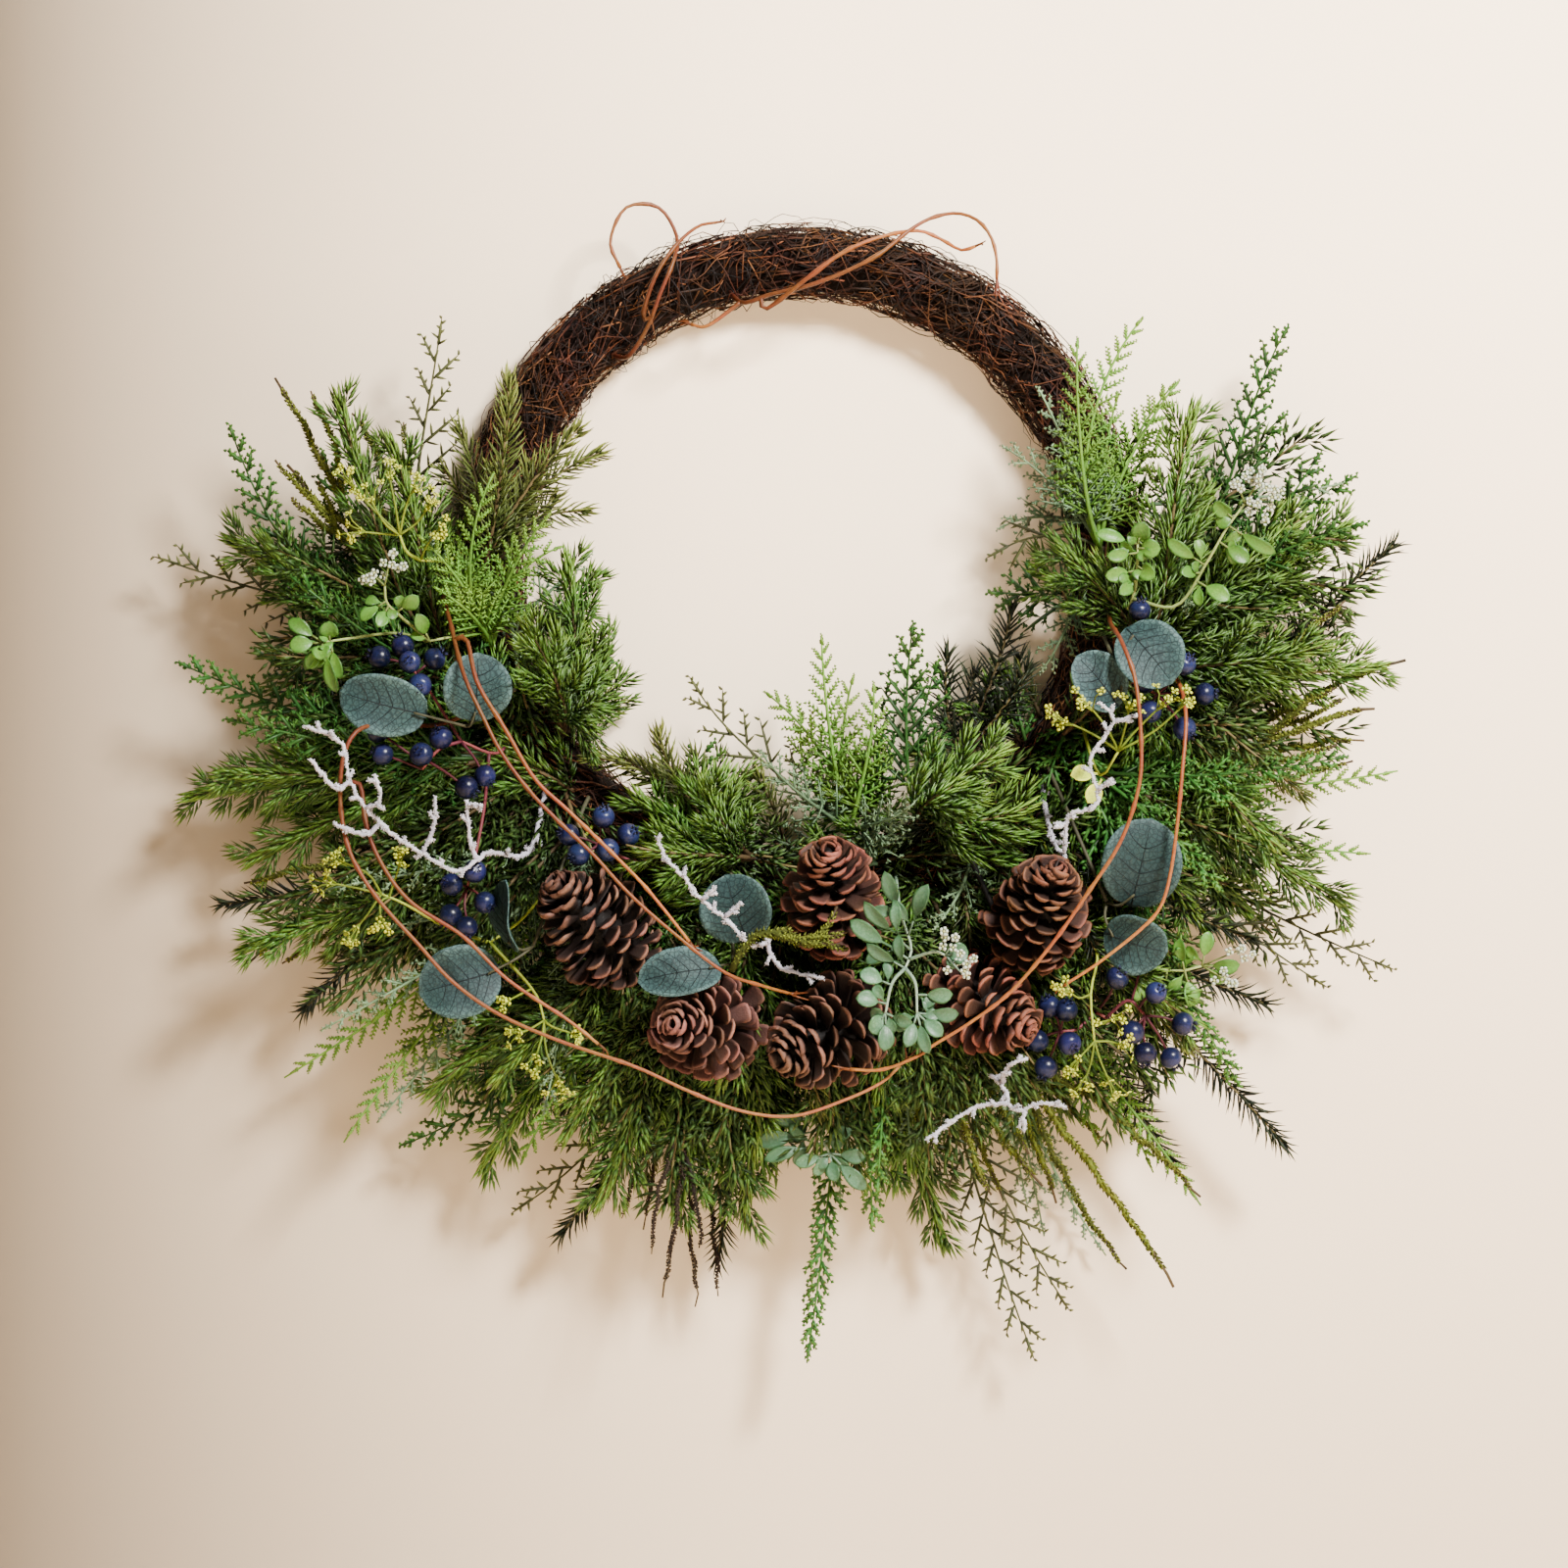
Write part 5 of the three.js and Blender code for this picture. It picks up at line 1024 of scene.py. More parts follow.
def draw_moss(growth, rng, line, index, radius, forks, wood_kind=0):
    """A crooked twig in a coat of moss, bare at its tip, with a few lesser twigs of its kind."""
    places = max(8, int(line.long / 8))
    share = np.linspace(0, 1, places)
    path = line.cut(0, 1, places)
    path[2:-1] += rng.normal(0, 0.8, path[2:-1].shape)
    path[:, 1] = np.minimum(path[:, 1], MOSS_LIMIT)
    tone = rng.random()
    wood = radius * (0.75 - 0.32 * share) * rng.uniform(0.8, 1.25, places)
    add_tube(growth, path, wood, tint=share * 0.2, tone=tone, kind=wood_kind)
    coated = max(4, int(places * MOSS_SHARE))
    coat = radius * (1.15 - 0.55 * share[:coated]) * rng.uniform(0.8, 1.2, coated)
    coat[-1] *= 0.5
    add_tube(growth, path[:coated], coat, 6, 0.25 + 0.25 * share[:coated], tone, index)
    crooked = Line(path)
    fuzz_end = crooked.long * (MOSS_SHARE + 0.03)
    fuzz = brush(rng, 2, fuzz_end, 2.1, needle=radius * 2.1, lean=60, width=1.9)
    fuzz = crooked.laid(fuzz)
    fuzz[:, KIND] = index
    fuzz[:, HIGH] = rng.uniform(0.5, 1.0, len(fuzz))
    add_spikes(growth, fuzz, rng.random(len(fuzz)))
    for k in range(forks):
        at = crooked.long * rng.uniform(0.3, 0.65)
        spot, along, side = (crooked.values(table, [at])[0]
                             for table in (crooked.points, crooked.along, crooked.side))
        long = (crooked.long - at) * rng.uniform(0.6, 0.95)
        way = along + side * (0.62 * in_turn(k)) * rng.uniform(0.7, 1.2)
        way = unit(way + VIEWER * rng.uniform(-0.1, 0.25))
        bent = bezier(spot, spot + way * long * 0.35,
                      spot + way * long * 0.5 + along * long * 0.22,
                      spot + way * long * 0.55 + along * long * 0.5, 16)
        draw_moss(growth, rng, Line(bent), index, radius * 0.75, 0, wood_kind)


def companion_lines(rng, knot, normal, tip, bow, count):
    """Lesser shoots to both sides of a shoot, and behind it."""
    for k in range(count):
        swing = math.radians(rng.uniform(7, 15)) * in_turn(k)
        end = knot + swung((tip - knot) * rng.uniform(0.6, 0.84), swing)
        end[1] = min(end[1] + rng.uniform(8, 22), LESSER_LIMIT)
        yield shoot_line(knot, normal, end, bow + rng.uniform(-8, 8))


def cover_lines(rng, turn, round_tube, count):
    """Short shoots that lie over the ring beside a pick's knot."""
    for k in range(count):
        at_turn = turn + rng.uniform(-10, 10)
        middle, normal = ring_frame(at_turn, round_tube + rng.uniform(-45, 45))
        angle = math.radians(at_turn)
        along = np.array([-math.sin(angle), 0.0, math.cos(angle)]) * in_turn(k)
        end = middle + normal * rng.uniform(38, 56) + along * rng.uniform(35, 62)
        end += level_way(angle) * rng.uniform(0, 26)
        end[1] = min(end[1], COVER_LIMIT)
        yield shoot_line(middle + normal * STEM_FOOT, normal, end, rng.uniform(-6, 6))


def is_low(turn):
    return LOW_TURNS[0] < turn < LOW_TURNS[1]


def skirt_lines(rng, turn, count, inward):
    """Shoots that fan out behind the others from the ring's outer side, or from its inner side."""
    for _ in range(count):
        at_turn = turn + rng.uniform(-9, 9)
        around = rng.uniform(140, 180) if inward else rng.uniform(5, 45)
        middle, normal = ring_frame(at_turn, around)
        way = math.radians(at_turn + rng.uniform(-30, 30) + (180 if inward else 0))
        reach = rng.uniform(50, 74) if inward else rng.uniform(90, 165)
        if not inward and is_low(turn):
            reach = rng.uniform(110, 208)
        end = middle + level_way(way) * reach
        end[1] = -rng.uniform(22, 52) if inward else -rng.uniform(16, 84)
        yield shoot_line(middle + normal * STEM_FOOT, normal, end, rng.uniform(-8, 8))


# What fills in beside a shoot, where that is another kind, and a pick with a filling of its own.
COVER_KINDS = {"frosted": "glaucous", "tracery": "pine", "moss": "cedar", "dark_fir": "fir"}
PICK_COVERS = {"fir_dark_centre": "dark_fir"}


def grow_pick(pick, keep, fullness):
    """A pick: its shoots as in the model, lesser ones beside them, and others to fill in."""
    name, turn, round_tube, shoots = pick
    rng = draws(name)
    growth = Growth()
    middle, normal = ring_frame(turn, round_tube)
    knot = middle + normal * STEM_TOP
    solid = node_points(name)
    tree = KDTree(len(solid))
    for k, point in enumerate(solid):
        tree.insert(point, k)
    tree.balance()
    first = shoots[0][0]
    cover = PICK_COVERS.get(name, COVER_KINDS.get(first, first))
    kinds = sorted({shoot[0] for shoot in shoots} | {cover, "shade"})

    def fill(kind, line, bare):
        draw_shoot(growth, keep, rng, kind, line, 1 + kinds.index(kind), 0.8, bare)

    add_tube(growth, np.linspace(middle + normal * STEM_FOOT, knot, 3), 2.0, 6)
    for shoot in shoots:
        kind, bow = shoot[0], shoot[4]
        index = 1 + kinds.index(kind)
        line = settled_line(knot, normal, shoot, solid, tree)
        draw_shoot(growth, keep, rng, kind, line, index)
        lesser = int(round(KINDS[kind][2] * fullness))
        for other in companion_lines(rng, knot, normal, line.points[-1], bow, lesser):
            draw_shoot(growth, keep, rng, kind, other, index, 0.75)
    for k, line in enumerate(cover_lines(rng, turn, round_tube, int(round(COVERS * fullness)))):
        fill("shade" if k % 2 else cover, line, 6.0)
    for inward, count in ((False, LOW_SKIRT if is_low(turn) else SKIRT), (True, INNER_SKIRT)):
        count = int(round(count * fullness))
        for k, line in enumerate(skirt_lines(rng, turn, count, inward)):
            fill(cover if inward or k % 4 == 2 else "shade", line, 8.0)
    growth.piece(name, "_foliage", "stem", *kinds)


# The end of draws round an axis, nearly a full turn.
NEAR_TURN = 6.28
# Where the side veins of a round leaf leave its midrib, and the radii of both in millimetres.
VEIN_STARTS = (0.12, 0.26, 0.4, 0.54, 0.68)
MIDRIB = 0.6
VEIN = 0.36
# A small leaf shorter than this is round, and a longer one is a spoon with at most this blade.
ROUND_LEAF = 17
SPOON_BLADE = 31


def add_spray_path(growth, rng, places, radius, taper):
    """A stem through places, thinner towards its end."""
    path = smooth_path(places, max(6, 4 * len(places)))
    share = np.linspace(0, 1, len(path))
    add_tube(growth, path, radius * (1 - taper * share), 7, share, rng.random())
    return path


def add_stalk(growth, rng, places, count, radii, sides):
    """A thin stalk through places, with its radii at both ends."""
    stalk = smooth_path(places, count)
    add_tube(growth, stalk, np.linspace(*radii, count), sides, tone=rng.random())
    return stalk


def nearest_on(path, at):
    return path[np.argmin(np.linalg.norm(path - at, axis=1))]


def length_of(path):
    return sum(np.linalg.norm(np.diff(np.array(path), axis=0), axis=1))


def grow_tree(branch, begin, leave):
    """Walks a spray's branches: leave(kind, path) gets every stem and every end."""
    kind, places, *kids = branch
    drawn = leave(kind, [begin] + [place(spot) for spot in places])
    for kid in kids[0] if kids else []:
        grow_tree(kid, nearest_on(drawn, place(kid[1][0])), leave)


def add_blade(growth, base, tip, wide, shape, roll=0.0, cup=0.3, arch=0.12, thick=0.9,
              cells=(12, 6), tone=0.5, wave=0.0, rng=None):
    """A leaf: two skins over its outline, cupped across, arched along, and closed at its edge."""
    way = tip - base
    long = np.linalg.norm(way)
    along = way / max(long, 1e-9)
    up = unit(VIEWER - along * (VIEWER @ along))
    side = np.cross(up, along)
    c, s = math.cos(math.radians(roll)), math.sin(math.radians(roll))
    side, up = side * c - up * s, up * c + side * s
    rows_along, across = cells
    t = np.linspace(0.0, 1.0, rows_along + 1)
    v = np.linspace(-1.0, 1.0, across + 1)
    phase = rng.uniform(0, NEAR_TURN) if wave else 0.0

    def surface(t, v, raised):
        ww = v * np.maximum(shape(t), 0.02)
        lift = cup * wide * 0.5 * ww ** 2 - arch * long * 4 * (t - 0.5) ** 2
        lift = lift + wave * np.sin(t * 9 + phase) * v ** 2
        sideways = ww[..., None] * side * wide * 0.5
        return base + t[..., None] * way + sideways + (lift + raised)[..., None] * up

    tt, vv = np.meshgrid(t, v, indexing="ij")
    high = surface(tt, vv, thick * 0.5)
    low = surface(tt, vv, -thick * np.where(np.abs(vv) > 0.999, 0.1, 0.5))
    n = (rows_along + 1) * (across + 1)
    points = np.concatenate([high.reshape(-1, 3), low.reshape(-1, 3)])

    def cell(i, j):
        return i * (across + 1) + j

    faces = []
    for i in range(rows_along):
        for j in range(across):
            a, b, d, e = cell(i, j), cell(i, j + 1), cell(i + 1, j + 1), cell(i + 1, j)
            faces += [(a, b, d), (a, d, e), (n + a, n + d, n + b), (n + a, n + e, n + d)]
        for j, flip in ((0, False), (across, True)):
            a, e = cell(i, j), cell(i + 1, j)
            quad = [(a, e, n + e), (a, n + e, n + a)]
            faces += [f[::-1] for f in quad] if flip else quad
    for j in range(across):
        a, b = cell(0, j), cell(0, j + 1)
        faces += [(a, n + b, b), (a, n + a, n + b)]
        a, b = cell(rows_along, j), cell(rows_along, j + 1)
        faces += [(a, b, n + b), (a, n + b, n + a)]
    faces = np.array(faces)
    first, second, third = points[faces[0]]
    if np.cross(second - first, third - first) @ up < 0:
        faces = faces[:, ::-1]
    rim = np.maximum(np.abs(vv) ** 3, np.clip(2 * tt - 1, 0, 1) ** 8)
    tint = np.concatenate([rim.ravel(), rim.ravel()]) * 0.6 + 0.35
    growth.add(points, faces, tint, tone, 1)
    return surface


def add_veins(growth, surface, thick):
    """A midrib and pairs of side veins that lie on a leaf."""
    step = np.linspace(0, 1, 10)
    lines = [surface(0.02 + 0.9 * step, 0 * step, thick * 0.5)]
    for low in VEIN_STARTS:
        for sense in (-1, 1):
            lines.append(surface(low + 0.22 * step ** 1.3, sense * 0.86 * step, thick * 0.5))
    radii = np.array([MIDRIB] + [VEIN] * 2 * len(VEIN_STARTS))[:, None] * (1 - 0.6 * step)
    add_tubes(growth, np.array(lines), radii, 4, tint=0.6, tone=0.5, kind=2)


def round_leaf_shape(t):
    return np.clip(3.1 * t ** 0.8 * (1 - t ** 1.7), 0, 1.2) ** 0.55


def spoon_shape(t):
    blade = np.clip((t - 0.26) / 0.74, 0, 1)
    return 0.13 * (1 - t) + 0.93 * np.clip(2.47 * blade * (1 - blade ** 2.2), 0, 1) ** 0.68


def disc_shape(t):
    blade = np.clip((t - 0.12) / 0.88, 0, 1)
    return 0.1 * (1 - t) + 0.95 * np.clip(4 * blade * (1 - blade), 0, 1) ** 0.5


def ball(columns=20, bands=12):
    """The points and faces of a ball of radius one, its pole along z."""
    points = [(0.0, 0.0, -1.0)]
    for k in range(1, bands):
        height = -math.cos(math.pi * k / bands)
        flat = math.sin(math.pi * k / bands)
        for c in range(columns):
            angle = 2 * math.pi * c / columns
            points.append((flat * math.cos(angle), flat * math.sin(angle), height))
    points.append((0.0, 0.0, 1.0))
    faces = [(0, 1 + (c + 1) % columns, 1 + c) for c in range(columns)]
    for k in range(bands - 2):
        faces += band(1 + k * columns, 1 + (k + 1) * columns, columns)
    last = 1 + (bands - 2) * columns
    faces += [(last + c, last + (c + 1) % columns, last + columns) for c in range(columns)]
    return np.array(points), np.array(faces)


BALL = ball()
SMALL_BALL = ball(6, 4)


def basis(way):
    """A way as a unit, and two ways across it."""
    way = unit(np.asarray(way, dtype=float))
    helper = np.array([0.0, 0.0, 1.0]) if abs(way[2]) < 0.8 else np.array([1.0, 0.0, 0.0])
    side = unit(np.cross(way, helper))
    return way, side, np.cross(way, side)


def add_berry(growth, rng, centre, way, radius):
    """A round berry with a small crown of five points."""
    way, side, up = basis(way)
    points, faces = BALL
    swell = 1 - 0.05 * points[:, 2:3] ** 2 + rng.normal(0, 0.004, (len(points), 1))
    dent = -0.14 * np.exp(-((1 - points[:, 2:3]) / 0.06) ** 2) * [0.0, 0.0, 1.0]
    skin = centre + (points * swell + dent) @ np.stack([side, up, way]) * radius
    growth.add(skin, faces, (points[:, 2] + 1) / 2, rng.random(), 1)
    crown = []
    for k in range(5):
        angle = 2 * math.pi * k / 5
        out = math.cos(angle) * side + math.sin(angle) * up
        base = centre + way * radius * 0.86 + out * radius * 0.2
        tip = base + (way * 0.42 + out * 0.3) * radius
        crown.append(rows(base[None], tip[None], radius * 0.32, kind=2))
    add_spikes(growth, np.concatenate(crown), np.full(5, rng.random()))


def draw_berry(growth, rng, _, kind, path):
    if kind != "berry":
        return add_spray_path(growth, rng, path, 1.2, 0.3)
    at = path[-1]
    way = unit(at - path[0] + VIEWER * 5)
    knee = mixed(path[0], at, 0.5) + rng.normal(0, 0.8, 3)
    stalk = add_stalk(growth, rng, [path[0], knee, at - way * 5], 7, (0.9, 0.7), 6)
    add_berry(growth, rng, at, way, BERRY_RADIUS * rng.uniform(0.94, 1.03))
    return stalk


def add_floret(growth, rng, at, way, radius, petals, kinds):
    """A little flower: rounded petals about a raised middle."""
    way, side, up = basis(way + rng.normal(0, 0.25, 3))
    start = rng.uniform(0, NEAR_TURN)
    for k in range(petals):
        angle = start + 2 * math.pi * k / petals
        out = math.cos(angle) * side + math.sin(angle) * up
        tip = at + out * radius + way * radius * rng.uniform(0.05, 0.35)
        base = at + out * radius * 0.12
        add_petal(growth, base, tip, way, radius * 0.85, rng.random(), kinds[0])
    points, faces = SMALL_BALL
    eye = at + way * radius * 0.15 + points * radius * 0.24
    growth.add(eye, faces, 0.5, rng.random(), kinds[1])


def add_petal(growth, base, tip, up, wide, tone, kind):
    """A small thick petal."""
    way = tip - base
    side = unit(np.cross(up, way)) * wide / 2
    lift = unit(up) * wide * 0.16
    spots = [
        base, base + way * 0.45 + side, base + way * 0.45 - side, base + way * 0.85 + side * 0.8,
        base + way * 0.85 - side * 0.8, tip, base + way * 0.6 - lift, base + way * 0.6 + lift * 1.5,
    ]
    faces = []
    loop = [0, 1, 3, 5, 4, 2]
    for a, b in zip(loop, loop[1:] + loop[:1]):
        faces += [(a, b, 7), (b, a, 6)]
    growth.add(np.array(spots), faces, [0, 0.6, 0.6, 0.9, 0.9, 1, 0.5, 0.6], tone, kind)


def draw_leaves(growth, rng, normal, kind, path):
    """Two leaves on a stalk, a head of little flowers, or a stem."""
    start, at = path[0], path[-1]
    if kind == "leaf":
        stalk = add_stalk(growth, rng, [start, mixed(start, at, 0.3)], 4, (0.8, 0.6), 5)
        long = np.linalg.norm(at - start)
        base = mixed(start, at, max(0.08, 1 - SPOON_BLADE / max(long, 1)))
        shape, wide = (disc_shape, 12.5) if long < ROUND_LEAF else (spoon_shape, 10.0)
        add_blade(growth, base, at, wide * rng.uniform(0.85, 1.15), shape, rng.uniform(-30, 30),
                  tone=rng.random())
        swing = rng.choice([-1, 1]) * rng.uniform(0.7, 1.1)
        other = swung(at - base, swing) + [0.0, 4.0, 0.0]
        add_blade(growth, base, base + other * rng.uniform(0.6, 0.8), wide * 0.8, shape,
                  rng.uniform(-40, 40), arch=0.15, cells=(10, 6), tone=rng.random())
        return stalk
    if kind == "floret":
        spread = unit(normal * 0.4 + VIEWER)
        stalk = add_stalk(growth, rng, [start, at], 4, (0.7, 0.5), 5)
        for _ in range(6):
            shift = rng.normal(0, 3.4, 3)
            petals = 4 + int(rng.random() < 0.5)
            add_floret(growth, rng, at + shift, spread, 3.0, petals, (2, 3))
        return stalk
    return add_spray_path(growth, rng, path, 1.2, 0.4)


def draw_umbel(growth, rng, _, kind, path):
    """A head of florets on fine stalks, a leaf, or a stem."""
    start, at = path[0], path[-1]
    if kind == "floret":
        bow = rng.normal(0, 2.0, 3)
        knee = mixed(start, at, 0.5) + bow
        stalk = add_stalk(growth, rng, [start, knee, at], 7, (0.8, 0.55), 6)
        for k in range(6):
            way = unit(unit(at - start) + rng.normal(0, 0.7, 3))
            tip = at + way * rng.uniform(4, 13) * (k > 0)
            knee = mixed(at, tip, 0.5) + rng.normal(0, 0.5, 3)
            add_stalk(growth, rng, [mixed(start, at, 0.86), knee, tip], 4, (0.5, 0.4), 4)
            add_floret(growth, rng, tip, unit(tip - start) + VIEWER * 0.6, 3.1, 4, (1, 2))
        return stalk
    if kind == "leaf":
        add_blade(growth, mixed(start, at, 0.2), at, 11, spoon_shape, rng.uniform(-25, 25),
                  cells=(9, 6), tone=rng.random())
        return np.stack([start, at])
    return add_spray_path(growth, rng, path, 1.2, 0.4)


def crust(growth, rng, path, radius):
    """A twig through the places of a path, rough with flock."""
    radius = radius * rng.uniform(0.75, 1.3, len(path))
    share = np.linspace(0, 1, len(path))
    add_tube(growth, path, radius, 7, 0.5 * share, rng.random())
    count = len(path) * 12
    pick = rng.random(count) * (len(path) - 1)
    at = np.stack([np.interp(pick, np.arange(len(path)), path[:, k]) for k in range(3)], axis=1)
    way = unit(rng.normal(0, 1, (count, 3)))
    fuzz = rows(at + way * 0.6, at + way * rng.uniform(1.5, 2.5, (count, 1)), 1.0, low=0.4)
    add_spikes(growth, fuzz, rng.random(count))


def draw_flocked(growth, rng, _, __, path):
    """A flocked twig with a stub at every sixth place, to both sides in turn."""
    drawn = smooth_path(path, max(8, int(length_of(path) / 2.2)))
    share = np.linspace(0, 1, len(drawn))
    drawn[1:] += rng.normal(0, 0.4, drawn[1:].shape)
    crust(growth, rng, drawn, 1.35 * (1 - 0.35 * share))
    for k in range(3, len(drawn) - 1, 6):
        along = unit(drawn[k + 1] - drawn[k - 1])
        side = np.cross(along, VIEWER) * (1 if k % 12 < 6 else -1)
        way = unit(along * 0.7 + side * rng.uniform(0.6, 1.1) + rng.normal(0, 0.2, 3))
        stub = np.linspace(drawn[k], drawn[k] + way * rng.uniform(2.5, 7), 5)
        crust(growth, rng, stub, np.linspace(1.1, 0.7, 5))
    return drawn


def draw_vine(growth, rng, _, __, path):
    """A vine with thicker knots, a spur at most of them, and three curls at its end."""
    places = max(16, int(length_of(path) / 5))
    drawn = smooth_path(path, places)
    share = np.linspace(0, 1, places)
    knots = rng.random(places) < 0.1
    radius = 1.45 * (1 - 0.35 * share) * np.where(knots, 1.35, 1.0)
    add_tube(growth, drawn, radius, 8, share, rng.random())
    for k in np.flatnonzero(knots)[1:-1]:
        way = unit(drawn[k + 1] - drawn[k] + rng.normal(0, 0.7, 3))
        tip = drawn[k] + way * rng.uniform(2.5, 5)
        add_spikes(growth, rows(drawn[k][None], tip[None], 1.5, 0.2, 0.6), rng.random(1))
    for _ in range(3):
        way = unit(drawn[-1] - drawn[-2] + rng.normal(0, 0.5, 3)) * rng.uniform(5, 10)
        end = drawn[-1] + way + rng.normal(0, 2.0, 3)
        curl = smooth_path([drawn[-1], drawn[-1] + way * 0.6, end], 7)
        add_tube(growth, curl, np.linspace(0.9, 0.4, 7), 5, 0.2, rng.random())
    return drawn


# Each family of sprays: what draws its stems and ends, the end of its pieces' names, its finishes.
FAMILIES = {
    "berry": (draw_berry, "_cluster", ("berry_stem", "berry", "crown")),
    "sage": (draw_leaves, "_leaves", ("sage_stem", "sage", "petal", "flower_eye")),
    "umbel": (draw_umbel, "_flowers", ("umbel_stem", "umbel", "umbel_eye")),
    "flocked": (draw_flocked, "_twig", ("flock", "moss", "stem")),
    "vine": (draw_vine, "_runner", ("vine",)),
}
# Sprays with finishes other than their family's.
LIME_LOOKS = ("lime_stem", "lime", "petal", "flower_eye")
SPRAY_LOOKS = {
    "leaf_spray_top_right": LIME_LOOKS, "leaf_spray_top_left": LIME_LOOKS,
    "leaf_spray_right_low": LIME_LOOKS, "vine_low": ("vine_red",),
}


def grow_family(family):
    """Every spray of a family, each as one piece."""
    draw, suffix, looks = FAMILIES[family]
    for name, own_family, turn, round_tube, branch in TREES:
        if own_family != family:
            continue
        rng = draws(name)
        growth = Growth()
        middle, normal = ring_frame(turn, round_tube)
        leave = partial(draw, growth, rng, normal)
        grow_tree(branch, middle + normal * STEM_FOOT, leave)
        if name in MOSS_SPURS:
            spur = Line(smooth_path([place(spot) for spot in MOSS_SPURS[name]], 30))
            draw_moss(growth, rng, spur, 1, 2.2, forks=3, wood_kind=2)
        growth.piece(name, suffix, *SPRAY_LOOKS.get(name, looks))


def grow_eucalyptus(pair):
    """A pair of round leaves on stalks that fork from one stem."""
    name, turn, round_tube, fork, leaves = pair
    rng = draws(name)
    growth = Growth()
    middle, normal = ring_frame(turn, round_tube)
    fork = place(fork)
    stem = smooth_path([middle + normal * STEM_FOOT, middle + normal * STEM_TOP, fork], 12)
    add_tube(growth, stem, np.linspace(1.4, 1.1, 12), 8)
    for base, tip, wide, roll in leaves:
        base, tip = place(base), place(tip)
        stalk = smooth_path([fork, mixed(fork, base, 0.5) + VIEWER, mixed(base, tip, 0.16)], 8)
        add_tube(growth, stalk, np.linspace(1.0, 0.7, 8), 7)
        surface = add_blade(growth, base, tip, wide, round_leaf_shape, roll, cup=0.16, arch=0.1,
                            thick=1.0, cells=(20, 14), tone=rng.random(), wave=0.8, rng=rng)
        add_veins(growth, surface, 1.0)
    growth.piece(name, "_leaves", "eucalyptus_stem", "eucalyptus", "eucalyptus_vein")


def cone_swell(t):
    return math.sin(math.pi * (0.1 + 0.84 * t) ** 0.72)


# A scale's shares of its length, width and thickness, and its tint, from its foot to its lip.
SCALE_STATIONS = (
    (0.0, 0.42, 0.4, 0.0), (0.38, 0.6, 0.45, 0.12), (0.68, 0.88, 0.6, 0.36), (0.86, 1.0, 0.95, 0.5),
    (0.94, 0.98, 1.1, 0.58), (1.0, 0.8, 0.75, 0.95),
)
# Its section, in halves of its width and thickness.
SCALE_SECTION = (
    (1, 0.6), (0.6, 0.55), (0, 0.3), (-0.6, 0.55), (-1, 0.6), (-0.62, -0.75), (0, -1.15),
    (0.62, -0.75),
)
CONE_LOOKS = {
    "pinecone_left": "cone_grey", "pinecone_low_left": "cone_pink",
    "pinecone_centre": "cone_red", "pinecone_low_centre": "cone_grey",
    "pinecone_right_top": "cone_dark", "pinecone_right_low": "cone_red",
}


def add_scale(growth, base, way, up, long, wide, thick, curl, tone):
    """A woody scale: thin at its foot, wide and thick at its lip, with a blunt point."""
    side = np.cross(way, up)
    sides = len(SCALE_SECTION)
    rings, tints = [], []
    for share, broad, deep, tint in SCALE_STATIONS:
        centre = base + way * long * share + up * curl * long * share ** 2
        a, b = wide / 2 * broad, thick / 2 * deep
        rings += [centre + side * a * x + up * b * y for x, y in SCALE_SECTION]
        tints += [min(1.0, tint + 0.35 * (abs(x) > 0.9) * (share > 0.8)) for x, _ in SCALE_SECTION]
    last = base + way * long * 1.03 + up * curl * long
    points = np.array([base] + rings + [last])
    faces = [(0, 1 + (s + 1) % sides, 1 + s) for s in range(sides)]
    for k in range(len(SCALE_STATIONS) - 1):
        faces += band(1 + k * sides, 1 + (k + 1) * sides, sides)
    end = 1 + sides * (len(SCALE_STATIONS) - 1)
    faces += [(end + s, end + (s + 1) % sides, end + sides) for s in range(sides)]
    growth.add(points, faces, [0.0] + tints + [1.0], tone, 0)


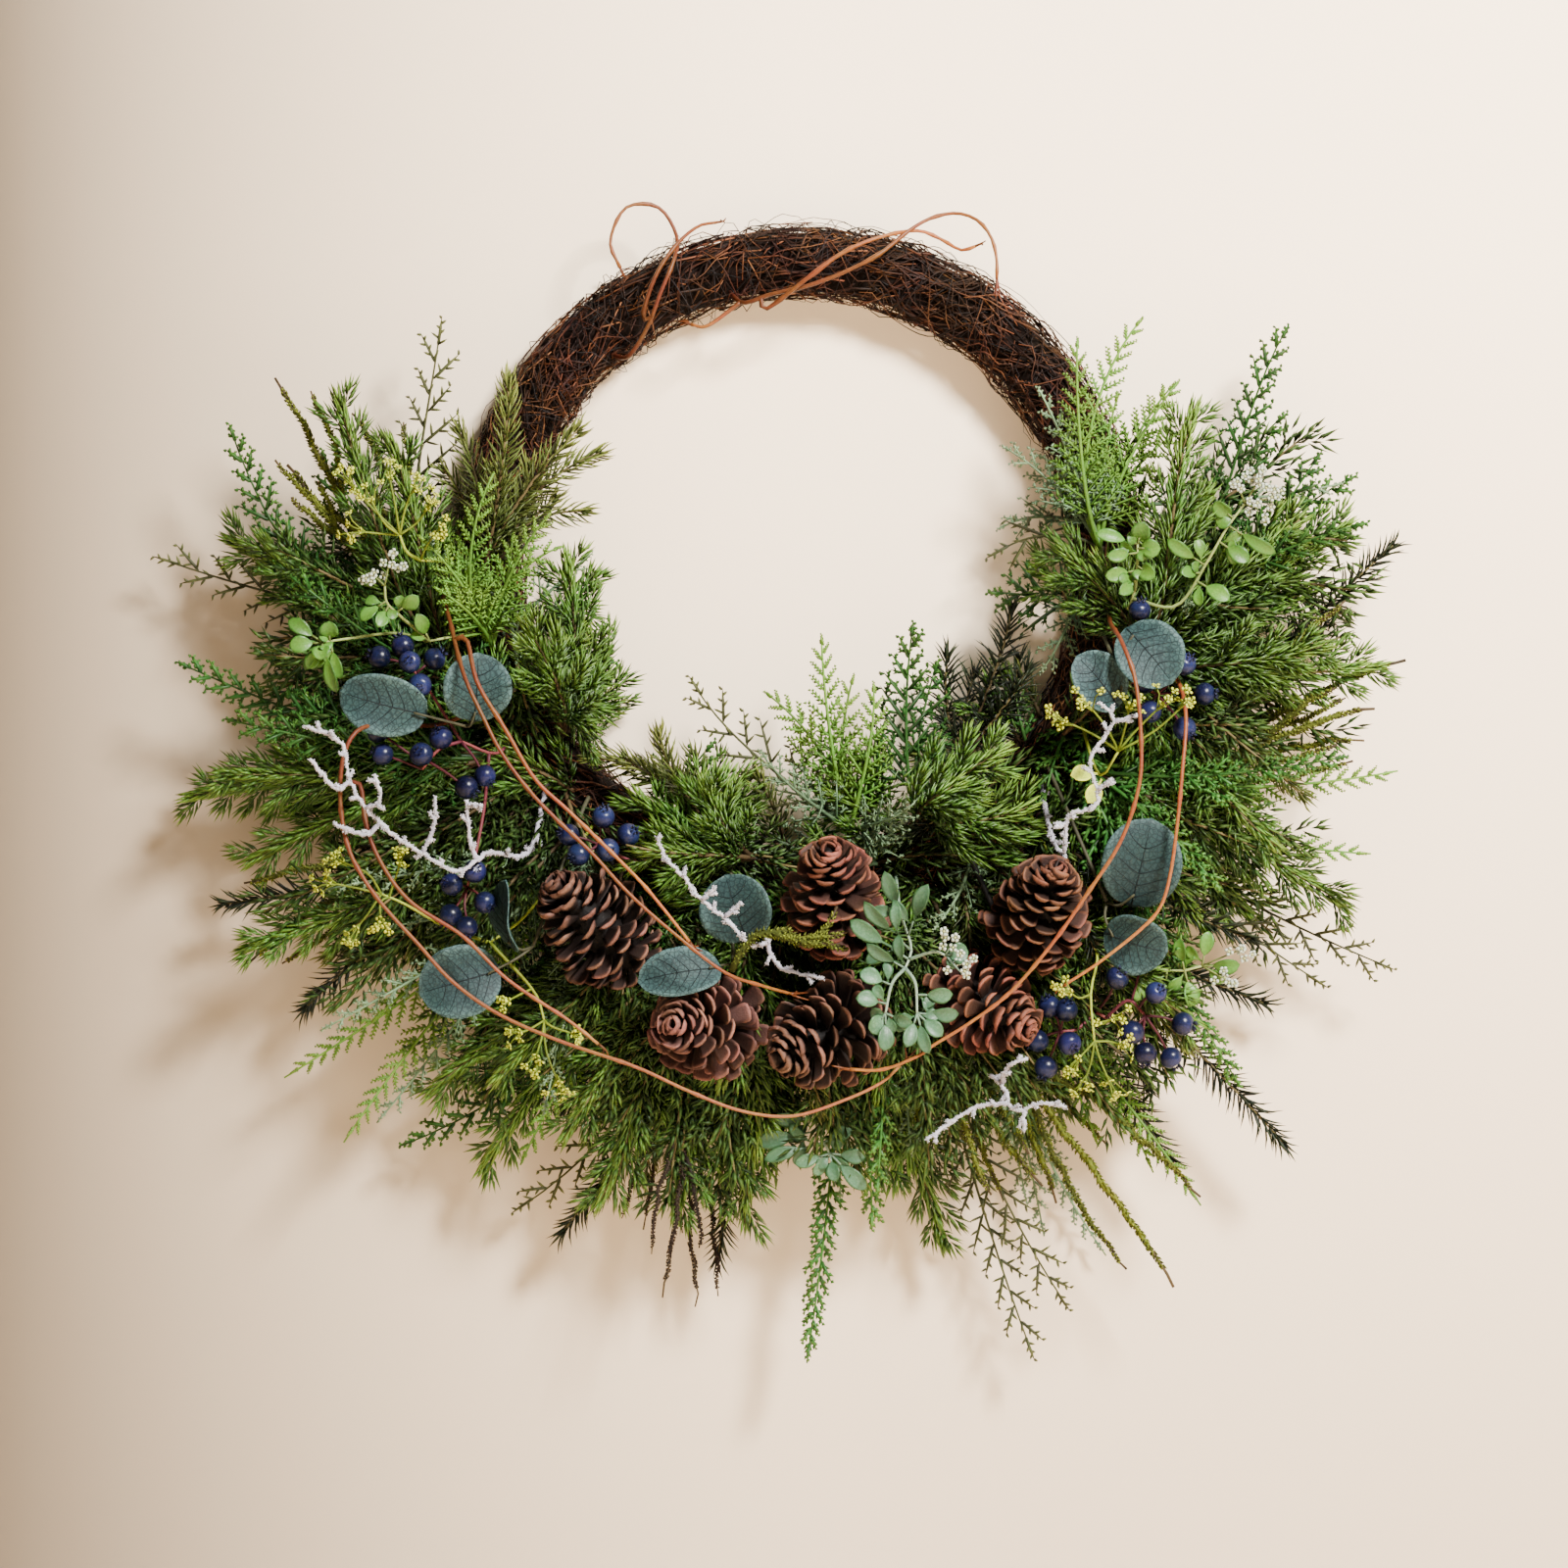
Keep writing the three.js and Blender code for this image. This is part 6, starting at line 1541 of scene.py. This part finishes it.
def grow_cone(cone, count):
    """A pinecone: a stem, a core, and scales in a spiral that closes at its tip."""
    name, at, axis, long, wide, turn, round_tube = cone
    rng = draws(name)
    growth = Growth()
    middle, normal = ring_frame(turn, round_tube)
    centre = place(at)
    way, side, up = basis([axis[0], -axis[1], axis[2]])
    under, inside = (centre - way * long * share for share in (0.62, 0.36))
    stem = [middle + normal * STEM_FOOT, middle + normal * STEM_TOP, under, inside]
    add_tube(growth, smooth_path(stem, 14), 2.0, 7)
    core = centre + way * (np.linspace(-0.5, 0.44, 14) * long)[:, None]
    swell = np.array([wide * 0.2 * cone_swell(t) for t in np.linspace(0.02, 0.96, 14)])
    add_tube(growth, core, swell, 12)
    # t runs from the cone's foot to its tip, and bud over the last part, where it closes.
    for k in range(count):
        t = (k + 0.5) / count
        angle = k * GOLDEN + rng.normal(0, 0.09)
        out = math.cos(angle) * side + math.sin(angle) * up
        bud = max(0.0, (t - 0.84) / 0.16)
        rise = math.radians(-20 + 72 * t ** 1.5 + 12 * bud + rng.normal(0, 6 + 9 * t ** 3))
        reach = wide * 0.5 * max(cone_swell(t) * (1 - bud), 0.38 - 0.3 * bud)
        reach *= rng.uniform(0.88 - 0.1 * t, 1.08)
        inner = wide * 0.1 * (1 - 0.9 * t * t)
        size = min((reach - inner) / max(math.cos(rise), 0.4), wide * 0.46)
        size = max(size, wide * (0.22 - 0.04 * bud))
        lean = out * math.cos(rise) + way * math.sin(rise)
        top = unit(way * math.cos(rise) - out * math.sin(rise))
        height = (t - 0.5) * 0.94 - 0.085 * bud - 0.35 * size * math.sin(rise) / long
        base = centre + way * long * height + out * inner
        broad = wide * (0.11 + 0.1 * math.sin(math.pi * min(1, 0.1 + t * 0.8)))
        broad *= rng.uniform(0.85, 1.12)
        top = unit(top + np.cross(lean, top) * rng.normal(0, 0.2))
        curl = 0.16 + rng.normal(0, 0.06)
        add_scale(growth, base, lean, top, size, broad, wide * 0.058, curl, rng.random())
    growth.piece(name, "_scales", CONE_LOOKS[name])


# The ring's core: its radius in millimetres, and its parts round the ring and round the tube. Its
# dark colour is painted shade between the twigs over it.
CORE_RADIUS = 18.0
CORE_PARTS = 60
CORE_SIDES = 14
# The part of the ring, in degrees, where no pick lies over it and loose twigs show.
BARE_ARC = (12, 168)


def ring_spots(turns, rounds, radii):
    """Places on the ring's tube, by arrays of angles and distances from the tube's middle."""
    outward = np.stack([np.cos(turns), 0 * turns, np.sin(turns)], axis=-1)
    normal = outward * np.cos(rounds)[..., None] + VIEWER * np.sin(rounds)[..., None]
    middle = outward * RING_RADIUS + [0.0, -RING_DEPTH, -RING_RADIUS]
    spots = middle + normal * radii[..., None]
    spots[..., 1] = np.minimum(spots[..., 1], RING_LIMIT)
    return spots


def add_ring_twigs(growth, rng, count, spans, swing, radius, thin, places, lift=0.0, curl=0.1,
                   arc=None, kind=0):
    """Twigs along the ring: spans in degrees, radius from the tube's middle, lift of the middle."""
    start = rng.uniform(0, 2 * math.pi, count) if arc is None else np.radians(
        rng.uniform(*arc, count))
    span = np.radians(rng.uniform(*spans, count)) * np.where(rng.random(count) < 0.5, 1, -1)
    in_front = rng.random(count) < 0.86
    around = np.where(in_front, rng.uniform(-15, 195, count), rng.uniform(0, 360, count))
    around = np.radians(around)
    lay = LAY_TURNS * span + np.radians(rng.normal(0, swing, count))
    t = np.linspace(0, 1, places)[None, :]
    column = (count, 1)
    level = rng.uniform(*radius, count)[:, None]
    wave = rng.uniform(0.4, 1.4, column) * np.sin(
        t * rng.uniform(3, 9, column) + rng.uniform(0, 6, column))
    radii = level + wave + lift * np.sin(math.pi * t) ** 0.7 * rng.uniform(0.3, 1, column)
    bend = curl * np.sin(t * rng.uniform(4, 11, column) + rng.uniform(0, 6, column))
    turns = start[:, None] + span[:, None] * t
    paths = ring_spots(turns, around[:, None] + lay[:, None] * t + bend, radii)
    width = rng.uniform(*thin, column) * (1 - 0.35 * t)
    add_tubes(growth, paths, width, 3, np.broadcast_to(t, (count, places)), rng.random(count), kind)


def grow_ring(count):
    """The ring: a core in painted shade, a twig bundle over it, loose fine twigs, and rootlets."""
    rng = draws("twig_ring")
    growth = Growth()
    turns = np.linspace(0, 2 * math.pi, CORE_PARTS + 1)[:-1]
    rounds = np.linspace(0, 2 * math.pi, CORE_SIDES + 1)[:-1]
    tt, rr = np.meshgrid(turns, rounds, indexing="ij")
    core = ring_spots(tt, rr, np.full(tt.shape, CORE_RADIUS)).reshape(-1, 3)
    faces = []
    for i in range(CORE_PARTS):
        faces += band(i * CORE_SIDES, (i + 1) % CORE_PARTS * CORE_SIDES, CORE_SIDES)
    # The core's dark colour paints the shade deep under the twigs.
    growth.add(core, np.array(faces)[:, [0, 2, 1]], 0.0, 0.0, 1)
    add_ring_twigs(growth, rng, count, spans=(6, 18), swing=40, radius=(18.0, 23.0),
                   thin=(0.5, 0.95), places=4)
    add_ring_twigs(growth, rng, count // 2, spans=(4, 12), swing=110, radius=(20.5, 24.2),
                   thin=(0.3, 0.65), places=6, lift=0.8, curl=0.3)
    add_ring_twigs(growth, rng, 170, spans=(8, 22), swing=140, radius=(21.0, 24.0),
                   thin=(0.3, 0.55), places=9, lift=4.5, curl=0.25, arc=BARE_ARC)
    add_ring_twigs(growth, rng, 110, spans=(3, 10), swing=170, radius=(19.0, 23.0),
                   thin=(0.22, 0.36), places=8, lift=8.5, curl=0.4, arc=BARE_ARC, kind=2)
    growth.piece("twig_ring", "_bundle", "ring_twig", "ring_core", "rootlet")


SLOTS = {part["node"]: part["material_slot"] for part in frame["record"]["subparts"]}

# Each finish: its colour low down or inside, its main colour, its colour at tips or rims, its
# roughness, the size of its grain in millimetres, how deep the grain is, and how much parts of
# it differ in tone.
LOOKS = {
    "stem": ("3a2a1a", "574a2a", "72683a", 0.6, 1.2, 0.3, 0.5),
    "fir": ("2b3616", "4f5d20", "8c9636", 0.4, 2.0, 0.2, 0.5),
    "dark_fir": ("0c120a", "171f10", "36452a", 0.4, 2.0, 0.2, 0.45),
    "pine": ("223c0e", "4b751b", "8cb430", 0.4, 2.0, 0.2, 0.55),
    "cedar": ("12300e", "255318", "578a28", 0.4, 2.0, 0.2, 0.45),
    "frosted": ("3a6418", "629426", "90ba30", 0.5, 1.5, 0.2, 0.35),
    "glaucous": ("435f42", "708f66", "a6bc8c", 0.5, 1.5, 0.2, 0.4),
    "tracery": ("2b2f1a", "454a26", "6a7038", 0.5, 1.5, 0.3, 0.35),
    "fern": ("1c4816", "376f22", "6fa23a", 0.42, 1.5, 0.2, 0.45),
    "twig": ("20170e", "30241a", "46382a", 0.8, 1.0, 0.4, 0.4),
    "moss": ("2a2d08", "596210", "949e1e", 0.85, 0.8, 0.5, 0.6),
    # Filler greenery behind the rest: its dark colour is painted shade.
    "shade": ("1b2d0f", "324f19", "5f7f2d", 0.5, 2.0, 0.2, 0.5),
    "ring_twig": ("1a0a03", "361b09", "724420", 0.6, 0.9, 0.5, 0.95),
    # The ring's core: its dark colour is painted shade under the twigs.
    "ring_core": ("180c04", "201006", "2a1608", 1.0, 1.5, 1.0, 0.2),
    "rootlet": ("1b1514", "2a2323", "3a3334", 0.6, 1.0, 0.2, 0.3),
    "cone_grey": ("150c08", "372a25", "78503b", 0.6, 1.0, 0.9, 0.5),
    "cone_pink": ("180d0a", "4a312a", "825442", 0.6, 1.0, 0.9, 0.5),
    "cone_red": ("180c08", "462c22", "814a31", 0.6, 1.0, 0.9, 0.5),
    "cone_dark": ("110906", "311f17", "6e4429", 0.6, 1.0, 0.9, 0.5),
    "eucalyptus_stem": ("4a4a34", "6c6f4c", "8c9068", 0.6, 1.5, 0.2, 0.2),
    "eucalyptus": ("213637", "2c4546", "537270", 0.55, 0.9, 0.3, 0.2),
    "eucalyptus_vein": ("081214", "0c1719", "16262a", 0.6, 1.5, 0.2, 0.2),
    "sage": ("587f62", "4f7656", "2f5a28", 0.42, 1.6, 0.2, 0.35),
    "sage_stem": ("6d8a72", "86a184", "a5bb9c", 0.6, 1.5, 0.2, 0.2),
    "lime": ("588420", "4e7c22", "2c5a18", 0.4, 1.6, 0.2, 0.35),
    "lime_stem": ("6c7c3a", "8a9c4c", "a5b865", 0.6, 1.5, 0.2, 0.2),
    "petal": ("a8b890", "c6d2b8", "e4ebdb", 0.6, 1.0, 0.1, 0.1),
    "flower_eye": ("aab060", "c9cf7c", "e0e4a0", 0.7, 0.8, 0.3, 0.2),
    "umbel_stem": ("6a7d10", "88981a", "a5b42c", 0.55, 1.2, 0.2, 0.2),
    "umbel": ("93a410", "bcca1c", "dce642", 0.5, 1.0, 0.1, 0.2),
    "umbel_eye": ("97a018", "b4ba24", "d0d444", 0.7, 0.8, 0.3, 0.2),
    "berry": ("080a20", "0e112d", "191d4a", 0.3, 1.1, 0.2, 0.45),
    "berry_stem": ("4a1820", "6c2630", "8a4038", 0.5, 1.5, 0.2, 0.2),
    "crown": ("0c0b1e", "16162e", "2c305a", 0.5, 1.0, 0.2, 0.2),
    "flock": ("b0a9ba", "d8d3e0", "f6f4fa", 0.95, 1.0, 0.9, 0.25),
    "vine": ("562a08", "80440f", "a06018", 0.4, 2.2, 0.3, 0.35),
    "vine_red": ("4a230c", "703d16", "935a2a", 0.45, 2.2, 0.3, 0.35),
}
# How far every finish is darkened and enriched for the strong light of the stage.
DIM = 0.58
RICH = 0.94
# Finishes with veins or specks: their size in millimetres, their colour and their strength.
VEINED = {
    "sage": (2.4, "2c5230", 0.55), "lime": (2.6, "3a6a1c", 0.5),
    "eucalyptus": (3.0, "0a1416", 0.75),
}
SPECKLED = {"berry": (0.8, "343a78", 0.4), "eucalyptus": (2.0, "0e191b", 0.6)}
# Finishes with a coat: its weight and its roughness.
COATED = {"berry": (0.05, 0.2)}
# The shine of the smooth finishes, and of the others.
SHINE = {"berry": 0.16, "eucalyptus": 0.12, "lime": 0.22, "sage": 0.22, "pine": 0.24, "fir": 0.2}
PLAIN_SHINE = 0.14
# The scale of the broad changes of hue, and the depth of every finish's relief in metres.
BROAD_SCALE = 45.0
RELIEF = 0.0004
# Ranges, as from, to, value at from and value at to: how grain darkens and broad noise turns the
# hue, how a vein and a speck fade, and how the painted shade on the wall, where the light falls
# off, grows low down and to the left and fades out far left.
BY_GRAIN = (0.3, 0.7, 0.78, 1.2)
BY_BROAD = (0.3, 0.7, 0.48, 0.51)
VEIN_FADE = (0.0, 0.16)
SPECK_FADE = (0.12, 0.3)
WALL_SHADE_LOW = (-0.8, 0.0, 0.45, 0.0)
WALL_SHADE_LEFT = (-0.5, 0.02, 1.0, 0.0)
WALL_SHADE_FAR = (-1.9, -0.5, 0.0, 1.0)
WALL_SHADE_CURVE = 1.5
# The plaster: its grain's scale, detail, strength and depth, its roughness and its shine.
PLASTER_GRAIN = (60.0, 6.0)
PLASTER_RELIEF = (0.06, 0.002)
PLASTER_ROUGHNESS = 0.9
PLASTER_SHINE = 0.2


def linear(code):
    """A colour written as hex, in the linear light that shaders take."""
    parts = [int(code[k:k + 2], 16) / 255 for k in (0, 2, 4)]
    return tuple(p / 12.92 if p <= 0.04045 else ((p + 0.055) / 1.055) ** 2.4 for p in parts)


def wired(tree, kind, inputs=(), **values):
    """A node with its values set and its inputs linked."""
    node = tree.nodes.new(kind)
    for key, value in values.items():
        setattr(node, key, value)
    for socket, source in dict(inputs).items():
        if isinstance(source, bpy.types.NodeSocket):
            tree.links.new(source, node.inputs[socket])
        else:
            node.inputs[socket].default_value = source
    return node


def ranged(tree, value, low, high, at_low, at_high, **values):
    """A value carried from one range to another, and held at its ends."""
    inputs = {"Value": value, 1: low, 2: high, 3: at_low, 4: at_high}
    return wired(tree, "ShaderNodeMapRange", inputs, **values).outputs[0]


def worked(tree, operation, a, b):
    return wired(tree, "ShaderNodeMath", {0: a, 1: b}, operation=operation).outputs[0]


def noise(tree, spot, scale, detail):
    inputs = {"Vector": spot, "Scale": scale, "Detail": detail}
    return wired(tree, "ShaderNodeTexNoise", inputs).outputs["Fac"]


def cells(tree, spot, size, **values):
    """Distances in cells, with their size in millimetres."""
    inputs = {"Vector": spot, "Scale": 1000 / size}
    return wired(tree, "ShaderNodeTexVoronoi", inputs, **values).outputs["Distance"]


def ramp(tree, factor, stops):
    node = wired(tree, "ShaderNodeValToRGB", {0: factor})
    while len(node.color_ramp.elements) < len(stops):
        node.color_ramp.elements.new(0.5)
    for element, (place_on, colour) in zip(node.color_ramp.elements, stops):
        element.position = place_on
        element.color = (*colour, 1.0)
    return node.outputs[0]


def blended(tree, factor, base, code):
    """A colour, or one written as hex, blended by a factor with another that is written as hex."""
    base = base if isinstance(base, bpy.types.NodeSocket) else (*linear(base), 1.0)
    inputs = {0: factor, 6: base, 7: (*linear(code), 1.0)}
    return wired(tree, "ShaderNodeMix", inputs, data_type="RGBA", blend_type="MIX").outputs[2]


def new_material(title):
    """A material, its node tree and its shader."""
    material = bpy.data.materials.new(title)
    material.use_nodes = True
    tree = material.node_tree
    return material, tree, tree.nodes["Principled BSDF"]


def surface(tree, shader, colour, height, strength, depth):
    """Gives a shader its colour and its relief."""
    inputs = {"Strength": strength, "Distance": depth, "Height": height}
    bump = wired(tree, "ShaderNodeBump", inputs)
    tree.links.new(colour, shader.inputs["Base Color"])
    tree.links.new(bump.outputs[0], shader.inputs["Normal"])


def finish(look):
    """The material of a finish, made the first time that it is asked for."""
    title = "wreath_" + look
    if title in bpy.data.materials:
        return bpy.data.materials[title]
    dark, _, light, roughness, grain, depth, spread = LOOKS[look]
    main = tuple(getattr(bpy.context.scene.wreath_colours, look))
    material, tree, shader = new_material(title)
    tint = wired(tree, "ShaderNodeAttribute", attribute_name="tint").outputs["Fac"]
    tone = wired(tree, "ShaderNodeAttribute", attribute_name="tone").outputs["Fac"]
    spot = wired(tree, "ShaderNodeTexCoord").outputs["Object"]
    fine = noise(tree, spot, 1000 / grain, 3.0)
    broad = noise(tree, spot, BROAD_SCALE, 2.0)
    colour = ramp(tree, tint, [(0.0, linear(dark)), (0.5, main), (1.0, linear(light))])
    by_grain = ranged(tree, fine, *BY_GRAIN)
    by_tone = ranged(tree, tone, 0.0, 1.0, 1 - spread, 1 + spread)
    value = worked(tree, "MULTIPLY", by_grain, by_tone)
    value = worked(tree, "MULTIPLY", value, DIM)
    hue = ranged(tree, broad, *BY_BROAD)
    inputs = {"Hue": hue, "Saturation": RICH, "Value": value, "Color": colour}
    colour = wired(tree, "ShaderNodeHueSaturation", inputs).outputs[0]
    height = fine
    if look in VEINED:
        size, vein, share = VEINED[look]
        edges = cells(tree, spot, size, feature="DISTANCE_TO_EDGE")
        line = ranged(tree, edges, *VEIN_FADE, share, 0.0)
        colour = blended(tree, line, colour, vein)
        height = worked(tree, "ADD", fine, line)
    if look in SPECKLED:
        size, speck, share = SPECKLED[look]
        dot = ranged(tree, cells(tree, spot, size), *SPECK_FADE, share, 0.0)
        colour = blended(tree, dot, colour, speck)
    surface(tree, shader, colour, height, depth, RELIEF)
    shader.inputs["Roughness"].default_value = roughness
    shader.inputs["Specular IOR Level"].default_value = SHINE.get(look, PLAIN_SHINE)
    if look in COATED:
        weight, coat_roughness = COATED[look]
        shader.inputs["Coat Weight"].default_value = weight
        shader.inputs["Coat Roughness"].default_value = coat_roughness
    return material


class WreathSizes(bpy.types.PropertyGroup):
    """How densely the wreath is dressed."""

    fullness: FloatProperty(
        name="Fullness", description="How many lesser shoots keep each shoot company",
        default=1.0, min=0.0, max=2.0, subtype="FACTOR")
    ring_twigs: IntProperty(
        name="Ring twigs", description="Fine twigs that run along the ring",
        default=1350, min=100, max=4000)
    cone_scales: IntProperty(
        name="Cone scales", description="Scales on each pinecone", default=104, min=20, max=200)
    camera_distance: FloatProperty(
        name="Camera distance", description="From the wall to the camera",
        default=4.07, min=1.0, max=10.0, unit="LENGTH")


class WreathColours(bpy.types.PropertyGroup):
    """The main colour of every finish."""


WreathColours.__annotations__ = {
    look: FloatVectorProperty(
        name=look.replace("_", " ").capitalize(),
        description="Main colour of the " + look.replace("_", " "),
        subtype="COLOR", size=3, min=0.0, max=1.0, default=linear(values[1]))
    for look, values in LOOKS.items()
}


def sizes():
    return bpy.context.scene.wreath_sizes


class WREATH_OT_ring(bpy.types.Operator):
    """Winds the ring's bundle of fine twigs"""

    bl_idname = "wreath.ring"
    bl_label = "Twig ring"

    def execute(self, context):
        grow_ring(sizes().ring_twigs)
        return {"FINISHED"}


class WREATH_OT_cones(bpy.types.Operator):
    """Makes the six pinecones, scale by scale"""

    bl_idname = "wreath.cones"
    bl_label = "Pinecones"

    def execute(self, context):
        for cone in CONES:
            grow_cone(cone, sizes().cone_scales)
        return {"FINISHED"}


class WREATH_OT_round_leaves(bpy.types.Operator):
    """Makes the pairs of round blue-grey leaves"""

    bl_idname = "wreath.round_leaves"
    bl_label = "Round leaves"

    def execute(self, context):
        for pair in EUCALYPTUS:
            grow_eucalyptus(pair)
        return {"FINISHED"}


class WREATH_OT_berries(bpy.types.Operator):
    """Makes the clusters of dark blue berries"""

    bl_idname = "wreath.berries"
    bl_label = "Berries"

    def execute(self, context):
        grow_family("berry")
        return {"FINISHED"}


class WREATH_OT_leaf_sprays(bpy.types.Operator):
    """Makes the sprays of small pale leaves and white flowers"""

    bl_idname = "wreath.leaf_sprays"
    bl_label = "Leaf sprays"

    def execute(self, context):
        grow_family("sage")
        return {"FINISHED"}


class WREATH_OT_umbels(bpy.types.Operator):
    """Makes the umbels of yellow-green florets"""

    bl_idname = "wreath.umbels"
    bl_label = "Umbels"

    def execute(self, context):
        grow_family("umbel")
        return {"FINISHED"}


class WREATH_OT_flocked_twigs(bpy.types.Operator):
    """Makes the pale flocked twigs"""

    bl_idname = "wreath.flocked_twigs"
    bl_label = "Flocked twigs"

    def execute(self, context):
        grow_family("flocked")
        return {"FINISHED"}


class WREATH_OT_vines(bpy.types.Operator):
    """Makes the long tan vines"""

    bl_idname = "wreath.vines"
    bl_label = "Vines"

    def execute(self, context):
        grow_family("vine")
        return {"FINISHED"}


class WREATH_OT_greenery(bpy.types.Operator):
    """Grows needles, leaflets and moss on every evergreen pick"""

    bl_idname = "wreath.greenery"
    bl_label = "Greenery"

    def execute(self, context):
        keep = kept_clear()
        for pick in PICKS:
            grow_pick(pick, keep, sizes().fullness)
        return {"FINISHED"}


# The stage, in metres: the wall's face, the floor, how far both reach, and their colours: the
# pale plaster, and the painted shade on the wall where the light falls off.
WALL_Y = 0.002
FLOOR_Z = -1.15
WALL_TOP = 1.6
REACH = 6
WALL_PALE = "f8e3c6"
WALL_SHADE = "6c5f4e"
# Each light: its name, its place, its size, its power and its colour. All aim at the wreath.
LIGHTS = (
    ("key", (1.5, -2.4, 1.5), 0.75, 590.0, (1.0, 0.97, 0.93)),
    ("fill", (-1.2, -3.2, 0.4), 2.6, 5.0, (1.0, 0.98, 0.96)),
    ("behind", (0.8, 2.6, 1.2), 2.4, 90.0, (1.0, 0.98, 0.96)),
)
LIGHTS_AIM = (0.0, -0.05, -0.33)
WORLD_COLOUR = (1.0, 0.97, 0.94, 1.0)
WORLD_POWER = 0.13
# The lens and its sensor in millimetres, and the camera's place across and up in metres.
LENS = 150.0
SENSOR = 36.0
CAMERA_X = -0.009
CAMERA_Z = -0.324


def flat_sheet(name, corners, material):
    mesh = bpy.data.meshes.new(name)
    mesh.from_pydata(corners, [], [(0, 1, 2, 3)])
    sheet = bpy.data.objects.new(name, mesh)
    bpy.context.scene.collection.objects.link(sheet)
    sheet.data.materials.append(material)
    return sheet


def plaster(name, pale, deep, one_way):
    """Plaster, darker low down and to the left as painted shade; one_way hides its back."""
    material, tree, shader = new_material(name)
    spot = wired(tree, "ShaderNodeTexCoord").outputs["Object"]
    parts = wired(tree, "ShaderNodeSeparateXYZ", {0: spot}).outputs
    # The painted shade: darker to the left and low down, where the light falls off.
    left = ranged(tree, parts["X"], *WALL_SHADE_LEFT)
    low = ranged(tree, parts["Z"], *WALL_SHADE_LOW)
    left = worked(tree, "POWER", left, WALL_SHADE_CURVE)
    far = ranged(tree, parts["X"], *WALL_SHADE_FAR, interpolation_type="SMOOTHERSTEP")
    left = worked(tree, "MULTIPLY", left, far)
    colour = blended(tree, left, blended(tree, low, pale, deep), deep)
    height = noise(tree, spot, *PLASTER_GRAIN)
    surface(tree, shader, colour, height, *PLASTER_RELIEF)
    shader.inputs["Roughness"].default_value = PLASTER_ROUGHNESS
    shader.inputs["Specular IOR Level"].default_value = PLASTER_SHINE
    if one_way:
        facing = wired(tree, "ShaderNodeNewGeometry").outputs["Backfacing"]
        clear = wired(tree, "ShaderNodeBsdfTransparent").outputs[0]
        inputs = {0: facing, 1: shader.outputs[0], 2: clear}
        seen = wired(tree, "ShaderNodeMixShader", inputs).outputs[0]
        tree.links.new(seen, tree.nodes["Material Output"].inputs["Surface"])
    return material


def soft_light(name, spot, size, power, colour):
    lamp = bpy.data.lights.new(name, "AREA")
    lamp.shape, lamp.size, lamp.energy, lamp.color = "DISK", size, power, colour
    light = bpy.data.objects.new(name, lamp)
    light.location = spot
    aim = Vector(LIGHTS_AIM) - Vector(spot)
    light.rotation_euler = aim.to_track_quat("-Z", "Y").to_euler()
    bpy.context.scene.collection.objects.link(light)


class WREATH_OT_stage(bpy.types.Operator):
    """Sets up the wall, the floor, the lights and the camera"""

    bl_idname = "wreath.stage"
    bl_label = "Stage"

    def execute(self, context):
        wall = flat_sheet("wall", [
            (-REACH, WALL_Y, FLOOR_Z), (REACH, WALL_Y, FLOOR_Z), (REACH, WALL_Y, WALL_TOP),
            (-REACH, WALL_Y, WALL_TOP),
        ], plaster("wall_plaster", WALL_PALE, WALL_SHADE, True))
        wall.visible_shadow = False
        flat_sheet("floor", [
            (-REACH, -REACH, FLOOR_Z), (REACH, -REACH, FLOOR_Z), (REACH, REACH, FLOOR_Z),
            (-REACH, REACH, FLOOR_Z),
        ], plaster("floor_plaster", WALL_PALE, WALL_PALE, False))
        for light in LIGHTS:
            soft_light(*light)
        world = bpy.data.worlds.new("studio")
        context.scene.world = world
        world.use_nodes = True
        background = world.node_tree.nodes["Background"]
        background.inputs["Color"].default_value = WORLD_COLOUR
        background.inputs["Strength"].default_value = WORLD_POWER
        lens = bpy.data.cameras.new("camera")
        lens.lens, lens.sensor_width = LENS, SENSOR
        camera = bpy.data.objects.new("camera", lens)
        camera.location = (CAMERA_X, -sizes().camera_distance, CAMERA_Z)
        camera.rotation_euler = (math.pi / 2, 0.0, 0.0)
        context.scene.collection.objects.link(camera)
        context.scene.camera = camera
        return {"FINISHED"}


STEPS = (
    WREATH_OT_stage, WREATH_OT_ring, WREATH_OT_cones, WREATH_OT_round_leaves, WREATH_OT_berries,
    WREATH_OT_leaf_sprays, WREATH_OT_umbels, WREATH_OT_flocked_twigs, WREATH_OT_vines,
    WREATH_OT_greenery,
)


class WREATH_PT_panel(bpy.types.Panel):
    """Lists the wreath's pieces, sizes and colours"""

    bl_label = "Wreath"
    bl_idname = "WREATH_PT_panel"
    bl_space_type = "VIEW_3D"
    bl_region_type = "UI"
    bl_category = "Wreath"

    def draw(self, context):
        column = self.layout.column()
        for name in WreathSizes.__annotations__:
            column.prop(context.scene.wreath_sizes, name)
        for name in WreathColours.__annotations__:
            column.prop(context.scene.wreath_colours, name)
        for step in STEPS:
            column.operator(step.bl_idname)


CLASSES = (WreathSizes, WreathColours, *STEPS, WREATH_PT_panel)


def register():
    for each in CLASSES:
        bpy.utils.register_class(each)
    bpy.types.Scene.wreath_sizes = PointerProperty(type=WreathSizes)
    bpy.types.Scene.wreath_colours = PointerProperty(type=WreathColours)


def unregister():
    del bpy.types.Scene.wreath_colours
    del bpy.types.Scene.wreath_sizes
    for each in reversed(CLASSES):
        bpy.utils.unregister_class(each)


def main():
    register()
    for step in STEPS:
        group, name = step.bl_idname.split(".")
        getattr(getattr(bpy.ops, group), name)()
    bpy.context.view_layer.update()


if __name__ == "__main__":
    main()
